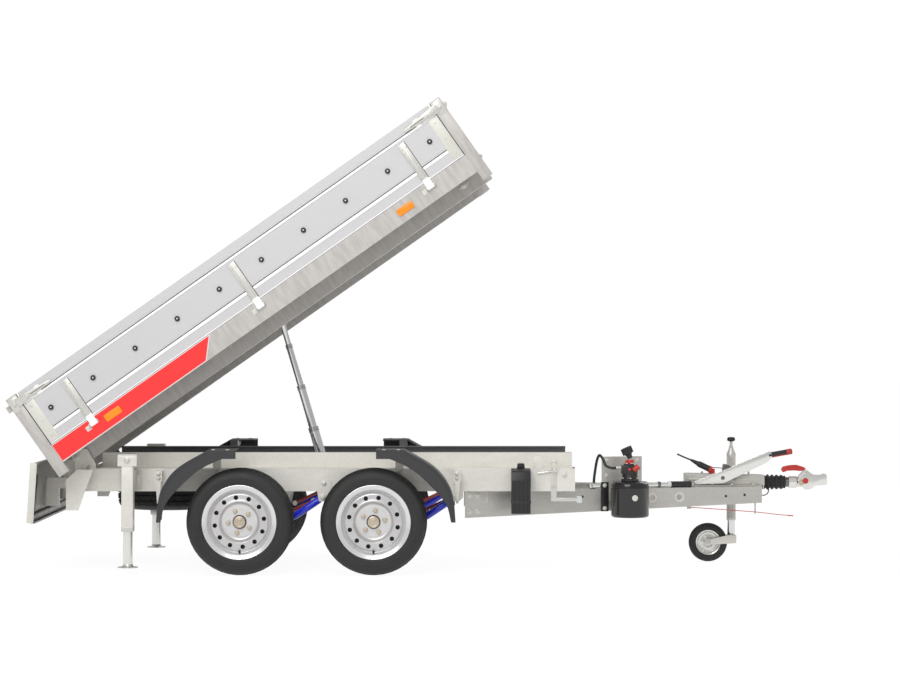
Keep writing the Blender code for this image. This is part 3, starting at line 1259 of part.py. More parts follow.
# Plug in its holder on the housing
PLUG_Y = -0.030
PLUG_LOW = (2.0450, 0.4835)
PLUG_HIGH = (1.9730, 0.5180)
PLUG_R = 0.0165
PLUG_NECK = (1.9390, 0.5352)


def build_plug():
    holder = rod("plug", (PLUG_LOW[0], PLUG_Y, PLUG_LOW[1]), (PLUG_HIGH[0], PLUG_Y, PLUG_HIGH[1]), PLUG_R,
                 material=BLACK_PLASTIC,
                 sides=SMALL_SIDES)
    neck = rod("plug_neck", (PLUG_HIGH[0], PLUG_Y, PLUG_HIGH[1]), (PLUG_NECK[0], PLUG_Y, PLUG_NECK[1]),
               PLUG_R * 0.75, sides=SMALL_SIDES,
               end_radius=PLUG_R * 0.4)
    slack = (Vector((PLUG_NECK[0], 0, PLUG_NECK[1])) - Vector((PLUG_HIGH[0], 0,
                                                               PLUG_HIGH[1]))).normalized() * WELD_SINK
    neck.location -= slack
    # The housing's top slopes forward, so the post's foot seats at its rear edge
    rear = PLUG_LOW[0] - PLUG_R
    slope = (HOUSING_REAR_TOP - HOUSING_FRONT_TOP) / (HOUSING_FRONT_X - HOUSING_REAR_X)
    seat = HOUSING_REAR_TOP - slope * (rear - HOUSING_REAR_X) + SEAT_GAP
    post = block("plug_post", (rear, PLUG_Y - PLUG_R / 2, seat),
                 (PLUG_LOW[0] + PLUG_R, PLUG_Y + PLUG_R / 2, PLUG_LOW[1] + PLUG_R / 2))
    return fuse(holder, [neck, post])


# Bed: everything here hangs from the tipping empty, in the bed's own u and v
bed_hinge = pivot("bed_tip", (PIVOT_X, 0, PIVOT_Z), root)
POST_U = 0.057
POST_Y = 0.060
RAIL_LOW_V = 0.050
RAIL_HIGH_V = 0.150
BED_WALL = 0.003
BED_LIP = 0.012
FLOOR_THICK = 0.003
BED_CROSS_LOW = 0.0975
EYE_U = 1.290
BED_CROSS_REAR_US = (0.160, 0.560, 0.960)
BED_CROSS_BACKS = (0.908, 0.508, 0.138)
BED_CROSS_US = (*BED_CROSS_REAR_US, EYE_U, *(BED_LENGTH - back for back in BED_CROSS_BACKS))
BED_CROSS_WIDTH = 0.050
EYE_V = 0.060
EYE_PIN_R = 0.010
EYE_R = 0.024
EYE_HALF = 0.018
CHEEK_THICK = 0.008
CHEEK_GAP = 0.006
HINGE_REAR_U = 0.290
HINGE_MIDDLE_SHARE = 0.49727
HINGE_FRONT_BACK = 0.283
HINGE_US = (HINGE_REAR_U, BED_LENGTH * HINGE_MIDDLE_SHARE, BED_LENGTH - HINGE_FRONT_BACK)
HINGE_V = 0.119
HINGE_OUT = 0.012
HINGE_R = 0.0105
HINGE_PIN_R = 0.0045
HINGE_HALF = 0.019
HINGE_EAR = 0.006
HINGE_EAR_R = 0.0115
EAR_STEPS = 4
SIDE_BOARD_THICK = 0.025
SIDE_BOARD_OUT = BED_HALF_WIDTH - BED_WALL
BOARD_LOW_V = 0.1525
BOARD_TOP_V = 0.452


def at(u, y, v):
    return (u - PIVOT_U, y, v - PIVOT_V)


def bed_block(name, low, high, parent=None, material=None):
    return block(name, at(*low), at(*high), parent or bed_hinge, material)


def bed_section(name, points, low_u, high_u, material=None, parent=None):
    moved = [(y, v - PIVOT_V) for y, v in points]
    return section_bar(name, moved, low_u - PIVOT_U, high_u - PIVOT_U, parent or bed_hinge, material)


def bed_plate(name, points, low_y, high_y, material=None, parent=None):
    moved = [(u - PIVOT_U, v - PIVOT_V) for u, v in points]
    return side_plate(name, moved, low_y, high_y, parent or bed_hinge, material)


def bed_rod(name, start, end, radius, material=None, parent=None, sides=ROUND_SIDES):
    return rod(name, at(*start), at(*end), radius, parent or bed_hinge, material, sides)


def skirt_section(side):
    out, wall = BED_HALF_WIDTH, BED_WALL
    points = [(out, RAIL_LOW_V), (out, RAIL_HIGH_V), (out - POST_Y, RAIL_HIGH_V),
              (out - POST_Y, RAIL_HIGH_V - wall),
              (out - wall, RAIL_HIGH_V - wall), (out - wall, RAIL_LOW_V + wall),
              (out - BED_LIP, RAIL_LOW_V + wall),
              (out - BED_LIP, RAIL_LOW_V)]
    return [(side * y, v) for y, v in points]


def ear_outline(root_at, centre, middle_v, out):
    # A flat root and a half round about the pin, out being the way it points
    points = [(root_at, middle_v - HINGE_EAR_R), (centre, middle_v - HINGE_EAR_R)]
    for step in range(1, EAR_STEPS):
        angle = math.pi * step / EAR_STEPS
        points.append((centre + out * HINGE_EAR_R * math.sin(angle),
                       middle_v - HINGE_EAR_R * math.cos(angle)))
    return points + [(centre, middle_v + HINGE_EAR_R), (root_at, middle_v + HINGE_EAR_R)]


def hinge_ears(tag, side, us):
    pieces = []
    y = side * (BED_HALF_WIDTH + HINGE_OUT)
    for i, u in enumerate(us):
        for end in (-1, 1):
            start = u + end * (HINGE_HALF + RUN_GAP)
            finish_u = start + end * HINGE_EAR
            low_u, high_u = sorted((start, finish_u))
            inner = side * (BED_HALF_WIDTH - BED_WALL / 2)
            pieces.append(bed_section(f"ear_{tag}_{i}_{end}", ear_outline(inner, y, HINGE_V, side), low_u,
                                      high_u))
        pieces.append(bed_rod(f"hinge_pin_{tag}_{i}", (u - HINGE_HALF - HINGE_EAR, y, HINGE_V),
                              (u + HINGE_HALF + HINGE_EAR, y, HINGE_V),
                              HINGE_PIN_R, sides=SMALL_SIDES))
    return pieces


FRONT_HINGE_YS = (-0.480, 0.480)
FRONT_HINGE_OUT = 0.0125


def build_bed_frame():
    low, high = span(-1, BEAM_OUT - BEAM_WIDTH, BEAM_OUT)
    frame = bed_section("bed_frame", [(low, BEAM_BOTTOM_V), (high, BEAM_BOTTOM_V),
                                      (high, BED_CROSS_LOW + WELD_SINK), (low, BED_CROSS_LOW + WELD_SINK)],
                        BED_WALL, BED_LENGTH, GALVANISED)
    top = RAIL_HIGH_V - FLOOR_THICK - SEAT_GAP
    inside = BED_HALF_WIDTH - BED_WALL / 2
    half = BED_CROSS_WIDTH / 2
    pieces = [bed_block("bed_cross_0", (BED_CROSS_US[0] - half, -inside, BED_CROSS_LOW),
                        (BED_CROSS_US[0] + half, inside, top))]
    low, high = BEAM_OUT - BEAM_WIDTH, BEAM_OUT
    pieces.append(bed_section("beam_left", [(low, BEAM_BOTTOM_V), (high, BEAM_BOTTOM_V),
                                            (high, BED_CROSS_LOW + WELD_SINK),
                                            (low, BED_CROSS_LOW + WELD_SINK)],
                              BED_WALL, BED_LENGTH))
    for i, u in enumerate(BED_CROSS_US[1:]):
        pieces.append(bed_block(f"bed_cross_{i + 1}", (u - half, -inside, BED_CROSS_LOW),
                                (u + half, inside, top)))
    for label, side in (("right", -1), ("left", 1)):
        pieces.append(bed_section("skirt_" + label, skirt_section(side), BED_WALL, BED_LENGTH - BED_WALL))
        low, high = span(side, BED_HALF_WIDTH - POST_Y, BED_HALF_WIDTH)
        pieces.append(bed_block("post_rear_" + label, (0, low, 0), (POST_U, high, POST_HEIGHT)))
        pieces.append(bed_block("post_front_" + label, (BED_LENGTH - POST_U, low, 0),
                                (BED_LENGTH, high, POST_HEIGHT)))
        pieces += hinge_ears(label, side, HINGE_US)
    # The front sill passes over the chassis channels when the bed is down
    reach = BED_HALF_WIDTH - POST_Y / 2
    for name, start, end, low in (("rear", 0, POST_U, RAIL_LOW_V),
                                  ("front", BED_LENGTH - POST_U, BED_LENGTH, BED_CROSS_LOW)):
        pieces.append(bed_block("sill_" + name, (start, -reach, low), (end, reach, RAIL_HIGH_V)))
    pieces += cylinder_cheeks() + tail_hooks() + front_ears()
    fuse(frame, pieces)
    holes = []
    for side in (-1, 1):
        low, high = span(side, BEAM_OUT - BEAM_WIDTH - OVERRUN, BEAM_OUT + OVERRUN)
        holes.append(bed_rod(f"pivot_bore_{side}", (PIVOT_U, low, PIVOT_V), (PIVOT_U, high, PIVOT_V),
                             PIVOT_PIN_R + RUN_GAP))
    return cut(frame, holes)


def cylinder_cheeks():
    pieces = []
    for side in (-1, 1):
        low, high = span(side, EYE_HALF + CHEEK_GAP, EYE_HALF + CHEEK_GAP + CHEEK_THICK)
        points = [(EYE_U - BED_CROSS_WIDTH / 2, BED_CROSS_LOW + WELD_SINK),
                  (EYE_U - EYE_PIN_R * 1.6, EYE_V - EYE_PIN_R), (EYE_U, EYE_V - EYE_PIN_R * 2),
                  (EYE_U + EYE_PIN_R * 1.6, EYE_V - EYE_PIN_R),
                  (EYE_U + BED_CROSS_WIDTH / 2, BED_CROSS_LOW + WELD_SINK)]
        pieces.append(bed_plate(f"cheek_{side}", points, low, high))
    reach = EYE_HALF + CHEEK_GAP + CHEEK_THICK * 1.4
    pieces.append(bed_rod("eye_pin", (EYE_U, -reach, EYE_V), (EYE_U, reach, EYE_V), EYE_PIN_R,
                          sides=SMALL_SIDES))
    return pieces


# Tailgate, hung from pins at its top, between the rear posts
GATE_CLEAR = 0.005
GATE_HALF = BED_HALF_WIDTH - POST_Y - GATE_CLEAR
GATE_U = (0.012, 0.037)
GATE_HINGE_U = -0.012
GATE_HINGE_V = 0.410
GATE_LOW_V = 0.1550
GATE_TOP_V = 0.4480
GATE_PIN_R = 0.006
GATE_STRAP = 0.008
GATE_HOOK_HALF = 0.006
GATE_LUG_R = 0.012


def tail_hooks():
    pieces = []
    for side in (-1, 1):
        y = side * (BED_HALF_WIDTH - POST_Y / 2)
        low, high = y - GATE_HOOK_HALF, y + GATE_HOOK_HALF
        top = HOOK_TOP_V
        bottom = 2 * GATE_HINGE_V - HOOK_TOP_V
        pieces.append(bed_block(f"tail_hook_{side}", (-HOOK_OUT, low, bottom), (WELD_SINK, high, top)))
        y0, y1 = sorted((y, side * (GATE_HALF - GATE_STRAP * 2)))
        pieces.append(bed_rod(f"tail_pin_{side}", (GATE_HINGE_U, y0, GATE_HINGE_V),
                              (GATE_HINGE_U, y1, GATE_HINGE_V), GATE_PIN_R, sides=SMALL_SIDES))
    return pieces


def build_tailgate():
    axis = pivot("tailgate_hinge", at(GATE_HINGE_U, 0, GATE_HINGE_V), bed_hinge)

    def local(u, y, v):
        return (u - GATE_HINGE_U, y, v - GATE_HINGE_V)

    gate = block("tailgate", local(GATE_U[0], -GATE_HALF, GATE_LOW_V),
                 local(GATE_U[1], GATE_HALF, GATE_TOP_V), axis, ALUMINIUM)
    lugs = []
    for side in (-1, 1):
        low, high = span(side, GATE_HALF - GATE_STRAP * 2, GATE_HALF - GATE_STRAP)
        lugs.append(block(f"gate_lug_{side}", local(GATE_HINGE_U, low, GATE_HINGE_V - GATE_LUG_R),
                          local(GATE_U[0] + WELD_SINK, high, GATE_HINGE_V + GATE_LUG_R), axis))
        lugs.append(rod(f"gate_eye_{side}", local(GATE_HINGE_U, low, GATE_HINGE_V),
                        local(GATE_HINGE_U, high, GATE_HINGE_V), GATE_LUG_R, axis, sides=SMALL_SIDES))
    fuse(gate, lugs)
    bores = []
    for side in (-1, 1):
        low, high = span(side, GATE_HALF - GATE_STRAP * 3, GATE_HALF + OVERRUN)
        bores.append(rod(f"gate_bore_{side}", local(GATE_HINGE_U, low, GATE_HINGE_V),
                         local(GATE_HINGE_U, high, GATE_HINGE_V), GATE_PIN_R + RUN_GAP, axis,
                         sides=SMALL_SIDES))
    return cut(gate, bores)


# Front board, hinged at its foot
FRONT_BOARD_BACK = 0.028
FRONT_BOARD_U = (BED_LENGTH - FRONT_BOARD_BACK, BED_LENGTH - BED_WALL)
FRONT_HINGE_U = BED_LENGTH + FRONT_HINGE_OUT
FRONT_HINGE_V = 0.116
FRONT_STRAP_TOP = 0.291


def front_ears():
    pieces = []
    for i, y in enumerate(FRONT_HINGE_YS):
        for end in (-1, 1):
            start = y + end * (HINGE_HALF + RUN_GAP)
            low, high = sorted((start, start + end * HINGE_EAR))
            outline = ear_outline(BED_LENGTH - BED_WALL, FRONT_HINGE_U, FRONT_HINGE_V, 1)
            pieces.append(bed_plate(f"front_ear_{i}_{end}", outline, low, high))
        pieces.append(bed_rod(f"front_pin_{i}", (FRONT_HINGE_U, y - HINGE_HALF - HINGE_EAR, FRONT_HINGE_V),
                              (FRONT_HINGE_U, y + HINGE_HALF + HINGE_EAR, FRONT_HINGE_V),
                              HINGE_PIN_R, sides=SMALL_SIDES))
    return pieces


STRAP_TOP_V = 0.374


def build_front_board():
    axis = pivot("front_board_hinge", at(FRONT_HINGE_U, 0, FRONT_HINGE_V), bed_hinge)

    def local(u, y, v):
        return (u - FRONT_HINGE_U, y, v - FRONT_HINGE_V)

    board = block("front_board", local(FRONT_BOARD_U[0], -GATE_HALF, BOARD_LOW_V),
                  local(FRONT_BOARD_U[1], GATE_HALF, BOARD_TOP_V), axis, ALUMINIUM)
    pieces, bores = [], []
    for i, y in enumerate(FRONT_HINGE_YS):
        low, high = y - HINGE_HALF, y + HINGE_HALF
        pieces.append(block(f"front_pack_{i}", local(FRONT_BOARD_U[1] - WELD_SINK, low,
                                                     BOARD_LOW_V + HINGE_R),
                            local(FRONT_HINGE_U - HINGE_R / 2, high, FRONT_STRAP_TOP), axis))
        pieces.append(block(f"front_strap_{i}", local(FRONT_HINGE_U - HINGE_R, low, FRONT_HINGE_V),
                            local(FRONT_HINGE_U, high, FRONT_STRAP_TOP - HINGE_R), axis))
        pieces.append(rod(f"front_barrel_{i}", local(FRONT_HINGE_U, low, FRONT_HINGE_V),
                          local(FRONT_HINGE_U, high, FRONT_HINGE_V), HINGE_R, axis, sides=SMALL_SIDES))
        bores.append(rod(f"front_bore_{i}", local(FRONT_HINGE_U, low - OVERRUN, FRONT_HINGE_V),
                         local(FRONT_HINGE_U, high + OVERRUN, FRONT_HINGE_V), HINGE_PIN_R + RUN_GAP, axis,
                         sides=SMALL_SIDES))
    fuse(board, pieces)
    return cut(board, bores)


# Side boards: ribbed dropsides with straps, rope knobs and latch levers
GROOVE_DEEP = 0.003
GROOVES = ((0.205, 0.218), (0.388, 0.397))
KNOB_COUNT = 10
KNOB_START_U = 0.162
KNOB_END_BACK = 0.1614
KNOB_PITCH = (BED_LENGTH - KNOB_START_U - KNOB_END_BACK) / (KNOB_COUNT - 1)
KNOB_V = 0.302
KNOB_R = 0.013
KNOB_OUT = 0.010
LATCH_U = (0.040, 0.230)
LATCH_V = (0.387, 0.437, 0.401, 0.420)
LATCH_THICK = 0.010
LATCH_SEAT_U = (0.075, 0.125)
SIDE_BOARD_END = 0.0605


def build_side_board(label, side):
    hinge_y = side * (BED_HALF_WIDTH + HINGE_OUT)
    axis = pivot("side_board_hinge_" + label, at(0, hinge_y, HINGE_V), bed_hinge)

    def local(u, y, v):
        return (u, y - hinge_y, v - HINGE_V)

    inner, out = SIDE_BOARD_OUT - SIDE_BOARD_THICK, SIDE_BOARD_OUT
    points = [(inner, BOARD_LOW_V), (out, BOARD_LOW_V)]
    for low, high in GROOVES:
        points += [(out, low), (out - GROOVE_DEEP, low + GROOVE_DEEP / 2),
                   (out - GROOVE_DEEP, high - GROOVE_DEEP / 2), (out, high)]
    points += [(out, BOARD_TOP_V), (inner, BOARD_TOP_V)]
    moved = [(side * y - hinge_y, v - HINGE_V) for y, v in points]
    board = section_bar("side_board_" + label, moved, SIDE_BOARD_END, BED_LENGTH - SIDE_BOARD_END, axis,
                        ALUMINIUM)
    pieces, bores = [], []
    for i, u in enumerate(HINGE_US):
        low, high = span(side, out - GROOVE_DEEP * 2, BED_HALF_WIDTH + HINGE_OUT)
        pieces.append(block(f"strap_{label}_{i}", local(u - HINGE_HALF, low, BOARD_LOW_V + WELD_SINK),
                            local(u + HINGE_HALF, high, STRAP_TOP_V), axis))
        low, high = span(side, BED_HALF_WIDTH + HINGE_OUT - HINGE_R, BED_HALF_WIDTH + HINGE_OUT)
        pieces.append(block(f"strap_foot_{label}_{i}", local(u - HINGE_HALF, low, HINGE_V),
                            local(u + HINGE_HALF, high, BOARD_LOW_V + HINGE_R), axis))
        pieces.append(rod(f"barrel_{label}_{i}", local(u - HINGE_HALF, hinge_y, HINGE_V),
                          local(u + HINGE_HALF, hinge_y, HINGE_V), HINGE_R, axis, sides=SMALL_SIDES))
        bores.append(rod(f"barrel_bore_{label}_{i}", local(u - HINGE_HALF - OVERRUN, hinge_y, HINGE_V),
                         local(u + HINGE_HALF + OVERRUN, hinge_y, HINGE_V), HINGE_PIN_R + RUN_GAP, axis,
                         sides=SMALL_SIDES))
    for i in range(KNOB_COUNT):
        u = KNOB_START_U + KNOB_PITCH * i
        pieces.append(rod(f"knob_{label}_{i}", local(u, side * (out - GROOVE_DEEP), KNOB_V),
                          local(u, side * (out + KNOB_OUT), KNOB_V), KNOB_R, axis, sides=6))
    for end in ("rear", "front"):
        pieces.append(latch(label, side, end, axis, local))
    fuse(board, pieces)
    return cut(board, bores)


def latch(label, side, end, axis, local):
    low_v, high_v, tip_low, tip_high = LATCH_V
    points = [(LATCH_U[0], low_v), (LATCH_U[0], high_v), (LATCH_U[1], tip_high), (LATCH_U[1], tip_low)]
    if end == "front":
        points = [(BED_LENGTH - u, v) for u, v in points][::-1]
    hinge_y = side * (BED_HALF_WIDTH + HINGE_OUT)
    low, high = span(side, BED_HALF_WIDTH + HINGE_OUT / 4, BED_HALF_WIDTH + HINGE_OUT / 4 + LATCH_THICK)
    moved = [(u, v - HINGE_V) for u, v in points]
    lever = side_plate(f"latch_{label}_{end}", moved, low - hinge_y, high - hinge_y, axis)
    seat_low, seat_high = sorted((side * (SIDE_BOARD_OUT - GROOVE_DEEP * 2),
                                  side * (BED_HALF_WIDTH + HINGE_OUT / 2)))
    u0, u1 = LATCH_SEAT_U
    if end == "front":
        u0, u1 = BED_LENGTH - u1, BED_LENGTH - u0
    seat = block(f"latch_seat_{label}_{end}", local(u0, seat_low, tip_low), local(u1, seat_high, tip_high),
                 axis)
    return fuse(lever, [seat])


# Floor plate and floor fixings
def build_floor():
    low = RAIL_HIGH_V - FLOOR_THICK
    rear = POST_U + SEAT_GAP
    reach = BED_HALF_WIDTH - POST_Y - SEAT_GAP
    return bed_block("bed_floor", (rear, -reach, low), (BED_LENGTH - rear, reach, RAIL_HIGH_V),
                     material=FLOOR_STEEL)


# Telescopic cylinder between the frame's trunnion and the bed's eye pin
BARREL_R = 0.034
BARREL_BORE_R = 0.0275
BARREL_LOW = -0.235
BARREL_TOP = 0.012
BARREL_FLOOR = 0.012
STAGE_LOW = -0.215
STAGE_STEP = 0.012
STAGE_RS = (0.0270, 0.0225, 0.0185, 0.0150)
STAGE_BORES = (0.0230, 0.0190, 0.0155)
STAGE_TOPS = (0.206, 0.4306, 0.650)
EYE_BORE_R = 0.0178


def eye_place():
    du, dv = EYE_U - PIVOT_U, EYE_V - PIVOT_V
    c, s = math.cos(TIP_ANGLE), math.sin(TIP_ANGLE)
    return PIVOT_X + du * c - dv * s, PIVOT_Z + du * s + dv * c


def build_cylinder():
    eye_x, eye_z = eye_place()
    lean = math.atan2(TRUNNION_X - eye_x, eye_z - TRUNNION_Z)
    length = math.hypot(TRUNNION_X - eye_x, eye_z - TRUNNION_Z)
    lowered = math.hypot(TRUNNION_X - (PIVOT_X + EYE_U - PIVOT_U), BED_LOWERED_Z + EYE_V - TRUNNION_Z)
    swing = pivot("cylinder_swing", (TRUNNION_X, 0, TRUNNION_Z), root, (0, -lean, 0))
    profile = [(BARREL_BORE_R, BARREL_LOW + BARREL_FLOOR), (BARREL_BORE_R, BARREL_TOP),
               (BARREL_R, BARREL_TOP), (BARREL_R, BARREL_LOW),
               (0, BARREL_LOW), (0, BARREL_LOW + BARREL_FLOOR)]
    barrel = turned("cylinder_barrel", profile, (0, 0, 0), (0, 0, 0), swing, BLACK_STEEL)
    pins = []
    for side in (-1, 1):
        low, high = span(side, (BARREL_BORE_R + BARREL_R) / 2, TRUNNION_PLATE_IN + TRUNNION_PLATE_THICK)
        pins.append(rod(f"trunnion_{side}", (0, low, 0), (0, high, 0), TRUNNION_R, swing))
    fuse(barrel, pins)
    solids = [barrel]
    parent = swing
    for i, radius in enumerate(STAGE_RS):
        last = i == len(STAGE_RS) - 1
        top = STAGE_TOPS[i] if not last else length
        retracted = BARREL_TOP + STAGE_STEP * (i + 1) if not last else lowered
        low = STAGE_LOW + top - retracted
        slide = pivot(f"stage_slide_{i + 1}", (0, 0, 0), swing)
        if not last:
            bore = STAGE_BORES[i]
            profile = [(bore, low), (bore, top), (radius, top), (radius, low)]
            solids.append(turned(f"cylinder_stage_{i + 1}", profile, (0, 0, 0), (0, 0, 0), slide, CHROME))
        else:
            rod_end = rod(f"cylinder_stage_{i + 1}", (0, 0, low), (0, 0, length - EYE_R * 0.9), radius,
                          slide, CHROME)
            eye = rod("rod_eye", (0, -EYE_HALF, length), (0, EYE_HALF, length), EYE_R, slide)
            fuse(rod_end, [eye])
            hole = rod("eye_bore", (0, -EYE_HALF - OVERRUN, length), (0, EYE_HALF + OVERRUN, length),
                       EYE_BORE_R, slide)
            cut(rod_end, [hole])
            solids.append(rod_end)
    return solids


def build_trailer():
    build_chassis()
    for end, tag in ((-1, "rear"), (1, "front")):
        for side, label in ((-1, "right"), (1, "left")):
            build_guard(f"mudguard_{tag}_{label}", end, side)
            hub = HUB_XS[0] if end < 0 else HUB_XS[1]
            build_wheel(f"{tag}_{label}", hub, side)
            build_shock(f"{tag}_{label}", hub, side)
        build_axle(tag, HUB_XS[0] if end < 0 else HUB_XS[1])
    both_sides(build_leg)
    build_light_board()
    build_spare()
    build_drawbar()
    build_overrun()
    build_coupling()
    build_brake_lever()
    build_jockey()
    build_pump()
    build_hand_lever()
    build_hose()
    build_chock()
    build_cable()
    build_plug()
    build_bed_frame()
    build_floor()
    both_sides(build_side_board)
    build_tailgate()
    build_front_board()
    build_cylinder()
    # The bed is built level and then raised about its hinge
    bed_hinge.rotation_euler = (0, -TIP_ANGLE, 0)


build_trailer()
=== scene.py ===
# %% [markdown]
# # A tandem tipper trailer, dressed for the camera
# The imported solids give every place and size. This script adds the surfaces on
# top of them: rubber, galvanised steel, ribbed boards, lamps, bolts and knobs.
# All lengths are in metres and +X points to the coupling.

# %%
import math
import bmesh
import bpy
from mathutils import Matrix, Vector


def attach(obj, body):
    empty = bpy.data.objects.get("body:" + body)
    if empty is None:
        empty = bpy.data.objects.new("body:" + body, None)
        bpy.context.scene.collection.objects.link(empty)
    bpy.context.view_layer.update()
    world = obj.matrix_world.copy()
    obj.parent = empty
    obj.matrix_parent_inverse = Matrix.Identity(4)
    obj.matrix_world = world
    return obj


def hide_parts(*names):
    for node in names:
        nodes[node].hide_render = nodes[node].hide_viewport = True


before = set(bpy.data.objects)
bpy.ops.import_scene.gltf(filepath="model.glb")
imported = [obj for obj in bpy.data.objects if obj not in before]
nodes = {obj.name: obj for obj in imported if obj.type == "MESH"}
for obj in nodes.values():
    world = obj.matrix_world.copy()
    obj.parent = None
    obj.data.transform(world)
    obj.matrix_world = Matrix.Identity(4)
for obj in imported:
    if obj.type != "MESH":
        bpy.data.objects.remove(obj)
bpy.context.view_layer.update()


# %% [markdown]
# ## Sizes shared with the solids
# X is measured from midway between the wheels, as in the part's source, and
# `at_x` moves it to the frame, whose origin is the middle of the whole length.

# %%
TIP_ANGLE = math.radians(35.05)
PIVOT_U, PIVOT_V = 0.0909, 0.0428
PIVOT_X, PIVOT_Z = -1.1445, 0.5728
# The tipped bed's rearmost corner: how far behind the bed's end, and its height
CORNER_BACK, CORNER_V = 0.025, 0.426
REAR_REACH = (CORNER_BACK + PIVOT_U) * math.cos(TIP_ANGLE) + (CORNER_V - PIVOT_V) * math.sin(TIP_ANGLE)
NOSE_X = 2.6388
CENTRE_X = (PIVOT_X - REAR_REACH + NOSE_X) / 2
HUB_XS = {"rear": -0.3275, "front": 0.3275}
SIDES = {"right": -1, "left": 1}
TYRE_R, TYRE_HALF, TYRE_OUT = 0.262, 0.0975, 0.742
RAIL_OUT, RAIL_TOP = 0.52, 0.515
BED_LENGTH = 2.568
BAR_REAR, BAR_FRONT = (0.7755, 0.505, 0.268), (2.2985, 0.075, 0.318)
BAR_TOP = 0.4017
ARM_LEAN = math.atan2(BAR_REAR[1] - BAR_FRONT[1], BAR_FRONT[0] - BAR_REAR[0])

DATUM = Matrix.Translation((-CENTRE_X, 0, 0))
BED = Matrix.Translation((PIVOT_X - CENTRE_X, 0, PIVOT_Z)) @ Matrix.Rotation(-TIP_ANGLE, 4, "Y")
BED = BED @ Matrix.Translation((-PIVOT_U, 0, -PIVOT_V))


def at_x(x):
    return x - CENTRE_X


def bar_share(x):
    return (x - BAR_REAR[0]) / (BAR_FRONT[0] - BAR_REAR[0])


def bar_y(x):
    return BAR_REAR[1] + (BAR_FRONT[1] - BAR_REAR[1]) * bar_share(x)


def add_object(name, data):
    obj = bpy.data.objects.new(name, data)
    bpy.context.scene.collection.objects.link(obj)
    return obj


# %% [markdown]
# ## Camera
# It stands level at the middle of the photograph's frame, fourteen metres away.

# %%
CAMERA_X, CAMERA_AWAY, CAMERA_Z = 0.7015, 14.0, 1.164
camera_data = bpy.data.cameras.new("camera")
camera_data.sensor_width = 36
camera_data.lens = 108.8
camera_data.clip_end = 200
camera = add_object("camera", camera_data)
camera.location = (at_x(CAMERA_X), -CAMERA_AWAY, CAMERA_Z)
camera.rotation_euler = (math.pi / 2, 0, 0)
bpy.context.scene.camera = camera
bpy.context.scene.view_settings.view_transform = "Standard"

# %% [markdown]
# ## Mesh helpers
# Each helper makes a small part in its own bmesh and stamps it into the piece
# that is being gathered, with the material's place in the piece's list.

# %%


def stamp(main, part, material=0, place=None):
    if place is not None:
        part.transform(place)
    for face in part.faces:
        face.material_index = material
    carrier = bpy.data.meshes.new("carrier")
    part.to_mesh(carrier)
    part.free()
    main.from_mesh(carrier)
    bpy.data.meshes.remove(carrier)


def soften(part, width, steps=2, edges=None):
    if width <= 0:
        return
    chosen = edges if edges is not None else part.edges[:]
    bmesh.ops.bevel(part, geom=chosen, offset=width, offset_type="OFFSET", segments=steps, profile=0.5,
        affect="EDGES", clamp_overlap=True)


def box(main, low, high, material=0, soft=0.0015, place=None):
    part = bmesh.new()
    bmesh.ops.create_cube(part, size=1)
    size = [abs(b - a) for a, b in zip(low, high)]
    middle = [(a + b) / 2 for a, b in zip(low, high)]
    part.transform(Matrix.Translation(middle) @ Matrix.Diagonal((*size, 1)))
    soften(part, min(soft, min(size) * 0.4))
    stamp(main, part, material, place)


# The planes an outline can lie in: the two axes drawn in, and the one it is thick along
PLANES = {"xz": Matrix(((1, 0, 0, 0), (0, 0, 1, 0), (0, 1, 0, 0), (0, 0, 0, 1))),
    "yz": Matrix(((0, 0, 1, 0), (1, 0, 0, 0), (0, 1, 0, 0), (0, 0, 0, 1))), "xy": Matrix.Identity(4),}


SHARP_ANGLE = math.radians(28)


def extruded(points, low, rise):
    # An outline at the height low, drawn up by rise along local Z
    part = bmesh.new()
    face = part.faces.new([part.verts.new((a, b, low)) for a, b in points])
    grown = bmesh.ops.extrude_face_region(part, geom=[face])
    lifted = [item for item in grown["geom"] if isinstance(item, bmesh.types.BMVert)]
    bmesh.ops.translate(part, verts=lifted, vec=(0, 0, rise))
    return part


def plate(main, points, plane, low, high, material=0, soft=0.001, place=None, steps=2):
    part = extruded(points, min(low, high), abs(high - low))
    part.transform(PLANES[plane])
    bmesh.ops.recalc_face_normals(part, faces=part.faces)
    sharp = [edge for edge in part.edges if edge.calc_face_angle(0) > SHARP_ANGLE]
    soften(part, min(soft, abs(high - low) * 0.4), steps, sharp)
    stamp(main, part, material, place)


def rounded(points, radius, steps=4, only=None):
    # Rounds the corners of an outline, all of them or those that only names
    result = []
    count = len(points)
    for i, point in enumerate(points):
        here = Vector(point)
        if only is not None and i not in only:
            result.append((here.x, here.y))
            continue
        before, after = Vector(points[i - 1]), Vector(points[(i + 1) % count])
        reach = min(radius, (before - here).length * 0.45, (after - here).length * 0.45)
        start = here + (before - here).normalized() * reach
        end = here + (after - here).normalized() * reach
        for k in range(steps + 1):
            t = k / steps
            spot = start * (1 - t) ** 2 + here * 2 * t * (1 - t) + end * t * t
            result.append((spot.x, spot.y))
    return result


MERGE = 0.00001


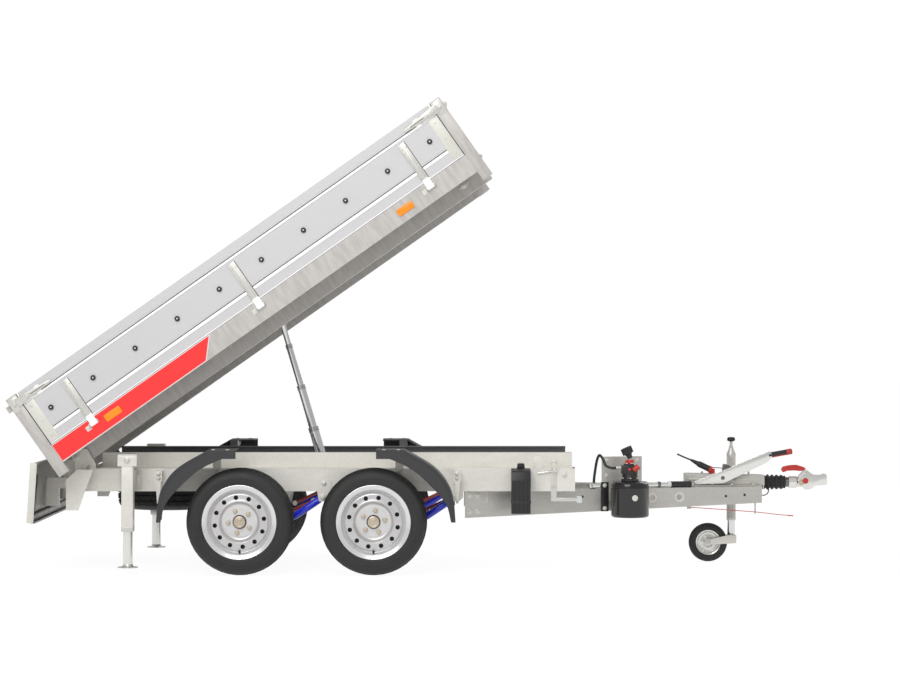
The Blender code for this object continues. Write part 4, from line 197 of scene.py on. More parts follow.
def lathe(main, profile, place, steps=48, material=0, shape=None):
    # A closed ring of (radius, height) points spun about local Z. shape moves points afterwards
    part = bmesh.new()
    ring = [part.verts.new((max(radius, 0.0), 0, height)) for radius, height in profile]
    edges = [part.edges.new((a, b)) for a, b in zip(ring, ring[1:] + ring[:1]) if a.co.x > 0 or b.co.x > 0]
    bmesh.ops.spin(part, geom=ring + edges, cent=(0, 0, 0), axis=(0, 0, 1), angle=math.tau, steps=steps,
        use_duplicate=False, use_merge=True)
    bmesh.ops.remove_doubles(part, verts=part.verts, dist=MERGE)
    bmesh.ops.recalc_face_normals(part, faces=part.faces)
    if shape:
        for vert in part.verts:
            shape(vert)
    stamp(main, part, material, place)


def toward(origin, direction, place=None):
    # Local Z turned along a direction, at an origin, inside a place where one is given
    turn = Matrix.Translation(origin) @ Vector(direction).to_track_quat("Z", "Y").to_matrix().to_4x4()
    return turn if place is None else place @ turn


def rod(main, start, end, radius, material=0, steps=24, soft=0.0, place=None):
    start, end = Vector(start), Vector(end)
    length = (end - start).length
    soft = min(soft, radius * 0.6, length * 0.4)
    profile = [(0, 0), (radius, 0), (radius, length), (0, length)]
    if soft > 0:
        ease = soft * 0.3
        profile = [(0, 0), (radius - soft, 0), (radius - ease, ease), (radius, soft),
            (radius, length - soft), (radius - ease, length - ease), (max(radius - soft, 0.0), length),
            (0, length)]
    lathe(main, profile, toward(start, end - start, place), steps, material)


def smooth_path(points, steps=6):
    places = [Vector(p) for p in points]
    ends = [2 * places[0] - places[1]] + places + [2 * places[-1] - places[-2]]
    path = []
    for i in range(1, len(ends) - 2):
        a, b, c, d = ends[i - 1:i + 3]
        for k in range(steps):
            t = k / steps
            path.append(((2 * b) + (c - a) * t + (2 * a - 5 * b + 4 * c - d) * t ** 2
                         + (3 * b - a - 3 * c + d) * t ** 3) / 2)
    return path + [places[-1]]


def round_curve(name, path, radius, fine):
    # A curve along the path, with a round section and closed ends
    data = bpy.data.curves.new(name, "CURVE")
    data.dimensions = "3D"
    data.bevel_depth = radius
    data.bevel_resolution = fine
    data.use_fill_caps = True
    spline = data.splines.new("POLY")
    spline.points.add(len(path) - 1)
    for point, spot in zip(spline.points, path):
        point.co = (*spot, 1)
    return data


def evaluated_mesh(obj):
    return bpy.data.meshes.new_from_object(obj.evaluated_get(bpy.context.evaluated_depsgraph_get()))


def pipe(main, points, radius, material=0, steps=6, fine=4, place=None):
    path = smooth_path(points, steps) if steps > 1 else [Vector(p) for p in points]
    data = round_curve("path", path, radius, fine)
    carrier = add_object("path", data)
    mesh = evaluated_mesh(carrier)
    bpy.data.objects.remove(carrier, do_unlink=True)
    bpy.data.curves.remove(data)
    part = bmesh.new()
    part.from_mesh(mesh)
    bpy.data.meshes.remove(mesh)
    bmesh.ops.remove_doubles(part, verts=part.verts, dist=MERGE)
    bmesh.ops.recalc_face_normals(part, faces=part.faces)
    stamp(main, part, material, place)


def hexagon(across):
    radius = across / math.sqrt(3)
    return [(radius * math.cos(math.tau * k / 6), radius * math.sin(math.tau * k / 6)) for k in range(6)]


def bolt(main, spot, direction, across=0.013, head=0.006, material=0, washer=True, place=None):
    # A hexagon head on a washer, lying on a face with this outward direction
    turn = toward(spot, direction, place)
    if washer:
        wide, thick = across * 0.95, 0.0014
        lathe(main, [(0, 0), (wide, 0), (wide, 0.001), (across * 0.9, thick), (0, thick)], turn, 20,
            material)
    part = extruded(hexagon(across), 0.0008, head)
    bmesh.ops.recalc_face_normals(part, faces=part.faces)
    top = [edge for edge in part.edges if all(vert.co.z > head * 0.9 for vert in edge.verts)]
    soften(part, head * 0.16, 2, top)
    stamp(main, part, material, turn)


def spots(xs, ys, zs):
    # Every place that the lists give together; a plain number is a list of one
    xs, ys, zs = (values if isinstance(values, (tuple, list)) else (values,) for values in (xs, ys, zs))
    return [(x, y, z) for x in xs for y in ys for z in zs]


def bolts(main, places, direction, across, head, material, place):
    for spot in places:
        bolt(main, spot, direction, across, head, material, True, place)


def rivets(main, places, direction, radius, material, place):
    for spot in places:
        rivet(main, spot, direction, radius, material, place)


def rivet(main, spot, direction, radius=0.005, material=0, place=None):
    rise = radius * 0.45
    profile = [(0, -0.0005), (radius, -0.0005), (radius, rise * 0.3), (radius * 0.8, rise * 0.75),
        (radius * 0.45, rise * 0.97), (0, rise)]
    lathe(main, profile, toward(spot, direction, place), 14, material)


def drill(obj, cutters):
    # Cuts the cutters' shape out of obj, and applies it
    mesh = bpy.data.meshes.new("drill")
    cutters.to_mesh(mesh)
    cutters.free()
    tool = add_object("drill", mesh)
    step = obj.modifiers.new("drill", "BOOLEAN")
    step.operation = "DIFFERENCE"
    step.solver = "EXACT"
    step.object = tool
    bpy.context.view_layer.update()
    result = evaluated_mesh(obj)
    obj.modifiers.clear()
    obj.data = result
    bpy.data.objects.remove(tool, do_unlink=True)


def shade(obj, angle):
    obj.data.shade_smooth()
    obj.data.set_sharp_from_angle(angle=math.radians(angle))


def piece(name, main, materials, body, stands_for=(), angle=32, cutters=None):
    mesh = bpy.data.meshes.new(name)
    main.to_mesh(mesh)
    main.free()
    obj = add_object(name, mesh)
    for material in materials:
        mesh.materials.append(material)
    shade(obj, angle)
    if cutters is not None:
        drill(obj, cutters)
        shade(obj, angle)
    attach(obj, body)
    if stands_for:
        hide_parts(*stands_for)
    return obj


# %% [markdown]
# ## Materials
# Colours are given as they look on the screen and turned to linear values.
# Grain, spangle and dirt come from noise in object coordinates.

# %%


def linear(colour):
    return tuple(c / 12.92 if c <= 0.04045 else ((c + 0.055) / 1.055) ** 2.4 for c in colour)


class Finish:
    # A node material with a principled shader and short ways to feed it
    def __init__(self, name, colour, roughness=0.5, metallic=0.0, coat=0.0):
        self.material = bpy.data.materials.new(name)
        self.material.use_nodes = True
        self.tree = self.material.node_tree
        self.shader = self.tree.nodes["Principled BSDF"]
        self.colour = (*linear(colour), 1)
        self.material.diffuse_color = self.colour
        self.shader.inputs["Base Color"].default_value = self.colour
        self.shader.inputs["Roughness"].default_value = roughness
        self.shader.inputs["Metallic"].default_value = metallic
        self.shader.inputs["Coat Weight"].default_value = coat
        self.height = None

    def node(self, kind, **settings):
        node = self.tree.nodes.new(kind)
        for key, value in settings.items():
            if key in node.inputs:
                node.inputs[key].default_value = value
            else:
                setattr(node, key, value)
        return node

    def link(self, source, target):
        self.tree.links.new(source, target)

    def place(self, scale=(1, 1, 1), turn=(0, 0, 0)):
        mapping = self.node("ShaderNodeMapping")
        mapping.inputs["Scale"].default_value = scale
        mapping.inputs["Rotation"].default_value = turn
        coords = self.node("ShaderNodeTexCoord")
        self.link(coords.outputs["Object"], mapping.inputs["Vector"])
        return mapping.outputs["Vector"]

    def leaning(self, scale, lean):
        # Turns the coordinates about Y first, and stretches them after that
        mapping = self.node("ShaderNodeMapping")
        mapping.inputs["Scale"].default_value = scale
        self.link(self.place((1, 1, 1), (0, lean, 0)), mapping.inputs["Vector"])
        return mapping.outputs["Vector"]

    def noise(self, scale, detail, stretch=(1, 1, 1)):
        texture = self.node("ShaderNodeTexNoise", Scale=scale, Detail=detail, Roughness=0.5)
        self.link(self.place(stretch), texture.inputs["Vector"])
        return texture.outputs["Fac"]

    def cells(self, scale):
        texture = self.node("ShaderNodeTexVoronoi", Scale=scale)
        self.link(self.place(), texture.inputs["Vector"])
        return texture.outputs["Color"]

    def remap(self, source, low, high, start, end):
        node = self.node("ShaderNodeMapRange")
        self.link(source, node.inputs["Value"])
        node.inputs["From Min"].default_value = low
        node.inputs["From Max"].default_value = high
        node.inputs["To Min"].default_value = start
        node.inputs["To Max"].default_value = end
        return node.outputs["Result"]

    def tint(self, source, dark, light, low=0.35, high=0.65):
        # Blends from the colour times dark to the colour times light as the source rises
        ramp = self.node("ShaderNodeValToRGB")
        ramp.color_ramp.elements[0].position = low
        ramp.color_ramp.elements[1].position = high
        for element, factor in zip(ramp.color_ramp.elements, (dark, light)):
            element.color = (*[min(c * f, 1.0) for c, f in zip(self.colour[:3], factor)], 1)
        self.link(source, ramp.inputs["Fac"])
        self.link(ramp.outputs["Color"], self.shader.inputs["Base Color"])

    def rough(self, source, low, high):
        self.link(self.remap(source, 0.3, 0.7, low, high), self.shader.inputs["Roughness"])

    def bump(self, source, strength, distance):
        node = self.node("ShaderNodeBump", Strength=strength, Distance=distance)
        self.link(source, node.inputs["Height"])
        if self.height is not None:
            self.link(self.height, node.inputs["Normal"])
        self.height = node.outputs["Normal"]
        self.link(self.height, self.shader.inputs["Normal"])


def galvanised(name, colour, spread=0.1, metallic=0.5):
    # Zinc spangle in small flat crystals, faint run marks and a dull sheen
    finish = Finish(name, colour, 0.42, metallic)
    crystals = finish.cells(95)
    grey = finish.node("ShaderNodeRGBToBW")
    finish.link(crystals, grey.inputs["Color"])
    clouds = finish.noise(7, 4, (1, 1, 2.4))
    mixed = finish.node("ShaderNodeMath", operation="MULTIPLY_ADD")
    finish.link(grey.outputs["Val"], mixed.inputs[0])
    mixed.inputs[1].default_value = 0.35
    finish.link(clouds, mixed.inputs[2])
    low, high = 1 - spread, 1 + spread * 0.6
    finish.tint(mixed.outputs["Value"], (low, low, low * 0.99), (high, high, high), 0.35, 0.95)
    finish.rough(clouds, 0.34, 0.52)
    finish.bump(finish.noise(420, 2), 0.08, 0.0006)
    finish.bump(finish.noise(16, 3), 0.05, 0.004)
    return finish.material


def painted(name, colour, roughness=0.35, metallic=0.0, grain=500, strength=0.05, coat=0.0, spread=0.05):
    # Paint or plastic with a fine grain and slow changes of tone
    finish = Finish(name, colour, roughness, metallic, coat)
    slow = finish.noise(9, 3)
    finish.tint(slow, (1 - spread,) * 3, (1 + spread,) * 3)
    finish.rough(slow, roughness * 0.88, roughness * 1.15)
    finish.bump(finish.noise(grain, 2), strength, 0.0005)
    return finish.material


def brushed(name, colour, roughness=0.3, metallic=0.7, along=(1, 30, 30), spread=0.04):
    # Rolled or drawn metal, with fine lines along one axis
    finish = Finish(name, colour, roughness, metallic)
    lines = finish.noise(60, 3, along)
    finish.tint(lines, (1 - spread,) * 3, (1 + spread,) * 3)
    finish.rough(lines, roughness * 0.85, roughness * 1.2)
    finish.bump(lines, 0.04, 0.0004)
    return finish.material


def rubber(name, colour, roughness):
    finish = Finish(name, colour, roughness)
    dust = finish.noise(14, 5)
    finish.tint(dust, (0.82, 0.82, 0.82), (1.25, 1.25, 1.25))
    finish.rough(dust, roughness * 0.85, min(roughness * 1.15, 1.0))
    finish.bump(finish.noise(700, 2), 0.12, 0.0004)
    return finish.material


GALVANISED = galvanised("galvanised", (0.79, 0.78, 0.755))
CHASSIS = galvanised("galvanised_bright", (0.935, 0.925, 0.895), 0.07, metallic=0.2)


def run_marked(name, colour):
    # Galvanised steel of the tipped bed, with pale runs across its rails
    finish = Finish(name, colour, 0.44, 0.35)
    runs = finish.node("ShaderNodeTexNoise", Scale=9.0, Detail=4.0, Roughness=0.6)
    finish.link(finish.leaning((5.0, 1.5, 1.0), TIP_ANGLE), runs.inputs["Vector"])
    finish.tint(runs.outputs["Fac"], (0.9, 0.9, 0.893), (1.05, 1.05, 1.05), 0.4, 0.62)
    finish.rough(runs.outputs["Fac"], 0.36, 0.55)
    finish.bump(finish.noise(420, 2), 0.08, 0.0006)
    return finish.material


BED_STEEL = run_marked("galvanised_bed", (0.795, 0.782, 0.766))
ARM_STEEL = galvanised("galvanised_arm", (0.785, 0.775, 0.755), 0.09)
ZINC = galvanised("zinc_plate", (0.85, 0.845, 0.822), 0.05)
BRIGHT_ZINC = brushed("bright_zinc", (0.9, 0.898, 0.885), 0.22, 0.75, (20, 1, 20), 0.02)
CREAM_PLATE = galvanised("cream_plate", (0.9, 0.895, 0.86), 0.04, metallic=0.1)
# Near-white painted highlight with a glow, for the grooves, feet, hinge straps and latches
BAND_HIGHLIGHT = painted("board_band_highlight", (0.99, 0.988, 0.99), 0.35, 0.0, 500, 0.02, 0.0, 0.01)
# Dark grey painted shade, for shadow lines under the grooves, beside the hinge straps and on the latches
SHADE_LINE = painted("painted_shade_line", (0.33, 0.325, 0.325), 0.6, 0.0, 300, 0.03)
DARK_GALVANISED = galvanised("galvanised_dull", (0.6, 0.59, 0.575), 0.12)
BOARD = brushed("board_aluminium", (0.85, 0.845, 0.85), 0.42, 0.2, (0.4, 30, 30), 0.02)
FLOOR_PLATE = galvanised("floor_sheet", (0.7, 0.695, 0.68), 0.05)
TYRE = rubber("tyre_rubber", (0.168, 0.166, 0.165), 0.6)
TREAD = rubber("tread_rubber", (0.135, 0.134, 0.133), 0.8)
RUBBER = rubber("soft_rubber", (0.14, 0.14, 0.14), 0.6)
RIM = painted("rim_silver", (0.88, 0.876, 0.878), 0.3, 0.4, 900, 0.04, 0.2, 0.02)
# Darker and lighter copies of the rim's silver: painted shade on the vent ring, painted highlight on the lip
RIM_SHADE = painted("rim_vent_ring_shade", (0.82, 0.815, 0.818), 0.3, 0.45, 900, 0.04, 0.2, 0.02)
RIM_HIGHLIGHT = painted("rim_lip_highlight", (0.9, 0.895, 0.905), 0.24, 0.45, 900, 0.03, 0.2, 0.02)
BRASS_ZINC = painted("yellow_zinc", (0.8, 0.75, 0.67), 0.3, 0.45, 300, 0.04)
BRAKE_RED = painted("brake_rod_red", (0.56, 0.2, 0.15), 0.45, 0.1, 300, 0.05)
# Painted shade on the upper rails' tops and inner faces
RAIL_SHADE = painted("painted_rail_shade", (0.4, 0.405, 0.42), 0.5, 0.1, 300, 0.06)
GUARD = painted("guard_plastic", (0.225, 0.225, 0.232), 0.5, 0.0, 650, 0.1)
BLACK = painted("black_plastic", (0.135, 0.135, 0.14), 0.42, 0.0, 700, 0.08)
GLOSS = painted("tank_plastic", (0.095, 0.092, 0.092), 0.16, 0.0, 90, 0.02, 0.3)
BLACK_STEEL = painted("black_steel", (0.2, 0.2, 0.205), 0.34, 0.2, 300, 0.06)
BLUE = painted("damper_blue", (0.14, 0.2, 0.88), 0.26, 0.0, 200, 0.03, 0.3)
RED = painted("handle_red", (0.8, 0.21, 0.18), 0.34, 0.0, 500, 0.05, 0.1)
STRIPE = painted("stripe_red", (1.0, 0.2, 0.2), 0.34, 0.0, 800, 0.01, 0.05, 0.01)
AMBER = painted("amber_lens", (1.0, 0.59, 0.02), 0.2, 0.0, 220, 0.06, 0.3, 0.03)
REFLECTOR = painted("amber_reflector", (0.96, 0.56, 0.0), 0.3, 0.0, 500, 0.03, 0.1, 0.01)
RED_LENS = painted("red_lens", (0.72, 0.06, 0.05), 0.14, 0.0, 220, 0.05, 0.5, 0.03)
CLEAR_LENS = painted("clear_lens", (0.88, 0.89, 0.89), 0.12, 0.1, 220, 0.05, 0.5, 0.02)
CHROME = brushed("chrome", (0.86, 0.86, 0.865), 0.14, 0.95, (30, 30, 1), 0.01)
STEEL_DARK = brushed("oiled_steel", (0.47, 0.465, 0.46), 0.24, 0.9, (30, 30, 1), 0.05)
CABLE_RED = painted("cable_red", (0.82, 0.33, 0.31), 0.45, 0.0, 500, 0.02)
WHITE_PLATE = painted("white_plate", (0.93, 0.93, 0.925), 0.3, 0.0, 500, 0.01, 0.1, 0.01)
CHROME_RING = brushed("chrome_ring", (0.74, 0.74, 0.745), 0.18, 0.9, (30, 30, 1), 0.01)
PAINTED_GLOW = 0.22
for glowing, tone in ((STRIPE, (1.0, 0.02, 0.02, 1)), (REFLECTOR, (1.0, 0.25, 0.0, 1)),
        (BAND_HIGHLIGHT, (1.0, 1.0, 1.0, 1))):
    # Painted glow: the signal colours and the bright bands give off light of their own, so they look
    # brighter than paint
    shader = glowing.node_tree.nodes["Principled BSDF"]
    shader.inputs["Emission Color"].default_value = tone
    shader.inputs["Emission Strength"].default_value = PAINTED_GLOW


def paint_node(name, material):
    # A solid whose shape is right stays and takes a finer material
    obj = nodes[name]
    obj.data.materials.clear()
    obj.data.materials.append(material)
    shade(obj, 30)
    return obj


# %% [markdown]
# ## The breakaway cable
# It repeats the route of the part's source: out of the clip under the right
# arm, through the eye plate at the nose, and forward to its free end.

# %%
CABLE_R = 0.002
CABLE_START = (1.9275, -0.16, 0.2985)
CABLE_POINTS = (CABLE_START, (1.9375, -0.16, 0.2985), (1.98, -0.15, 0.296), (2.06, -0.126, 0.289),
    (2.16, -0.094, 0.28), (2.265, -0.062, 0.27), (2.32, -0.057, 0.264), (2.39, -0.056, 0.256),
    (2.4622, -0.055, 0.2497))


def build_cable():
    route = smooth_path([(at_x(x), y, z) for x, y, z in CABLE_POINTS], 4)
    data = round_curve("breakaway_wire", route, CABLE_R, 4)
    data.materials.append(CABLE_RED)
    wire = add_object("breakaway_wire", data)
    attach(wire, "frame")
    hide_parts("breakaway_cable")
    end = bmesh.new()
    tip = route[-1]
    along = (route[-1] - route[-2]).normalized()
    rod(end, tip - along * 0.03, tip, 0.003, 0, 14, 0.0008)
    ferrule = piece("wire_ferrule", end, [CABLE_RED], "frame")


build_cable()

# %% [markdown]
# ## Wheels
# A tyre is one spun ring with tread grooves, sipes and sidewall rings, and the
# rim a second ring with drilled vents, nuts, a cap and a valve.

# %%
TYRE_STEPS = 200
HALF_TYRE = ((0.1655, 0.08), (0.166, 0.087), (0.17, 0.0876), (0.1815, 0.0884), (0.1838, 0.09),
    (0.185, 0.0922), (0.189, 0.0943), (0.194, 0.0951), (0.1946, 0.0962), (0.1968, 0.0962), (0.1974, 0.0953),
    (0.2045, 0.0962), (0.2115, 0.0966), (0.2121, 0.0974), (0.2142, 0.0974), (0.2148, 0.0964),
    (0.22, 0.0958), (0.2255, 0.0944), (0.2259, 0.095), (0.2365, 0.092), (0.2369, 0.091), (0.2415, 0.0884),
    (0.2462, 0.0848), (0.2505, 0.08), (0.2542, 0.0738), (0.2572, 0.0668), (0.2592, 0.06), (0.2604, 0.0545),
    (0.26, 0.0536), (0.2536, 0.0522), (0.2536, 0.047), (0.2606, 0.0456), (0.2614, 0.0446), (0.2617, 0.034),
    (0.2618, 0.0226), (0.2614, 0.0216), (0.254, 0.0202), (0.254, 0.0144), (0.2614, 0.013), (0.2619, 0.012),
    (0.262, 0.0))


def mirrored(half):
    return list(half) + [(radius, -height) for radius, height in half[::-1] if height > 0]


BLOCK_R, SHOULDER_Z, CENTRE_Z, SIPE_SLANT = 0.2565, 0.04, 0.01, 55
KNURL_RS, KNURL_Z, KNURL_DEEP = (0.2258, 0.2367), 0.09, 0.0009
TREAD_R, TREAD_Z = 0.2515, 0.0735


def tread(vert):
    # Cuts slanted sipes into the tread blocks and a fine knurl into the sidewalls
    radius, height = math.hypot(vert.co.x, vert.co.y), vert.co.z
    away, way = abs(height), 1 if height > 0 else -1
    turn = math.atan2(vert.co.y, vert.co.x) / math.tau * TYRE_STEPS
    if radius > BLOCK_R:
        gap, depth = (5, 0.0052) if away > SHOULDER_Z else (4, 0.004)
        if away > CENTRE_Z and round(turn + away * SIPE_SLANT * way) % gap == 0:
            vert.co.x *= (radius - depth) / radius
            vert.co.y *= (radius - depth) / radius
    elif KNURL_RS[0] < radius < KNURL_RS[1] and away > KNURL_Z and round(turn) % 2:
        vert.co.z -= KNURL_DEEP * way


def colour_faces(main, start, test, material):
    main.faces.ensure_lookup_table()
    for face in main.faces[start:]:
        if test(face):
            face.material_index = material


def tyre_ring(place):
    # The tyre about its own axle, with the tread's faces marked, moved to its place
    main = bmesh.new()
    lathe(main, mirrored(HALF_TYRE), Matrix.Identity(4), TYRE_STEPS, 0, tread)
    for face in main.faces:
        middle = face.calc_center_median()
        if math.hypot(middle.x, middle.y) > TREAD_R and abs(middle.z) < TREAD_Z:
            face.material_index = 1
    main.transform(place)
    return main


RIM_FACE = ((0.0, 0.075), (0.015, 0.075), (0.0168, 0.0742), (0.019, 0.0742), (0.0208, 0.0752),
    (0.025, 0.0748), (0.0275, 0.0736), (0.0287, 0.0705), (0.0287, 0.055), (0.03, 0.0532), (0.0336, 0.053),
    (0.0346, 0.054), (0.072, 0.054), (0.0735, 0.053), (0.08, 0.053), (0.086, 0.0545), (0.092, 0.06),
    (0.097, 0.0668), (0.1005, 0.07), (0.103, 0.0712), (0.1058, 0.0708), (0.1085, 0.0696), (0.121, 0.0688),
    (0.133, 0.0682), (0.1372, 0.0672), (0.141, 0.0645), (0.1445, 0.06), (0.1475, 0.0578), (0.1502, 0.0585),
    (0.1525, 0.064), (0.1548, 0.0745), (0.1572, 0.0812), (0.1605, 0.085), (0.164, 0.0866), (0.1662, 0.0876),
    (0.173, 0.0893), (0.1772, 0.0918), (0.18, 0.0927), (0.182, 0.0921), (0.1828, 0.09), (0.1815, 0.0888),
    (0.177, 0.0886), (0.169, 0.0872), (0.1653, 0.085))
RIM_BACK = ((0.165, -0.083), (0.162, -0.083), (0.16, 0.05), (0.148, 0.052), (0.138, 0.06), (0.108, 0.064),
    (0.098, 0.058), (0.09, 0.048), (0.06, 0.045), (0.06, -0.0125), (0.0205, -0.0125), (0.0205, 0.064),
    (0.0, 0.064))
VENT_COUNT, VENT_R, VENT_HOLE_R = 12, 0.121, 0.0112
NUT_COUNT, NUT_R = 5, 0.056
# Rings with a look of their own: radii, heights and material, the first that fits. The lip gets a painted
# highlight and the vent ring a painted shade
FAR = 9.0
RIM_RINGS = ((0.1655, FAR, 0.086, FAR, 1), (-FAR, 0.0287, 0.055, FAR, 2), (-FAR, 0.034, 0.052, FAR, 3),
    (0.04, FAR, -FAR, 0.0499, 3), (0.086, 0.15, 0.053, FAR, 4))


def around(count, radius, height, shift):
    # Places evenly round an axle, the first turned by a share of a step
    for i in range(count):
        angle = math.tau * (i + shift) / count
        yield radius * math.cos(angle), radius * math.sin(angle), height


def build_rim(name, node, body, place):
    main = bmesh.new()
    lathe(main, RIM_FACE + RIM_BACK, Matrix.Identity(4), 96, 0)
    for face in main.faces:
        middle = face.calc_center_median()
        away = math.hypot(middle.x, middle.y)
        for inner, outer, low, high, material in RIM_RINGS:
            if inner < away < outer and low < middle.z < high:
                face.material_index = material
                break
    main.transform(place)
    holes = bmesh.new()
    for spot in around(VENT_COUNT, VENT_R, 0.04, 0.5):
        rod(holes, spot, Vector(spot) + Vector((0, 0, 0.05)), VENT_HOLE_R, 0, 20, place=place)
    piece(name, main, [RIM, RIM_HIGHLIGHT, BRASS_ZINC, BLACK_STEEL, RIM_SHADE], body, [node], 30,
        holes)
    trim = bmesh.new()
    for x, y, z in around(NUT_COUNT, NUT_R, 0.0538, 0.25):
        seat = place @ Matrix.Translation((x, y, z))
        lathe(trim, [(0, 0), (0.0125, 0), (0.0112, 0.003), (0, 0.003)], seat, 20, 0)
        bolt(trim, (x, y, z + 0.0025), (0, 0, 1), 0.0175, 0.0105, 0, False, place)
        rod(trim, (x, y, z + 0.011), (x, y, z + 0.015), 0.005, 0, 14, 0.001, place)
    lip = [(VENT_HOLE_R, 0), (VENT_HOLE_R + 0.0032, 0), (VENT_HOLE_R + 0.0022, 0.0018),
        (VENT_HOLE_R + 0.0004, 0.0018), (VENT_HOLE_R, 0.001)]
    for spot in around(VENT_COUNT, VENT_R, 0.0682, 0.5):
        lathe(trim, lip, place @ Matrix.Translation(spot), 24, 1)
    # Brake drum behind the vents, and the valve at the lowest point
    lathe(trim, [(0.061, 0.018), (0.143, 0.018), (0.143, 0.034), (0.061, 0.034)], place, 64, 3)
    down = place.to_3x3().inverted() @ Vector((0, 0, -1))
    valve = Matrix.Rotation(math.atan2(down.y, down.x), 3, "Z") @ Vector((0.15, 0.0, 0.059))
    outward = valve + Vector((-valve.x * 0.055, -valve.y * 0.055, 0.023))
    rod(trim, valve, outward, 0.0048, 2, 14, 0.001, place)
    rod(trim, outward, outward + (outward - valve) * 0.28, 0.0036, 2, 14, 0.001, place)
    piece(name + "_trim", trim, [BRASS_ZINC, RIM, RUBBER, BLACK_STEEL], body)


for end, hub in HUB_XS.items():
    for label, side in SIDES.items():
        tag = f"{end}_{label}"
        axle = toward((at_x(hub), side * (TYRE_OUT - TYRE_HALF), TYRE_R), (0, side, 0))
        axle = axle @ Matrix.Rotation(0.4 if end == "rear" else 1.1, 4, "Z")
        piece("road_tyre_" + tag, tyre_ring(axle), [TYRE, TREAD], "wheel_" + tag, ["tyre_" + tag],
            24)
        build_rim("road_rim_" + tag, "rim_" + tag, "wheel_" + tag, axle)

# %% [markdown]
# The spare lies flat under the rear of the frame, with the same tyre.

# %%
SPARE_X, SPARE_LOW = -0.7425, 0.288
SPARE_FACE = ((0.015, 0.0695), (0.056, 0.0695), (0.058, 0.068), (0.07, 0.068), (0.076, 0.064),
    (0.086, 0.064), (0.096, 0.069), (0.106, 0.0705), (0.133, 0.069), (0.141, 0.065), (0.148, 0.058),
    (0.153, 0.064), (0.1572, 0.0812), (0.1605, 0.085), (0.1662, 0.0876), (0.1772, 0.091), (0.1815, 0.0915),
    (0.1828, 0.09), (0.1815, 0.0888), (0.169, 0.0872), (0.1653, 0.085))
SPARE_BACK = ((0.1653, -0.085), (0.169, -0.0872), (0.1815, -0.0888), (0.1828, -0.09), (0.1815, -0.0915),
    (0.1662, -0.0876), (0.1605, -0.085), (0.1572, -0.08), (0.153, -0.04), (0.148, 0.03), (0.14, 0.052),
    (0.106, 0.061), (0.096, 0.06), (0.076, 0.0595), (0.015, 0.0595))


def build_spare():
    place = DATUM @ toward((SPARE_X, 0, SPARE_LOW + TYRE_HALF), (0, 0, -1))
    main = tyre_ring(place)
    lathe(main, SPARE_FACE + SPARE_BACK, place, 72, 2)
    piece("spare_tyre_and_rim", main, [TYRE, TREAD, RIM], "frame", ["spare_wheel"], 24)


build_spare()

# %% [markdown]
# ## Load bed
# Everything here is made in the bed's own u and v, level, and turned into the
# tipped bed by BED. The right side is the one that the camera sees.

# %%
HINGE_US, HINGE_V, HINGE_Y = (0.29, BED_LENGTH * 0.49727, 2.285), 0.119, 0.812
BOARD_U = (0.0605, 2.5075)
KNOB_US = [0.162 + 0.2494 * i for i in range(10)]


def ribbed_section(out, inner, low, high, side=1):
    # A hollow board's outer face with two wide grooves, fine lines and rolled edges
    points = [(inner, low), (out - 0.002, low), (out, low + 0.002)]
    for groove_low, groove_high, deep in ((0.1975, 0.2, 0.001), (0.205, 0.218, 0.003),
            (0.227, 0.2285, 0.0007), (0.38, 0.382, 0.001), (0.388, 0.397, 0.003), (0.406, 0.4075, 0.0007)):
        points += [(out, groove_low), (out - deep, groove_low + deep * 0.7), (out - deep, groove_high),
            (out, groove_high + deep * 1.5)]
    points += [(out, high - 0.003), (out - 0.0012, high - 0.0008), (out - 0.004, high),
        (inner + 0.003, high), (inner, high - 0.003)]
    return [(a * side, b) for a, b in points]


BANDS = ((0.205, 0.2224), (0.388, 0.4014))


def paint_groove_light(main, bright, dark):
    # The two wide grooves get a painted highlight, with a painted shadow under their upper edge
    back = BED.inverted()
    for face in main.faces:
        height = (back @ face.calc_center_median()).z
        if any(low < height < high for low, high in BANDS):
            face.material_index = dark if (back.to_3x3() @ face.normal).z < -0.2 else bright


def strap(main, u, side):
    # A hinge strap with its cast foot, barrel, rib and studs. The foot and barrel take the painted
    # highlight, and a painted shadow line runs down its forward edge
    def b(low, high, material, soft):
        box(main, (low[0], side * low[1], low[2]), (high[0], side * high[1], high[2]), material, soft, BED)

    b((u - 0.0185, 0.7965, 0.157), (u + 0.0185, 0.803, 0.3735), 1, 0.002)
    b((u - 0.007, 0.8025, 0.165), (u + 0.007, 0.8055, 0.356), 1, 0.0016)
    b((u - 0.0187, 0.8025, 0.162), (u - 0.015, 0.8078, 0.3735), 1, 0.001)
    b((u + 0.0186, 0.7965, 0.162), (u + 0.0215, 0.7976, 0.3735), 5, 0.0003)
    b((u - 0.0182, 0.7985, 0.1215), (u + 0.0182, 0.8095, 0.166), 4, 0.003)
    rod(main, (u - 0.0188, side * HINGE_Y, HINGE_V), (u + 0.0188, side * HINGE_Y, HINGE_V), 0.0104, 4, 24,
        0.001, BED)
    for v in (0.188, 0.252, 0.345):
        rivet(main, (u - 0.0125, side * 0.803, v), (0, side, 0), 0.0042, 1, BED)
        rivet(main, (u + 0.0125, side * 0.803, v), (0, side, 0), 0.0042, 1, BED)


def knob(main, u, side):
    # A round rope knob: a base ring, a neck and a domed head
    turn = toward((u, side * 0.797, 0.302), (0, side, 0))
    profile = [(0, -0.001), (0.0128, -0.001), (0.013, 0.0006), (0.0122, 0.0016), (0.0092, 0.002),
        (0.0076, 0.0034), (0.0074, 0.0052), (0.009, 0.0066), (0.0118, 0.0072), (0.0126, 0.0082),
        (0.0118, 0.0094), (0.0075, 0.01), (0.004, 0.0098), (0.0036, 0.0088), (0, 0.0086)]
    lathe(main, profile, BED @ turn, 28, 3)
    lathe(main, [(0, 0.0084), (0.0042, 0.0086), (0.004, 0.0108), (0.0028, 0.0113), (0, 0.0113)], BED @ turn,
        20, 1)


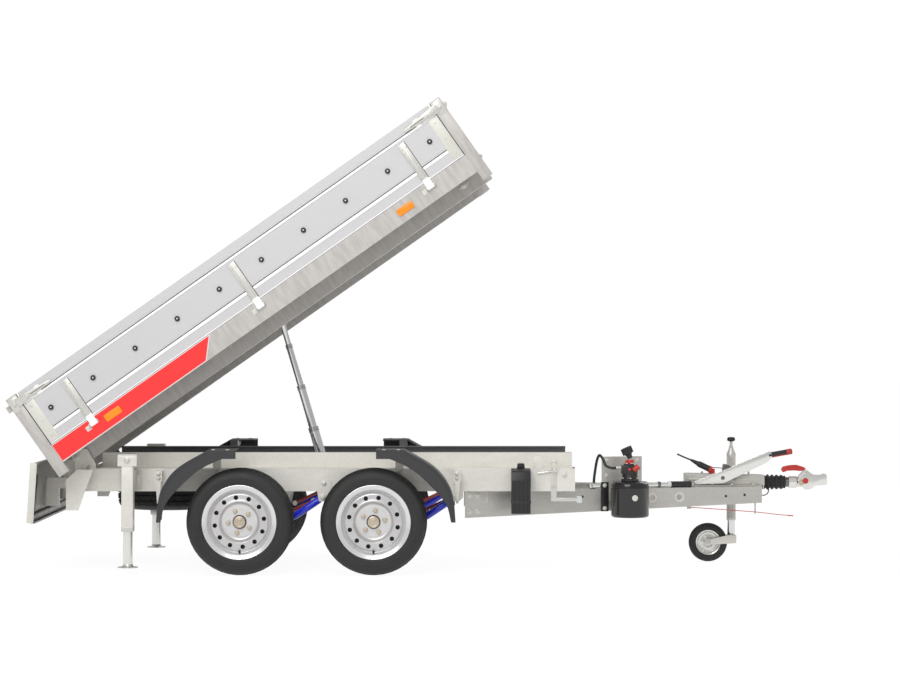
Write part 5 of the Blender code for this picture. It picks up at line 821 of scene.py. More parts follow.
def latch(main, side, end):
    # A tapered lever on its pivot, held by a keeper on the post, with a small block of painted highlight and
    # a thin painted shade line
    def m(u):
        return u if end < 0 else BED_LENGTH - u

    outline = rounded([(m(0.036), 0.389), (m(0.036), 0.435), (m(0.105), 0.431), (m(0.235), 0.4175),
        (m(0.235), 0.4035), (m(0.105), 0.395)], 0.008, 3)
    plate(main, [(u, v) for u, v in outline], "xz", side * 0.8032, side * 0.8092, 1, 0.0012, BED)
    raised = rounded([(m(0.06), 0.398), (m(0.06), 0.427), (m(0.105), 0.425), (m(0.215), 0.414),
        (m(0.215), 0.407), (m(0.105), 0.401)], 0.006, 3)
    plate(main, [(u, v) for u, v in raised], "xz", side * 0.8088, side * 0.8124, 1, 0.0012, BED)
    box(main, (m(0.075), side * 0.7955, 0.399), (m(0.125), side * 0.8045, 0.427), 1, 0.001, BED)
    box(main, (m(0.148), side * 0.7955, 0.394), (m(0.172), side * 0.8045, 0.43), 4, 0.0015, BED)
    box(main, (m(0.118), side * 0.811, 0.4098), (m(0.2), side * 0.8127, 0.4132), 5, 0.0003, BED)
    rivet(main, (m(0.1), side * 0.8122, 0.412), (0, side, 0), 0.0068, 1, BED)
    rivet(main, (m(0.067), side * 0.8122, 0.412), (0, side, 0), 0.0045, 1, BED)


def build_side_board(label, side):
    main = bmesh.new()
    plate(main, ribbed_section(0.797, 0.772, 0.1525, 0.452, side), "yz", *BOARD_U, 0, 0.0, BED)
    # Painted highlight and painted shadow in the grooves
    paint_groove_light(main, 4, 5)
    # A rolled foot with a painted highlight, and a cream plate with three rivets at each end
    box(main, (0.062, side * 0.796, 0.1528), (2.506, side * 0.7986, 0.1568), 4, 0.0008, BED)
    for start, end in ((0.0612, 0.115), (BED_LENGTH - 0.115, BED_LENGTH - 0.0612)):
        box(main, (start, side * 0.796, 0.16), (end, side * 0.7992, 0.385), 6, 0.0008, BED)
        middle = spots((start + end) / 2, side * 0.7992, (0.185, 0.27, 0.36))
        rivets(main, middle, (0, side, 0), 0.005, 1, BED)
    for u in BOARD_U:
        inward = u + (0.004 if u < 1 else -0.004)
        box(main, (u, side * 0.7725, 0.154), (inward, side * 0.7974, 0.451), 2, 0.0006, BED)
    for u in HINGE_US:
        strap(main, u, side)
    for u in KNOB_US:
        knob(main, u, side)
    latch(main, side, -1)
    latch(main, side, 1)
    piece("dropside_" + label, main, [BOARD, ZINC, CHROME, BLACK, BAND_HIGHLIGHT, SHADE_LINE, CREAM_PLATE],
        "side_board_" + label, ["side_board_" + label], 28)


for label, side in SIDES.items():
    build_side_board(label, side)


def build_tailgate():
    main = bmesh.new()
    section = [(0.012 + 0.025 - (y - 0.772), v) for y, v in ribbed_section(0.797, 0.772, 0.155, 0.448)]
    plate(main, section, "xz", -0.735, 0.735, 0, 0.0, BED)
    # Painted highlight and painted shadow in the grooves
    paint_groove_light(main, 2, 3)
    for side in (-1, 1):
        lug = [(-0.012 - 0.0119 * math.sin(math.pi * k / 10),
            0.41 + 0.0119 * math.cos(math.pi * k / 10)) for k in range(11)]
        plate(main, [(0.013, 0.3985), (0.013, 0.4215)] + lug, "xz", side * 0.719, side * 0.727, 1, 0.001,
            BED)
        box(main, (0.0115, side * 0.73, 0.156), (0.0372, side * 0.7352, 0.447), 1, 0.001, BED)
        rivets(main, spots(0.0115, side * 0.724, (0.18, 0.302, 0.42)), (-1, 0, 0), 0.005, 1, BED)
    piece("rear_gate", main, [BOARD, ZINC, BAND_HIGHLIGHT, SHADE_LINE], "tailgate", ["tailgate"], 28)


def build_front_board():
    main = bmesh.new()
    section = [(2.54 + (y - 0.772), v) for y, v in ribbed_section(0.797, 0.772, 0.1525, 0.452)]
    plate(main, section, "xz", -0.735, 0.735, 0, 0.0, BED)
    # Painted highlight and painted shadow in the grooves
    paint_groove_light(main, 3, 4)
    for y in (-0.48, 0.48):
        box(main, (2.5645, y - 0.0185, 0.164), (2.5715, y + 0.0185, 0.2905), 1, 0.002, BED)
        box(main, (2.571, y - 0.007, 0.17), (2.5745, y + 0.007, 0.28), 1, 0.0015, BED)
        box(main, (2.5705, y - 0.0182, 0.119), (2.58, y + 0.0182, 0.17), 1, 0.003, BED)
        rod(main, (2.5805, y - 0.0188, 0.116), (2.5805, y + 0.0188, 0.116), 0.0104, 1, 24, 0.001, BED)
        for v in (0.196, 0.27):
            for shift in (-0.0125, 0.0125):
                rivet(main, (2.5715, y + shift, v), (1, 0, 0), 0.0042, 1, BED)
    for side in (-1, 1):
        box(main, (2.564, side * 0.66, 0.396), (2.576, side * 0.733, 0.433), 5, 0.003, BED)
        box(main, (2.575, side * 0.58, 0.408), (2.586, side * 0.725, 0.425), 5, 0.003, BED)
        rivet(main, (2.586, side * 0.705, 0.4165), (1, 0, 0), 0.006, 1, BED)
    for y in (-0.6, -0.3, 0.0, 0.3, 0.6):
        turn = toward((2.565, y, 0.302), (1, 0, 0))
        lathe(main, [(0, -0.001), (0.0128, -0.001), (0.0122, 0.0016), (0.0076, 0.0034), (0.0074, 0.0052),
            (0.0118, 0.0072), (0.0118, 0.0094), (0.004, 0.0098), (0, 0.0086)], BED @ turn, 24, 2)
    piece("headboard", main, [BOARD, ZINC, BLACK, BAND_HIGHLIGHT, SHADE_LINE, CREAM_PLATE], "front_board",
        ["front_board"], 28)


build_tailgate()
build_front_board()

# %% [markdown]
# The bed's frame and floor keep their solids and take galvanised finishes. The
# posts get their plates, and the skirt its stripe and reflectors.

# %%
paint_node("bed_frame", BED_STEEL)
paint_node("bed_floor", FLOOR_PLATE)


def build_posts():
    main = bmesh.new()
    for side in (-1, 1):
        for end in (-1, 1):
            def m(u):
                return u if end < 0 else BED_LENGTH - u

            box(main, (m(0.001), side * 0.799, 0.003), (m(0.056), side * 0.8022, 0.452), 0, 0.0015, BED)
            # The pin plate that the side board's latch closes on
            outline = rounded([(m(0.003), 0.372), (m(0.003), 0.449), (m(0.036), 0.449), (m(0.054), 0.436),
                (m(0.054), 0.385), (m(0.036), 0.372)], 0.006, 3)
            plate(main, outline, "xz", side * 0.8015, side * 0.804, 1, 0.0008, BED)
            rod(main, (m(0.024), side * 0.803, 0.411), (m(0.024), side * 0.8125, 0.411), 0.0075, 1, 20,
                0.001, BED)
            # Dark strip in the gap between the post and the board: painted shade
            box(main, (m(0.0562), side * 0.788, 0.155), (m(0.0598), side * 0.7962, 0.45), 2, 0.0004, BED)
            box(main, (m(0.0005), side * 0.7405, 0.4525), (m(0.0565), side * 0.7995, 0.4546), 2, 0.0008, BED)
    floor_rivets = spots((0.16, 0.56, 0.96, 1.29, 1.66, 2.06, 2.43), (-0.62, -0.3, 0.3, 0.62), 0.15)
    rivets(main, floor_rivets, (0, 0, 1), 0.0055, 1, BED)
    for side in (-1, 1):
        # Lozenge plate with its bolt on the long beam, and a light tag beside each hinge
        lozenge = rounded([(2.392, 0.046), (2.43, 0.026), (2.468, 0.046), (2.43, 0.066)], 0.008, 4)
        plate(main, lozenge, "xz", side * 0.515, side * 0.518, 1, 0.001, BED)
        bolt(main, (2.43, side * 0.518, 0.046), (0, side, 0), 0.015, 0.008, 1, True, BED)
        for u in HINGE_US:
            box(main, (u - 0.05, side * 0.799, 0.1), (u - 0.022, side * 0.8024, 0.125), 3, 0.001, BED)
    piece("post_plates", main, [BED_STEEL, ZINC, BLACK, CREAM_PLATE], "bed")


STRIPE_FACE = 0.8004
STRIPE_V = (0.0555, 0.1455)


def build_stripe():
    main = bmesh.new()
    low_v, high_v = STRIPE_V
    for side in (-1, 1):
        face = side * STRIPE_FACE
        red = [(0.06, low_v), (0.907, low_v), (0.99, high_v), (0.06, high_v)]
        plate(main, red, "xz", side * 0.7998, face, 0, 0.0, BED)
        # Thin white lines along the stripe's edges: a painted highlight on the skirt's edges
        for low, high in ((low_v - 0.0035, low_v), (high_v, high_v + 0.0035)):
            box(main, (0.06, side * 0.7998, low), (0.905 if low < 0.1 else 0.992, face, high), 1, 0.0, BED)
        tip = [(0.904, low_v - 0.0035), (0.91, low_v - 0.0035), (0.997, high_v + 0.0035),
            (0.991, high_v + 0.0035)]
        plate(main, tip, "xz", side * 0.7998, face + side * 0.0001, 1, 0.0, BED)
        for start in (0.346, 2.079):
            outline = rounded([(start, 0.085), (start + 0.089, 0.085), (start + 0.089, 0.121),
                (start, 0.121)], 0.005, 4)
            plate(main, outline, "xz", side * 0.7998, side * 0.806, 2, 0.0015, BED)
            for k in range(1, 6):
                u = start + 0.089 * k / 6
                box(main, (u - 0.0006, side * 0.8055, 0.088), (u + 0.0006, side * 0.8064, 0.118), 2, 0.0002,
                    BED)
    piece("side_stripe", main, [STRIPE, WHITE_PLATE, REFLECTOR], "bed")


build_posts()
build_stripe()

# %% [markdown]
# ## Telescopic cylinder
# Each stage is a fine tube with a wiper collar where the next one leaves it.

# %%
TRUNNION = (0.055, 0.505)
STAGE_RS = (0.027, 0.0225, 0.0185, 0.015)
STAGE_TOPS = (0.206, 0.4306, 0.65)
EYE_DU, EYE_DV = 1.29 - PIVOT_U, 0.06 - PIVOT_V
EYE_X = PIVOT_X + EYE_DU * math.cos(TIP_ANGLE) - EYE_DV * math.sin(TIP_ANGLE)
EYE_Z = PIVOT_Z + EYE_DU * math.sin(TIP_ANGLE) + EYE_DV * math.cos(TIP_ANGLE)
REACH = math.hypot(TRUNNION[0] - EYE_X, EYE_Z - TRUNNION[1])
CYLINDER = toward((at_x(TRUNNION[0]), 0, TRUNNION[1]), (EYE_X - TRUNNION[0], 0, EYE_Z - TRUNNION[1]))


def build_cylinder():
    main = bmesh.new()
    barrel = [(0.0275, -0.223), (0.0275, 0.0115), (0.03, 0.012), (0.0335, 0.0105), (0.034, 0.008),
        (0.034, -0.012), (0.0332, -0.013), (0.0332, -0.016), (0.034, -0.017), (0.034, -0.023),
        (0.0322, -0.0245), (0.0322, -0.206), (0.034, -0.2075), (0.034, -0.229), (0.031, -0.235),
        (0, -0.235), (0, -0.223)]
    lathe(main, barrel, CYLINDER, 64, 0)
    for side in (-1, 1):
        pin = Matrix.Translation((at_x(TRUNNION[0]), 0, TRUNNION[1]))
        rod(main, (0, side * 0.03, 0), (0, side * 0.0535, 0), 0.0118, 1, 32, 0.001, pin)
        rod(main, (0, side * 0.03, 0), (0, side * 0.0445, 0), 0.0175, 0, 32, 0.001, pin)
    rod(main, (0.03, 0, -0.19), (0.045, 0, -0.19), 0.0085, 1, 6, 0.0005, CYLINDER)
    piece("barrel_tube", main, [BLACK_STEEL, STEEL_DARK], "cylinder", ["cylinder_barrel"])
    bores = (0.023, 0.019, 0.0155)
    for i in range(3):
        main = bmesh.new()
        radius, top, bore = STAGE_RS[i], STAGE_TOPS[i], bores[i]
        low = -0.038 if i == 0 else STAGE_TOPS[i - 1] - 0.03
        profile = [(bore, low), (bore, top), (radius - 0.0012, top), (radius, top - 0.0012),
            (radius, top - 0.0105), (radius - 0.0012, top - 0.0115), (radius - 0.0012, top - 0.0135),
            (radius, top - 0.0145), (radius, top - 0.023), (radius - 0.0016, top - 0.0245),
            (radius - 0.0016, low)]
        lathe(main, profile, CYLINDER, 64, 0)
        for face in main.faces:
            height = (CYLINDER.inverted() @ face.calc_center_median()).z
            if height > top - 0.0235:
                face.material_index = 1
        piece(f"stage_tube_{i + 1}", main, [CHROME, CHROME_RING], f"stage_{i + 1}",
            [f"cylinder_stage_{i + 1}"])
    main = bmesh.new()
    lathe(main, [(0, 0.6), (0.0142, 0.6), (0.0142, REACH - 0.045), (0.015, REACH - 0.043),
        (0.015, REACH - 0.018), (0, REACH - 0.018)], CYLINDER, 48, 0)
    eye = [(0.0178, -0.018), (0.0178, 0.018), (0.0225, 0.018), (0.024, 0.0165), (0.024, -0.0165),
        (0.0225, -0.018)]
    lathe(main, eye, CYLINDER @ toward((0, 0, REACH), (0, 1, 0)), 48, 1)
    piece("rod_and_eye", main, [CHROME, BLACK_STEEL], "stage_4", ["cylinder_stage_4"])


build_cylinder()

# %% [markdown]
# ## Chassis, axles and drawbar
# The welded solids stay. Bolts, brackets, lamps and clips are added on them.

# %%
frame_solid = paint_node("chassis_frame", CHASSIS)
frame_solid.data.materials.append(RAIL_SHADE)
for polygon in frame_solid.data.polygons:
    # Painted shade: the upper rails are dark on top and on the side that faces the middle
    inward = polygon.normal.y * polygon.center.y < -0.1
    if polygon.center.z > RAIL_TOP + 0.01 and (inward or polygon.normal.z > 0.5):
        polygon.material_index = 1
paint_node("axle_crossmember", CHASSIS)
paint_node("cylinder_cradle", CHASSIS)
paint_node("axle_front", GALVANISED)
paint_node("axle_rear", GALVANISED)
paint_node("drawbar", ARM_STEEL)


def build_chassis_trim():
    main = bmesh.new()
    for side in (-1, 1):
        face, out = side * RAIL_OUT, (0, side, 0)
        # Rounded hook tab and its strip, ahead of the front wheel
        tab = rounded([(1.113, 0.515), (1.16, 0.515), (1.16, 0.574), (1.113, 0.574)], 0.018, 5, (2, 3))
        plate(main, tab, "xz", side * 0.5162, side * 0.5202, 0, 0.001, DATUM)
        strip = rounded([(1.202, 0.512), (1.23, 0.512), (1.23, 0.352), (1.202, 0.352)], 0.004, 3)
        plate(main, strip, "xz", face, side * 0.5245, 1, 0.001, DATUM)
        # A toggle latch on the strip: a wire loop above and its lever below
        loop = [(1.205, 0.5), (1.205, 0.54), (1.218, 0.557), (1.231, 0.54), (1.231, 0.5), (1.218, 0.492),
            (1.205, 0.5)]
        pipe(main, [(x, side * 0.529, z) for x, z in loop], 0.003, 3, 3, 4, DATUM)
        rod(main, (1.222, side * 0.529, 0.505), (1.134, side * 0.529, 0.492), 0.005, 3, 20, 0.001, DATUM)
        rod(main, (1.222, side * 0.523, 0.505), (1.222, side * 0.535, 0.505), 0.007, 3, 20, 0.001, DATUM)
        bolts(main, spots((1.209, 1.223), side * 0.5245, 0.424), out, 0.009, 0.005, 1, DATUM)
        # Bracket and lens of the front marker lamp
        box(main, (1.229, face, 0.352), (1.33, side * 0.5235, 0.37), 1, 0.001, DATUM)
        box(main, (1.329, side * 0.499, 0.344), (1.356, side * 0.526, 0.377), 4, 0.003, DATUM)
        # Bolts along the rail
        bolts(main, spots((0.64, 1.27), face, 0.48), out, 0.014, 0.0075, 1, DATUM)
        # Pivot plate's own bolts and grease nipple
        for dx, dz in ((0.06, -0.055), (0.06, -0.09), (0.015, -0.09)):
            bolt(main, (PIVOT_X + dx, side * 0.5282, PIVOT_Z + dz), out, 0.016, 0.008, 1, True, DATUM)
        lathe(main, [(0, 0), (0.0125, 0), (0.0125, 0.003), (0.008, 0.005), (0, 0.005)],
            DATUM @ toward((PIVOT_X, side * 0.5362, PIVOT_Z), out), 28, 1)
        # Leg clamp plate on the rail
        plate(main, rounded([(-0.935, 0.412), (-0.824, 0.412), (-0.824, 0.508), (-0.935, 0.508)], 0.006, 3),
            "xz", face, side * 0.524, 1, 0.001, DATUM)
        bolts(main, spots((-0.923, -0.836), side * 0.524, (0.424, 0.496)), out, 0.012, 0.0065, 1, DATUM)
        # Shock bracket bolts
        for hub in HUB_XS.values():
            bolt(main, (hub + 0.4, side * 0.5262, 0.372), out, 0.02, 0.01, 1, True, DATUM)
            bolt(main, (hub + 0.405, side * 0.5262, 0.44), out, 0.013, 0.007, 1, True, DATUM)
        # Four bolts through the drawbar arm's rear end
        for x in (0.8, 0.84):
            arm_end = spots(x, side * (bar_y(x) + 0.0002), (0.38, 0.3))
            bolts(main, arm_end, (bar_y(0) - bar_y(1), side, 0), 0.016, 0.008, 1, DATUM)
    # Rubber end buffers on the rails' front ends
    for side in (-1, 1):
        box(main, (1.312, side * 0.47, 0.512), (1.3212, side * 0.5, 0.52), 2, 0.002, DATUM)
    piece("chassis_bolts", main, [CHASSIS, ZINC, BLACK, BRIGHT_ZINC, CLEAR_LENS], "frame")


def build_guard_straps():
    main = bmesh.new()
    for end, hub in ((-1, HUB_XS["rear"]), (1, HUB_XS["front"])):
        for side in (-1, 1):
            x = hub + end * 0.124
            # A strap over the guard's arm, with two nuts
            box(main, (x - 0.014, side * 0.5255, 0.47), (x + 0.014, side * 0.542, 0.51), 0, 0.001, DATUM)
            bolts(main, spots(x, side * 0.542, (0.48, 0.5)), (0, side, 0), 0.013, 0.007, 1, DATUM)
            bolts(main, spots(x, (side * 0.6, side * 0.74), 0.5855), (0, 0, -1), 0.013, 0.006, 1, DATUM)
            x = hub + end * 0.41
            bolts(main, spots(x, side * 0.5842, (0.49, 0.47)), (0, side, 0), 0.013, 0.007, 1, DATUM)
            bolt(main, (x, side * 0.5842, 0.356), (0, side, 0), 0.01, 0.006, 1, False, DATUM)
    piece("guard_fixings", main, [CREAM_PLATE, ZINC], "frame")


build_chassis_trim()
build_guard_straps()

# %% [markdown]
# ## Mudguards

# %%
GUARD_TOP_PATH = ((0.014, 0.617), (0.149, 0.617), (0.298, 0.528), (0.37, 0.435), (0.393, 0.352),
    (0.401, 0.264))
GUARD_LOW_PATH = ((0.382, 0.264), (0.352, 0.361), (0.251, 0.473), (0.175, 0.531), (0.108, 0.564))


def guard_lines():
    top = [GUARD_TOP_PATH[0]]
    curve = smooth_path([(x, z, 0) for x, z in GUARD_TOP_PATH[1:]], 7)
    top += [(spot.x, spot.y) for spot in curve]
    low = [(spot.x, spot.y) for spot in smooth_path([(x, z, 0) for x, z in GUARD_LOW_PATH], 7)]
    return top, low


def inset_line(line, inset):
    result = []
    for x, z in line:
        if x < 0.15:
            result.append((x, z - inset))
            continue
        away = math.hypot(x, z - TYRE_R)
        share = (away - inset) / away
        result.append((x * share, TYRE_R + (z - TYRE_R) * share))
    return result


def build_guard(tag, end, side, hub):
    top, low = guard_lines()

    def put(points):
        return [(hub + end * x, z) for x, z in points]

    main = bmesh.new()
    plate(main, put(top + inset_line(top, 0.0036)[::-1]), "xz", side * 0.5705, side * 0.774, 0, 0.0, DATUM)
    skirt = inset_line(top, 0.0006) + low + [(0.08, 0.575), (0.014, 0.575)]
    plate(main, put(skirt), "xz", side * 0.7708, side * 0.7742, 0, 0.0, DATUM)
    edge = [(x, side * 0.7728, z) for x, z in put(low + [(0.08, 0.575), (0.014, 0.575)])]
    pipe(main, edge, 0.0022, 0, 1, 2, DATUM)
    rim = [(x, side * 0.7722, z) for x, z in put(inset_line(top, 0.003))]
    pipe(main, rim, 0.0028, 0, 1, 2, DATUM)
    inner = [(x, side * 0.5725, z) for x, z in put(inset_line(top, 0.0045))]
    pipe(main, inner, 0.0026, 0, 1, 2, DATUM)
    for y in (0.625, 0.672, 0.72):
        bead = [(x, side * y, z) for x, z in put(inset_line(top, 0.0024)[2:])]
        pipe(main, bead, 0.0023, 0, 1, 2, DATUM)
    # A raised border inside the skirt, following its outer edge
    step = [(x, side * 0.7745, z) for x, z in put(inset_line(top, 0.014)[1:-1])]
    pipe(main, step, 0.0014, 0, 1, 2, DATUM)
    # White clips along the top edge
    for x in (0.045, 0.115):
        clip = hub + end * (x + 0.016)
        box(main, (hub + end * x, side * 0.756, 0.616), (clip, side * 0.7738, 0.6192), 1, 0.0008, DATUM)
    piece("guard_" + tag, main, [GUARD, WHITE_PLATE], "frame", ["mudguard_" + tag], 34)


for end_name, end in (("rear", -1), ("front", 1)):
    for label, side in SIDES.items():
        build_guard(f"{end_name}_{label}", end, side, HUB_XS[end_name])

# %% [markdown]
# ## Shock absorbers and support legs

# %%


def build_shock(tag, hub, side):
    low = Vector((hub + 0.15, side * 0.497, 0.205))
    high = Vector((hub + 0.4, side * 0.497, 0.372))
    length = (high - low).length
    turn = DATUM @ toward(low, high - low)
    main = bmesh.new()
    lathe(main, [(0, 0.008), (0.0145, 0.01), (0.0148, length * 0.43), (0.013, length * 0.436),
        (0, length * 0.436)], turn, 40, 0)
    sleeve = [(0.015, length * 0.41), (0.0168, length * 0.416), (0.0178, length * 0.424),
        (0.0178, length * 0.905), (0.0166, length * 0.925), (0.0125, length * 0.945), (0, length * 0.945),
        (0, length * 0.41)]
    lathe(main, sleeve, turn, 40, 0)
    rod(main, (0, 0, length * 0.9), (0, 0, length * 0.985), 0.0085, 1, 20, 0.0, turn)
    for spot in (low, high):
        place = DATUM @ toward(spot, (0, 1, 0))
        ring = [(0.0126, -0.015), (0.0126, 0.015), (0.0185, 0.016), (0.0198, 0.0145), (0.0198, -0.0145),
            (0.0185, -0.016)]
        lathe(main, ring, place, 36, 0)
        bush = [(0.006, -0.0178), (0.006, 0.0178), (0.0125, 0.0178), (0.0132, 0.0165), (0.0132, -0.0165),
            (0.0125, -0.0178)]
        lathe(main, bush, place, 28, 2)
        lathe(main, [(0, -0.018), (0.008, -0.018), (0.008, 0.018), (0, 0.018)], place, 6, 1)
    piece("damper_" + tag, main, [BLUE, ZINC, RUBBER], "frame", ["shock_" + tag])
    linkage = bmesh.new()
    rod(linkage, (hub + 0.205, side * 0.452, 0.285), (hub + 0.35, side * 0.452, 0.352), 0.0085, 0, 20, 0.001,
        DATUM)
    for share in (0.0, 1.0):
        spot = (hub + 0.205 + 0.145 * share, side * 0.452, 0.285 + 0.067 * share)
        lathe(linkage, [(0, -0.012), (0.013, -0.012), (0.013, 0.012), (0, 0.012)],
            DATUM @ toward(spot, (0, 1, 0)), 24, 1)
    piece("brake_link_" + tag, linkage, [BRAKE_RED, ZINC], "frame")


for end_name, hub in HUB_XS.items():
    for label, side in SIDES.items():
        build_shock(f"{end_name}_{label}", hub, side)

LEG_X, LEG_Y = -0.8795, 0.65


def build_leg(label, side):
    place = DATUM @ Matrix.Translation((LEG_X, side * LEG_Y, 0))
    main = bmesh.new()
    outline = rounded([(-0.0298, -0.0298), (0.0298, -0.0298), (0.0298, 0.0298), (-0.0298, 0.0298)], 0.006, 4)
    plate(main, outline, "xy", 0.212, 0.587, 0, 0.001, place)
    # Welded head with its cap and four nuts
    head = rounded([(-0.048, -0.0335), (0.048, -0.0335), (0.048, 0.0335), (-0.048, 0.0335)], 0.004, 3)
    plate(main, head, "xy", 0.533, 0.586, 0, 0.002, place)
    plate(main, rounded([(-0.0484, -0.0339), (0.0484, -0.0339), (0.0484, 0.0339), (-0.0484, 0.0339)], 0.004,
        3), "xy", 0.5855, 0.5918, 1, 0.001, place)
    for face in (-1, 1):
        bolt(main, (0, face * 0.0335, 0.561), (0, face, 0), 0.018, 0.01, 1, True, place)
    # Guide collar at the foot
    collar = rounded([(-0.03, -0.03), (0.03, -0.03), (0.03, 0.03), (-0.03, 0.03)], 0.006, 4)
    plate(main, collar, "xy", 0.212, 0.236, 1, 0.0015, place)
    shaft = bmesh.new()
    piece("leg_housing_" + label, main, [CHASSIS, ZINC], "frame", ["leg_tube_" + label])
    lathe(shaft, [(0, 0.0365), (0.0235, 0.0365), (0.024, 0.039), (0.024, 0.21), (0.0238, 0.419), (0, 0.419)],
        place, 40, 0)
    foot = [(0, 0.0342), (0.05, 0.0342), (0.0518, 0.0352), (0.0518, 0.0372), (0.0495, 0.0388),
        (0.033, 0.039), (0.026, 0.044), (0.024, 0.052), (0, 0.052)]
    lathe(shaft, foot, place, 48, 0)
    piece("leg_shaft_" + label, shaft, [BRIGHT_ZINC], "leg_foot_" + label,
        ["leg_foot_" + label])


for label, side in SIDES.items():
    build_leg(label, side)

# %% [markdown]
# ## Rear light board
# A folded sheet with a lamp at each end. It leans, so it is made upright in a
# frame of its own and turned.

# %%
LIGHT_TOP, LIGHT_LOW = (-1.3015, 0.554), (-1.3205, 0.257)
LIGHT_LEAN = math.atan2(LIGHT_TOP[0] - LIGHT_LOW[0], LIGHT_TOP[1] - LIGHT_LOW[1])


def build_light_board():
    main = bmesh.new()
    upper = ((0.0218, 0.5538), (0.0002, 0.5538), (0.0002, 0.545), (0.0022, 0.545), (0.0022, 0.5512),
        (0.0192, 0.5512))
    lower = ((0.0192, 0.2598), (0.0022, 0.2598), (0.0022, 0.266), (0.0002, 0.266), (0.0002, 0.2572),
        (0.0218, 0.2572))
    section = [(start - back, z) for start, fold in ((LIGHT_TOP[0], upper), (LIGHT_LOW[0], lower)) for back,
        z in fold]
    plate(main, section, "xz", -0.7495, 0.7495, 0, 0.0, DATUM)
    leaning = DATUM @ Matrix.Translation((LIGHT_LOW[0] - 0.022, 0,
        LIGHT_LOW[1])) @ Matrix.Rotation(LIGHT_LEAN, 4, "Y")
    for side in (-1, 1):
        # Housing, and three lenses in it
        box(main, (-0.015, side * 0.43, 0.03), (0.001, side * 0.72, 0.145), 1, 0.004, leaning)
        for start, end, material in ((0.716, 0.62, 2), (0.618, 0.532, 3), (0.53, 0.434, 2)):
            a, b = sorted((side * start, side * end))
            box(main, (-0.0198, a, 0.0335), (-0.013, b, 0.1415), material, 0.0035, leaning)
            for k in range(1, 8):
                z = 0.0335 + 0.108 * k / 8
                box(main, (-0.0201, a + 0.004, z - 0.0006), (-0.019, b - 0.004, z + 0.0006), material,
                    0.0004, leaning)
        rivets(main, spots(0.0, (side * 0.395, side * 0.735), (0.06, 0.25)), (-1, 0, 0), 0.0045, 4, leaning)
        # Round reflector and the arm's bolts
        lathe(main, [(0, 0), (0.029, 0), (0.029, 0.004), (0.0265, 0.006), (0, 0.0066)],
            leaning @ toward((0, side * 0.69, 0.205), (-1, 0, 0)), 40, 2)
        bolts(main, spots(0, side * 0.3, (0.15, 0.19)), (-1, 0, 0), 0.014, 0.007, 4, leaning)
    # Cream folded ends
    for side in (-1, 1):
        box(main, (-0.02, side * 0.745, 0.002), (0.013, side * 0.7497, 0.296), 6, 0.0012, leaning)
    # Blank number plate with its lamp
    box(main, (-0.003, -0.26, 0.095), (0.0, 0.26, 0.207), 5, 0.001, leaning)
    box(main, (-0.006, -0.266, 0.089), (-0.0002, 0.266, 0.095), 1, 0.001, leaning)
    box(main, (-0.016, -0.045, 0.214), (0.0, 0.045, 0.238), 1, 0.004, leaning)
    # Inside: dark cable channel and clip strip, as seen from the front and the side
    box(main, (0.003, -0.74, 0.04), (0.017, 0.74, 0.052), 1, 0.003, leaning)
    for side in (-1, 1):
        box(main, (0.0032, side * 0.7, 0.06), (0.016, side * 0.7475, 0.24), 1, 0.003, leaning)
    piece("rear_lights", main, [DARK_GALVANISED, BLACK, RED_LENS, AMBER, ZINC, WHITE_PLATE, CREAM_PLATE],
        "frame", ["light_board"])


build_light_board()

# %% [markdown]
# ## Overrun coupling, bellows and brake lever

# %%
HOUSING_FRONT_X, BELLOWS_FRONT_X, AXIS_Z = 2.315, 2.4261, 0.4205
HEAD_POINTS = ((2.4911, 0.448), (2.5289, 0.488), (2.5683, 0.4583), (2.606, 0.456), (2.6296, 0.4647),
    (2.6388, 0.456), (2.6388, 0.4074), (2.5714, 0.4022), (2.5616, 0.3857), (2.5256, 0.3811),
    (2.5189, 0.3976), (2.4762, 0.3976))
HANDLE_POINTS = ((2.4146, 0.4696), (2.4047, 0.4844), (2.415, 0.5), (2.45, 0.507), (2.4835, 0.509),
    (2.515, 0.5), (2.5328, 0.4915), (2.516, 0.479), (2.4999, 0.4775), (2.47, 0.48), (2.435, 0.4785))


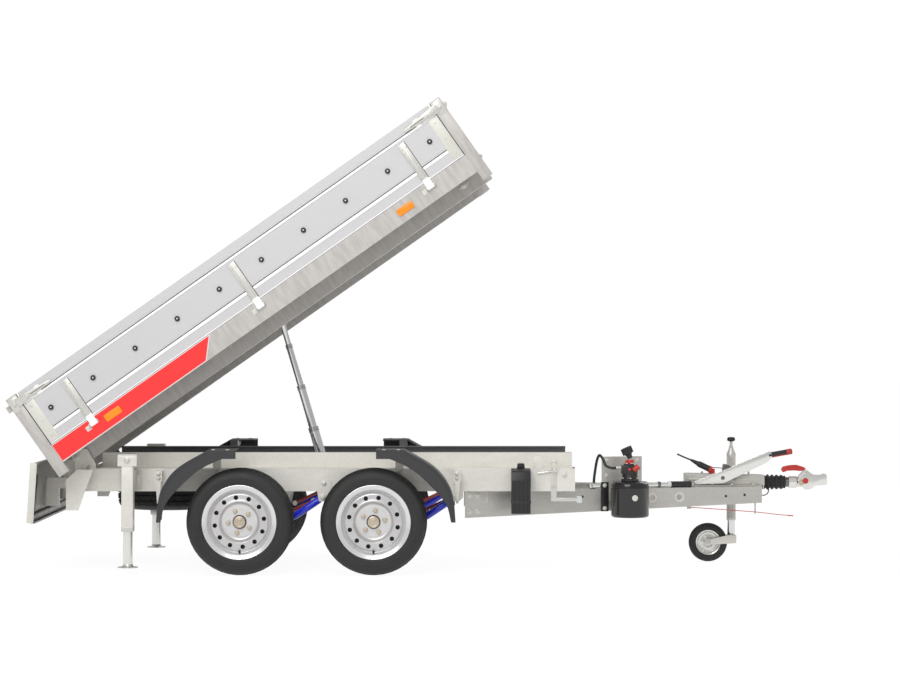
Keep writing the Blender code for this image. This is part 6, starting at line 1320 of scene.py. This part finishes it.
def build_housing():
    main = bmesh.new()
    for x in (1.7245, 1.866):
        for side in (-1, 1):
            spot = (x, side * (bar_y(x) + 0.0002), 0.354)
            ring = [(0.016, -0.02), (0.0204, -0.02), (0.0204, 0.0), (0.0252, 0.0), (0.0246, 0.0022),
                (0.0175, 0.0022), (0.016, 0.0008)]
            lathe(main, ring, DATUM @ toward(spot, (math.sin(ARM_LEAN), side * math.cos(ARM_LEAN), 0)), 40,
                3)
    for x, z in ((1.367, 0.3645), (2.1085, 0.3552), (2.207, 0.36)):
        for side in (-1, 1):
            spot = (x, side * (bar_y(x) + 0.0001), z)
            lathe(main, [(0, -0.001), (0.0068, -0.001), (0.0068, 0.0005), (0, 0.0005)],
                DATUM @ toward(spot, (math.sin(ARM_LEAN), side, 0)), 24, 2)
    side = [(1.9067, 0.4078), (2.3148, 0.4078), (2.3148, 0.4582), (2.29, 0.459), (1.93, 0.4664),
        (1.9067, 0.4664)]
    plate(main, rounded(side, 0.008, 4, (4, 5, 2)), "xz", -0.0546, 0.0546, 0, 0.008, DATUM, 4)
    box(main, (1.9067, -0.0798, 0.4021), (2.2983, 0.0798, 0.4079), 0, 0.0012, DATUM)
    flange = spots((1.945, 2.045, 2.145, 2.255), (-0.0685, 0.0685), 0.4079)
    bolts(main, flange, (0, 0, 1), 0.0165, 0.009, 1, DATUM)
    # Ribs along the sides and a rolled front flange
    for s in (-1, 1):
        rib = rounded([(1.925, 0.43), (2.29, 0.43), (2.29, 0.444), (1.925, 0.444)], 0.005, 4)
        plate(main, rib, "xz", s * 0.054, s * 0.0568, 0, 0.001, DATUM)
    lathe(main, [(0.025, 0), (0.0385, 0), (0.0385, 0.005), (0.036, 0.006), (0.025, 0.006)],
        DATUM @ toward((2.309, 0, AXIS_Z), (1, 0, 0)), 48, 1)
    for x in (2.0, 2.24):
        rod(main, (x, 0.02, 0.46), (x, 0.02, 0.474), 0.0055, 1, 6, 0.0006, DATUM)
        rivet(main, (x, 0.02, 0.4735), (0, 0, 1), 0.004, 1, DATUM)
    piece("overrun_case", main, [GALVANISED, ZINC, BLACK, CREAM_PLATE], "frame",
        ["overrun_housing"])


def build_bellows():
    main = bmesh.new()
    start, length = HOUSING_FRONT_X + 0.0003, BELLOWS_FRONT_X - HOUSING_FRONT_X - 0.0006
    profile = [(0.0256, 0.0), (0.0345, 0.0), (0.0352, 0.0012), (0.0352, 0.0065), (0.032, 0.008)]
    fold = (length - 0.018) / 4
    for i in range(4):
        base = 0.009 + fold * i
        crown = 0.0405 - 0.0012 * i
        for share, radius in ((0.1, 0.0315), (0.24, 0.036), (0.34, crown - 0.0018), (0.42, crown),
                (0.52, crown), (0.6, crown - 0.0018), (0.72, 0.0355), (0.88, 0.0312), (0.98, 0.0305)):
            profile.append((radius, base + fold * share))
    profile += [(0.031, length - 0.0085), (0.0325, length - 0.007), (0.0325, length - 0.001),
        (0.0318, length), (0.0256, length)]
    lathe(main, profile, DATUM @ toward((start, 0, AXIS_Z), (1, 0, 0)), 72, 0)
    arc = [(2.296, -0.068, 0.3555), (2.315, -0.064, 0.357), (2.331, -0.048, 0.366), (2.338, -0.03, 0.383),
        (2.3385, -0.02, 0.393)]
    pipe(main, arc, 0.0026, 0, 6, 4, DATUM)
    piece("rubber_bellows", main, [RUBBER], "frame", ["overrun_bellows"], 40)


def build_head():
    main = bmesh.new()
    inner = rounded(list(HEAD_POINTS), 0.01, 5)
    # Pressed head: a middle body between two slimmer cheeks
    plate(main, inner, "xz", -0.024, 0.024, 0, 0.003, DATUM, 3)
    cheek = rounded([(2.4975, 0.444), (2.525, 0.47), (2.568, 0.4535), (2.606, 0.452), (2.629, 0.456),
        (2.635, 0.448), (2.635, 0.411), (2.574, 0.406), (2.564, 0.39), (2.529, 0.386), (2.521, 0.401),
        (2.48, 0.401)], 0.01, 5)
    for side in (-1, 1):
        plate(main, cheek, "xz", side * 0.023, side * 0.0316, 0, 0.004, DATUM, 3)
        bolt(main, (2.505, side * 0.031, 0.42), (0, side, 0), 0.017, 0.009, 1, True, DATUM)
        # Round wear indicator button on the near cheek
        lathe(main, [(0, 0), (0.015, 0), (0.015, 0.0025), (0.013, 0.004), (0, 0.0044)],
            DATUM @ toward((2.527, side * 0.0312, 0.428), (0, side, 0)), 36, 2)
    shaft = [(0, 0), (0.0246, 0), (0.025, 0.001), (0.025, 0.208), (0.023, 0.21), (0, 0.21)]
    lathe(main, shaft, DATUM @ toward((2.3155, 0, AXIS_Z), (1, 0, 0)), 48, 3)
    lathe(main, [(0.0252, 0), (0.03, 0), (0.031, 0.001), (0.031, 0.039), (0.03, 0.04), (0.0252, 0.04)],
        DATUM @ toward((2.443, 0, AXIS_Z), (1, 0, 0)), 48, 0)
    socket = bmesh.new()
    bmesh.ops.create_uvsphere(socket, u_segments=32, v_segments=20, radius=0.0255)
    socket.transform(DATUM @ Matrix.Translation((2.593, 0, 0.4)))
    piece("ball_coupling", main, [BRIGHT_ZINC, BRASS_ZINC, RED, STEEL_DARK], "frame",
        ["coupling_head"], 30, socket)


def build_handle():
    main = bmesh.new()
    plate(main, rounded(list(HANDLE_POINTS), 0.006, 5), "xz", -0.0136, 0.0136, 0, 0.0045, DATUM, 4)
    piece("coupling_grip", main, [RED], "frame", ["coupling_handle"], 40)


def build_brake_lever():
    main = bmesh.new()
    y = -0.07225
    blade = rounded([(1.9531, 0.411), (1.9531, 0.424), (2.3429, 0.583), (2.35, 0.5495), (2.326, 0.5261),
        (2.0972, 0.4165)], 0.01, 5)
    for low, high in ((-0.061, -0.0588), (-0.0857, -0.0835)):
        plate(main, blade, "xz", low, high, 0, 0.0006, DATUM)
    spine = [(1.96, 0.418), (1.958, 0.424), (2.34, 0.58), (2.344, 0.574), (1.964, 0.416)]
    plate(main, spine, "xz", -0.085, -0.0595, 0, 0.0006, DATUM)
    rod(main, (2.0972, -0.086, 0.445), (2.0972, -0.0555, 0.445), 0.011, 1, 28, 0.0012, DATUM)
    bolt(main, (2.0972, -0.085, 0.445), (0, -1, 0), 0.016, 0.0009, 1, False, DATUM)
    # Toothed quadrant between the two blades
    teeth = []
    for k in range(15):
        angle = math.radians(20 + k * 5)
        radius = 0.074 if k % 2 else 0.07
        teeth.append((2.0972 + radius * math.cos(angle), 0.445 + radius * math.sin(angle)))
    quadrant = [(2.0972, 0.435), (2.165, 0.435)] + teeth + [(2.09, 0.448)]
    plate(main, quadrant, "xz", -0.074, -0.07, 1, 0.0004, DATUM)
    start, end = Vector((2.332, y, 0.56)), Vector((2.4527, y, 0.582))
    along = (end - start).normalized()
    grip = [(0, 0), (0.0128, 0.0), (0.0146, 0.002), (0.0148, 0.01)]
    length = (end - start).length
    for k in range(9):
        base = 0.012 + k * 0.0095
        grip += [(0.0148, base), (0.0139, base + 0.002), (0.0139, base + 0.0042), (0.0148, base + 0.0062)]
    grip += [(0.0149, length - 0.01), (0.0143, length - 0.003), (0.0115, length), (0, length)]
    first = len(main.faces)
    lathe(main, grip, DATUM @ toward(start, along), 32, 2)
    colour_faces(main, first, lambda face: face.normal.z < -0.55, 3)
    rod(main, end - along * 0.03, end - along * 0.002, 0.015, 3, 32, 0.003, DATUM)
    piece("handbrake", main, [BRIGHT_ZINC, STEEL_DARK, BLACK, RED], "frame", ["brake_lever"])


build_housing()
build_bellows()
build_head()
build_handle()
build_brake_lever()

# %% [markdown]
# ## Plug in its holder, with the slim lead behind it

# %%
PLUG_Y = -0.03
PLUG_LOW, PLUG_HIGH, PLUG_NECK = (2.045, 0.4835), (1.973, 0.518), (1.939, 0.5352)


def build_plug():
    main = bmesh.new()
    low, high = Vector((PLUG_LOW[0], PLUG_Y, PLUG_LOW[1])), Vector((PLUG_HIGH[0], PLUG_Y, PLUG_HIGH[1]))
    along = high - low
    length = along.length
    body = [(0, 0), (0.015, 0), (0.0164, 0.0015), (0.0164, 0.012), (0.015, 0.013), (0.015, 0.016),
        (0.016, 0.017)]
    for k in range(5):
        base = 0.02 + k * 0.0085
        body += [(0.016, base), (0.0152, base + 0.0015), (0.0152, base + 0.0035), (0.016, base + 0.005)]
    body += [(0.016, length - 0.012), (0.0135, length - 0.003), (0.0122, length), (0, length)]
    turn = DATUM @ toward(low, along)
    lathe(main, body, turn, 32, 0)
    neck = Vector((PLUG_NECK[0], PLUG_Y, PLUG_NECK[1]))
    boot_length = (neck - high).length
    boot = [(0, -0.002), (0.0122, -0.002)]
    for k in range(5):
        share = k / 5
        radius = 0.012 - 0.0056 * share
        boot += [(radius, boot_length * (share + 0.02)), (radius - 0.0011, boot_length * (share + 0.07)),
            (radius - 0.0011, boot_length * (share + 0.12)), (radius - 0.0008,
            boot_length * (share + 0.17))]
    boot += [(0.0064, boot_length), (0, boot_length)]
    lathe(main, boot, DATUM @ toward(high, neck - high), 28, 0)
    stub = [tuple(neck), (1.905, PLUG_Y, 0.549), (1.868, PLUG_Y, 0.5655)]
    pipe(main, stub, 0.0042, 0, 4, 4, DATUM)
    wire = [(2.04, PLUG_Y, 0.496), (2.08, 0.01, 0.493), (2.13, 0.1, 0.485), (2.162, 0.126, 0.48)]
    pipe(main, wire, 0.0022, 0, 5, 3, DATUM)
    # Red parking socket round the plug's nose, on its foot
    rod(main, low, low + along.normalized() * 0.016, 0.0172, 1, 32, 0.0015, DATUM)
    box(main, (2.029, PLUG_Y - 0.008, 0.4655), (2.0612, PLUG_Y + 0.008, 0.49), 1, 0.002, DATUM)
    piece("lighting_plug", main, [BLACK, RED], "frame", ["plug"], 34)


build_plug()

# %% [markdown]
# ## Jockey wheel on the left arm

# %%
JOCKEY = (2.1638, 0.15)
FORK_Z = 0.138


def build_jockey():
    place = DATUM @ Matrix.Translation((*JOCKEY, 0))
    main = bmesh.new()
    tube = [(0.021, 0.2146), (0.0236, 0.2146), (0.024, 0.2156), (0.024, 0.23), (0.0236, 0.231),
        (0.0236, 0.54), (0.024, 0.5412), (0.024, 0.556), (0.0232, 0.5604), (0.019, 0.57), (0.015, 0.58),
        (0.012, 0.588), (0.0112, 0.592), (0, 0.592), (0, 0.55), (0.021, 0.55)]
    lathe(main, tube, place, 48, 0)
    # Clamp: two jaws round the tube, held to the arm by a screw
    arm = bar_y(JOCKEY[0] - 0.018) + 0.0006
    box(main, (-0.0178, arm - JOCKEY[1], 0.3505), (0.0178, -0.02, 0.401), 1, 0.002, place)
    for z in (0.352, 0.392):
        lathe(main, [(0.0242, 0), (0.0275, 0), (0.028, 0.0005), (0.028, 0.0065), (0.0275, 0.007),
            (0.0242, 0.007)], place @ Matrix.Translation((0, 0, z)), 40, 1)
    crank = bmesh.new()
    rod(crank, (0, 0, 0.5924), (0, 0, 0.627), 0.0078, 1, 24, 0.0008, place)
    lathe(crank, [(0.008, 0.5925), (0.0112, 0.5925), (0.0112, 0.599), (0.0102, 0.6), (0.008, 0.6)], place,
        32, 1)
    knob = [(0, 0.624), (0.013, 0.6242), (0.018, 0.626), (0.0206, 0.63), (0.021, 0.635), (0.02, 0.641),
        (0.0165, 0.645), (0.01, 0.6462), (0, 0.6463)]
    lathe(crank, knob, place, 40, 0)
    piece("jockey_outer", main, [ZINC, GALVANISED], "frame", ["jockey_tube"])
    piece("jockey_knob", crank, [BLACK, ZINC], "frame", ["jockey_crank"])
    inner = bmesh.new()
    lathe(inner, [(0, 0.1381), (0.02, 0.1381), (0.0205, 0.139), (0.0205, 0.439), (0.0195, 0.44), (0, 0.44)],
        place, 48, 0)
    piece("jockey_shaft", inner, [CHROME], "jockey_jack", ["jockey_inner"])


def build_fork():
    place = DATUM @ Matrix.Translation((*JOCKEY, FORK_Z))
    drop = 0.1 - FORK_Z
    main = bmesh.new()
    outline = [(0.0238, -0.0004), (-0.0238, -0.0004), (-0.1291, drop + 0.0118), (-0.137, drop),
        (-0.1291, drop - 0.0118), (0.0238, drop - 0.0038)]
    outline = rounded(outline, 0.009, 4)
    for side in (-1, 1):
        plate(main, outline, "xz", side * 0.0311, side * 0.0349, 0, 0.0008, place)
        raised = rounded([(0.01, -0.008), (-0.02, -0.008), (-0.106, drop + 0.004), (-0.106, drop - 0.003),
            (0.01, drop + 0.004)], 0.006, 4)
        plate(main, raised, "xz", side * 0.0345, side * 0.0358, 0, 0.0006, place)
        bolt(main, (-0.1211, side * 0.0349, drop), (0, side, 0), 0.013, 0.0058, 1, True, place)
    box(main, (-0.0102, -0.033, -0.0063), (0.0238, 0.033, -0.0004), 0, 0.001, place)
    box(main, (0.02, -0.033, drop - 0.0038), (0.0239, 0.033, -0.0004), 0, 0.001, place)
    rod(main, (-0.1211, -0.038, drop), (-0.1211, 0.038, drop), 0.0079, 1, 24, 0.0008, place)
    piece("jockey_cheeks", main, [CHASSIS, ZINC], "jockey_fork", ["jockey_fork"])
    wheel = bmesh.new()
    hub = DATUM @ Matrix.Translation((JOCKEY[0] - 0.1211, JOCKEY[1], 0.1)) @ Matrix.Rotation(math.pi / 2, 4,
        "X")
    tyre = [(0.064, -0.02), (0.064, 0.02), (0.069, 0.0232), (0.078, 0.025), (0.085, 0.0246),
        (0.0915, 0.0225), (0.096, 0.019), (0.0985, 0.014), (0.0985, 0.0125), (0.0965, 0.0115),
        (0.0965, 0.009), (0.0992, 0.008), (0.0998, 0.006), (0.1, 0.0)]
    tyre = tyre + [(r, -z) for r, z in tyre[::-1] if z > 0 and r > 0.065]
    lathe(wheel, tyre, hub, 80, 0)
    centre = [(0.0085, -0.0235), (0.0085, 0.0235), (0.0165, 0.0235), (0.017, 0.022), (0.0185, 0.008),
        (0.023, 0.006), (0.0255, 0.012), (0.03, 0.015), (0.0345, 0.014), (0.037, 0.006), (0.042, 0.005),
        (0.045, 0.011), (0.05, 0.012), (0.0525, 0.007), (0.056, 0.009), (0.059, 0.019), (0.064, 0.0205),
        (0.065, 0.0195), (0.065, -0.0195), (0.064, -0.0205), (0.059, -0.019), (0.056, -0.009),
        (0.048, -0.006), (0.03, -0.006), (0.0185, -0.008), (0.017, -0.022), (0.0165, -0.0235)]
    lathe(wheel, centre, hub, 64, 1)
    for k in range(6):
        turn = hub @ Matrix.Rotation(math.tau * k / 6, 4, "Z")
        for face in (-1, 1):
            box(wheel, (0.018, -0.0022, face * 0.0055), (0.058, 0.0022, face * 0.012), 1, 0.001, turn)
    piece("jockey_roller", wheel, [RUBBER, BRIGHT_ZINC], "jockey_wheel", ["jockey_wheel"])


build_jockey()
build_fork()

# %% [markdown]
# ## Hand pump on the right arm

# %%
TANK_X, TANK_R, TANK_LOW = 1.6008, 0.096, 0.266
TANK_Y = -(bar_y(TANK_X - TANK_R) + TANK_R + 0.008)


def arm_plate(main, x0, x1, low, high, start, thick, material, soft=0.001):
    # A plate lying along the right arm's outer face, start away from it
    points = [(x0, -bar_y(x0) - start), (x1, -bar_y(x1) - start), (x1, -bar_y(x1) - start - thick),
        (x0, -bar_y(x0) - start - thick)]
    plate(main, points, "xy", low, high, material, soft, DATUM)


def build_tank():
    main = bmesh.new()
    place = DATUM @ Matrix.Translation((TANK_X, TANK_Y, 0))
    profile = [(0, TANK_LOW), (0.084, TANK_LOW), (0.0905, TANK_LOW + 0.003), (0.0945, TANK_LOW + 0.009),
        (0.0955, TANK_LOW + 0.016), (0.0955, 0.408), (0.0958, 0.409), (0.0958, 0.415), (0.0955, 0.416),
        (0.095, 0.424), (0.0925, 0.433), (0.087, 0.44), (0.078, 0.444), (0.07, 0.4448), (0, 0.4448)]
    lathe(main, profile, place, 96, 0)
    for k in range(12):
        turn = place @ Matrix.Rotation(math.tau * k / 12, 4, "Z")
        box(main, (0.07, -0.0012, 0.4405), (0.086, 0.0012, 0.4447), 0, 0.0008, turn)
    # Level plug low on the near side
    spot = (1.62, TANK_Y - math.sqrt(0.0955 ** 2 - (1.62 - TANK_X) ** 2), 0.366)
    out = (1.62 - TANK_X, spot[1] - TANK_Y, 0)
    lathe(main, [(0, -0.002), (0.015, -0.002), (0.015, 0.0016), (0.0135, 0.0026), (0, 0.0026)],
        DATUM @ toward(spot, out), 28, 1)
    piece("oil_tank", main, [GLOSS, CREAM_PLATE], "frame", ["pump_tank"], 40)


def build_block():
    main = bmesh.new()
    place = DATUM @ Matrix.Translation((TANK_X, TANK_Y, 0))
    flange = [(0, 0.4454), (0.044, 0.4454), (0.0448, 0.4462), (0.0448, 0.456), (0.043, 0.458), (0.04, 0.459),
        (0.039, 0.461), (0.039, 0.498), (0, 0.498)]
    lathe(main, flange, place, 64, 0)
    for k in range(6):
        angle = math.tau * (k + 0.5) / 6
        bolt(main, (0.0415 * math.cos(angle), 0.0415 * math.sin(angle), 0.4588), (0, 0, 1), 0.007, 0.005, 1,
            False, place)
    box(main, (-0.0438, -0.0315, 0.483), (0.0218, 0.0315, 0.526), 0, 0.0025, place)
    box(main, (-0.03, -0.026, 0.5255), (0.018, 0.026, 0.534), 0, 0.002, place)
    # Capped screws on top and at the front
    y = -0.015
    for x in (-0.018, 0.008):
        rod(main, (x, y, 0.533), (x, y, 0.5478), 0.0082, 2, 24, 0.0018, place)
        rod(main, (x, y, 0.533), (x, y, 0.5375), 0.01, 1, 6, 0.0005, place)
    rod(main, (0.021, -0.01, 0.512), (0.0438, -0.01, 0.516), 0.0078, 2, 24, 0.0018, place)
    rod(main, (0.0205, -0.01, 0.5118), (0.027, -0.01, 0.513), 0.01, 1, 6, 0.0005, place)
    # Hose union at the rear
    rod(main, (-0.0445, 0.0, 0.512), (-0.036, 0.0, 0.512), 0.011, 1, 6, 0.0006, place)
    # Red collar round the stem, a red plug at the side and a red stud in front
    lathe(main, [(0, 0.5335), (0.0195, 0.5335), (0.0205, 0.535), (0.0205, 0.55), (0.0185, 0.553),
        (0, 0.553)], place, 40, 2)
    rod(main, (0.016, -0.028, 0.5), (0.042, -0.028, 0.522), 0.0145, 2, 28, 0.002, place)
    rod(main, (-0.004, -0.03, 0.506), (-0.004, -0.038, 0.506), 0.0075, 2, 24, 0.0015, place)
    for k in range(3):
        rod(main, (-0.04 + k * 0.016, -0.03, 0.49), (-0.04 + k * 0.016, -0.036, 0.49), 0.006, 0, 6, 0.0006,
            place)
    # Star knob on its stem, leaning back
    rod(main, (0, 0, 0.533), (0, 0, 0.566), 0.0075, 1, 20, 0.0006, place)
    leaning = place @ Matrix.Translation((0, 0, 0.566)) @ Matrix.Rotation(math.radians(-24), 4, "Y")
    star = []
    for k in range(60):
        angle = math.tau * k / 60
        radius = 0.025 + 0.0038 * math.cos(angle * 6)
        star.append((radius * math.cos(angle), radius * math.sin(angle)))
    plate(main, star, "xy", 0.018, 0.052, 3, 0.003, leaning, 3)
    lathe(main, [(0, -0.006), (0.0115, -0.006), (0.0125, -0.004), (0.0135, 0.008), (0.02, 0.0185),
        (0, 0.0185)], leaning, 36, 3)
    piece("valve_unit", main, [BLACK_STEEL, ZINC, RED, BLACK], "frame", ["pump_block"], 34)


def build_pump_plate():
    main = bmesh.new()
    arm_plate(main, 1.464, 1.6704, 0.342, 0.5645, 0.0004, 0.0038, 0)
    arm_plate(main, 1.4603, 1.4997, 0.2893, 0.4365, 0.0004, 0.0095, 1, 0.0015)
    off_arm = (math.sin(ARM_LEAN), -math.cos(ARM_LEAN), 0)
    bolts(main, spots(1.48, -bar_y(1.48) - 0.01, (0.305, 0.42)), off_arm, 0.011, 0.006, 2, DATUM)
    for xs, zs, across, head in (((1.53, 1.65), (0.36, 0.392), 0.012, 0.0065),
            ((1.49, 1.645), (0.47, 0.545), 0.011, 0.006)):
        for x in xs:
            bolts(main, spots(x, -bar_y(x) - 0.0042, zs), off_arm, across, head, 2, DATUM)
    # Shelf that carries the tank's head, cut round it
    reach = 0.0455
    shelf_low = TANK_Y + TANK_R * 0.3
    arc = [(TANK_X + reach * math.cos(math.radians(a)),
        TANK_Y + reach * math.sin(math.radians(a))) for a in range(140, 39, -10)]
    corners = [(TANK_X - 0.048, shelf_low)] + arc + [(TANK_X + 0.048, shelf_low),
        (TANK_X + 0.048, -bar_y(TANK_X + 0.048) - 0.003), (TANK_X - 0.048, -bar_y(TANK_X - 0.048) - 0.003)]
    plate(main, corners, "xy", 0.4454, 0.449, 0, 0.0006, DATUM)
    piece("pump_bracket", main, [ARM_STEEL, BLACK_STEEL, CREAM_PLATE], "frame", ["pump_plate"])


def build_pump_lever():
    # The socket's radius and a hair of clearance above the arm's top
    z = BAR_TOP + 0.0003 + 0.0165
    start = Vector((1.4, 0.015 - bar_y(1.4), z))
    grip = Vector((1.82, 0.015 - bar_y(1.82), z))
    end = Vector((1.928, 0.015 - bar_y(1.928), z))
    along = (end - start).normalized()
    main = bmesh.new()
    rod(main, start, grip + along * 0.02, 0.0132, 0, 32, 0.001, DATUM)
    rod(main, start, start + along * 0.016, 0.0163, 0, 32, 0.002, DATUM)
    rod(main, grip - along * 0.016, grip + along * 0.002, 0.0155, 3, 32, 0.001, DATUM)
    length = (end - grip).length
    profile = [(0, 0), (0.015, 0), (0.0163, 0.0015), (0.0163, 0.006)]
    for k in range(10):
        base = 0.01 + k * 0.0088
        profile += [(0.0161, base), (0.015, base + 0.0018), (0.015, base + 0.004), (0.0161, base + 0.0058)]
    profile += [(0.0163, length - 0.006), (0.0155, length - 0.0015), (0.012, length), (0, length)]
    lathe(main, profile, DATUM @ toward(grip, end - grip), 36, 1)
    # Spring clips that hold the lever on the arm
    for x in (1.47, 1.76):
        spot = start + along * ((x - start.x) / along.x)
        ring = [(0.0134, -0.007), (0.0134, 0.007), (0.015, 0.007), (0.015, -0.007)]
        lathe(main, ring, DATUM @ toward(spot, along), 32, 2)
    piece("hand_lever", main, [BRIGHT_ZINC, BLACK, STEEL_DARK, WHITE_PLATE], "frame", ["pump_lever"])


HOSE_POINTS = ((1.4275, -0.285, 0.445), (1.431, -0.292, 0.48), (1.44, -0.325, 0.545), (1.452, -0.352, 0.573),
    (1.469, -0.372, 0.553), (1.481, -0.385, 0.524), (1.508, -0.394, 0.512), (1.532, -0.395, 0.512))


def build_hose():
    main = bmesh.new()
    foot = (1.4265, 0.0365 - bar_y(1.4265), 0.402)
    last = (TANK_X - 0.0445, *HOSE_POINTS[-1][1:])
    route = [foot, (*foot[:2], foot[2] + 0.028), *HOSE_POINTS, last]
    pipe(main, route, 0.0068, 0, 8, 6, DATUM)
    rod(main, foot, (*foot[:2], foot[2] + 0.01), 0.01, 1, 6, 0.0006, DATUM)
    rod(main, (*foot[:2], foot[2] + 0.01), (*foot[:2], foot[2] + 0.026), 0.0082, 1, 28, 0.001, DATUM)
    rod(main, (last[0] - 0.024, last[1], last[2]), (last[0] - 0.007, last[1], last[2]), 0.0082, 1, 28, 0.001,
        DATUM)
    rod(main, (last[0] - 0.008, last[1], last[2]), last, 0.0098, 1, 6, 0.0006, DATUM)
    piece("pressure_hose", main, [BLACK, ZINC], "frame", ["pump_hose"], 40)


build_tank()
build_block()
build_pump_plate()
build_pump_lever()
build_hose()

# %% [markdown]
# ## Wheel chock in its holder

# %%


def build_chock():
    main = bmesh.new()
    inner = 0.5203
    low_y = inner + 0.095
    section = rounded([(-inner, 0.2932), (-low_y + 0.024, 0.2932), (-low_y, 0.455), (-low_y + 0.012, 0.5045),
        (-inner - 0.024, 0.5163), (-inner, 0.5163)], 0.008, 4, (1, 2, 3, 4))
    plate(main, section, "yz", 1.0045, 1.099, 0, 0.003, DATUM, 3)
    # Ribs on the chock's near face and a holder band with its tab
    for x in (1.018, 1.04, 1.062, 1.084):
        rib = [(-low_y + 0.0235, 0.3), (-low_y + 0.019, 0.3), (-low_y - 0.0018, 0.453),
            (-low_y + 0.003, 0.456)]
        plate(main, rib, "yz", x, x + 0.005, 0, 0.001, DATUM)
    box(main, (1.0026, -low_y + 0.013, 0.345), (1.1008, -inner, 0.36), 1, 0.001, DATUM)
    tab = rounded([(1.032, 0.5155), (1.073, 0.5155), (1.069, 0.541), (1.036, 0.541)], 0.006, 4, (2, 3))
    plate(main, tab, "xz", -inner - 0.008, -inner - 0.002, 0, 0.001, DATUM)
    piece("chock", main, [BLACK, BLACK_STEEL], "frame", ["wheel_chock"], 34)


build_chock()

# %% [markdown]
# ## Floor and light
# A pale floor and a plain white room. The camera sees pure white, and the lamps
# stay at the level that keeps colours as they are written.

# %%
ROOM_LIGHT = 0.54
KEY_POWER = 480
FILL_POWER = 110
# The floor's own colour, the glow that the camera sees on it, and that glow's share
FLOOR_TONE, FLOOR_GLOW, FLOOR_SHARE = 0.86, 1.09, 0.86
BACKDROP = 1.05


def build_floor():
    part = bmesh.new()
    bmesh.ops.create_grid(part, x_segments=1, y_segments=1, size=60)
    part.transform(Matrix.Translation((0, 0, -0.0005)))
    mesh = bpy.data.meshes.new("floor")
    part.to_mesh(mesh)
    part.free()
    floor = add_object("floor", mesh)
    material = bpy.data.materials.new("pale_floor")
    material.use_nodes = True
    tree = material.node_tree
    shader = tree.nodes["Principled BSDF"]
    shader.inputs["Base Color"].default_value = (FLOOR_TONE, FLOOR_TONE, FLOOR_TONE, 1)
    shader.inputs["Roughness"].default_value = 0.9
    shader.inputs["Specular IOR Level"].default_value = 0.1
    glow = tree.nodes.new("ShaderNodeEmission")
    glow.inputs["Strength"].default_value = FLOOR_GLOW
    rays = tree.nodes.new("ShaderNodeLightPath")
    seen = tree.nodes.new("ShaderNodeMath")
    seen.operation = "MAXIMUM"
    tree.links.new(rays.outputs["Is Camera Ray"], seen.inputs[0])
    tree.links.new(rays.outputs["Is Glossy Ray"], seen.inputs[1])
    share = tree.nodes.new("ShaderNodeMath")
    share.operation = "MULTIPLY"
    share.inputs[1].default_value = FLOOR_SHARE
    tree.links.new(seen.outputs["Value"], share.inputs[0])
    mix = tree.nodes.new("ShaderNodeMixShader")
    tree.links.new(share.outputs["Value"], mix.inputs["Fac"])
    tree.links.new(shader.outputs["BSDF"], mix.inputs[1])
    tree.links.new(glow.outputs["Emission"], mix.inputs[2])
    tree.links.new(mix.outputs["Shader"], tree.nodes["Material Output"].inputs["Surface"])
    mesh.materials.append(material)


def build_world():
    world = bpy.data.worlds.new("white_room")
    bpy.context.scene.world = world
    world.use_nodes = True
    tree = world.node_tree
    tree.nodes.clear()
    plain = tree.nodes.new("ShaderNodeBackground")
    plain.inputs["Color"].default_value = (1, 1, 1, 1)
    plain.inputs["Strength"].default_value = ROOM_LIGHT
    shown = tree.nodes.new("ShaderNodeBackground")
    shown.inputs["Color"].default_value = (1, 1, 1, 1)
    shown.inputs["Strength"].default_value = BACKDROP
    rays = tree.nodes.new("ShaderNodeLightPath")
    mix = tree.nodes.new("ShaderNodeMixShader")
    tree.links.new(rays.outputs["Is Camera Ray"], mix.inputs["Fac"])
    tree.links.new(plain.outputs["Background"], mix.inputs[1])
    tree.links.new(shown.outputs["Background"], mix.inputs[2])
    output = tree.nodes.new("ShaderNodeOutputWorld")
    tree.links.new(mix.outputs["Shader"], output.inputs["Surface"])


def build_lamp(name, spot, target, size, power):
    data = bpy.data.lights.new(name, "AREA")
    data.shape = "SQUARE"
    data.size = size
    data.energy = power
    lamp = add_object(name, data)
    lamp.location = spot
    lamp.rotation_euler = (Vector(target) - Vector(spot)).to_track_quat("-Z", "Y").to_euler()


build_floor()
build_world()
build_lamp("key", (-2.5, -9.0, 7.0), (0, 0, 0.9), 6.0, KEY_POWER)
build_lamp("fill", (5.0, 6.0, 5.0), (0, 0, 0.8), 4.0, FILL_POWER)

# %% [markdown]
# ## Last update of the scene

# %%
bpy.context.view_layer.update()
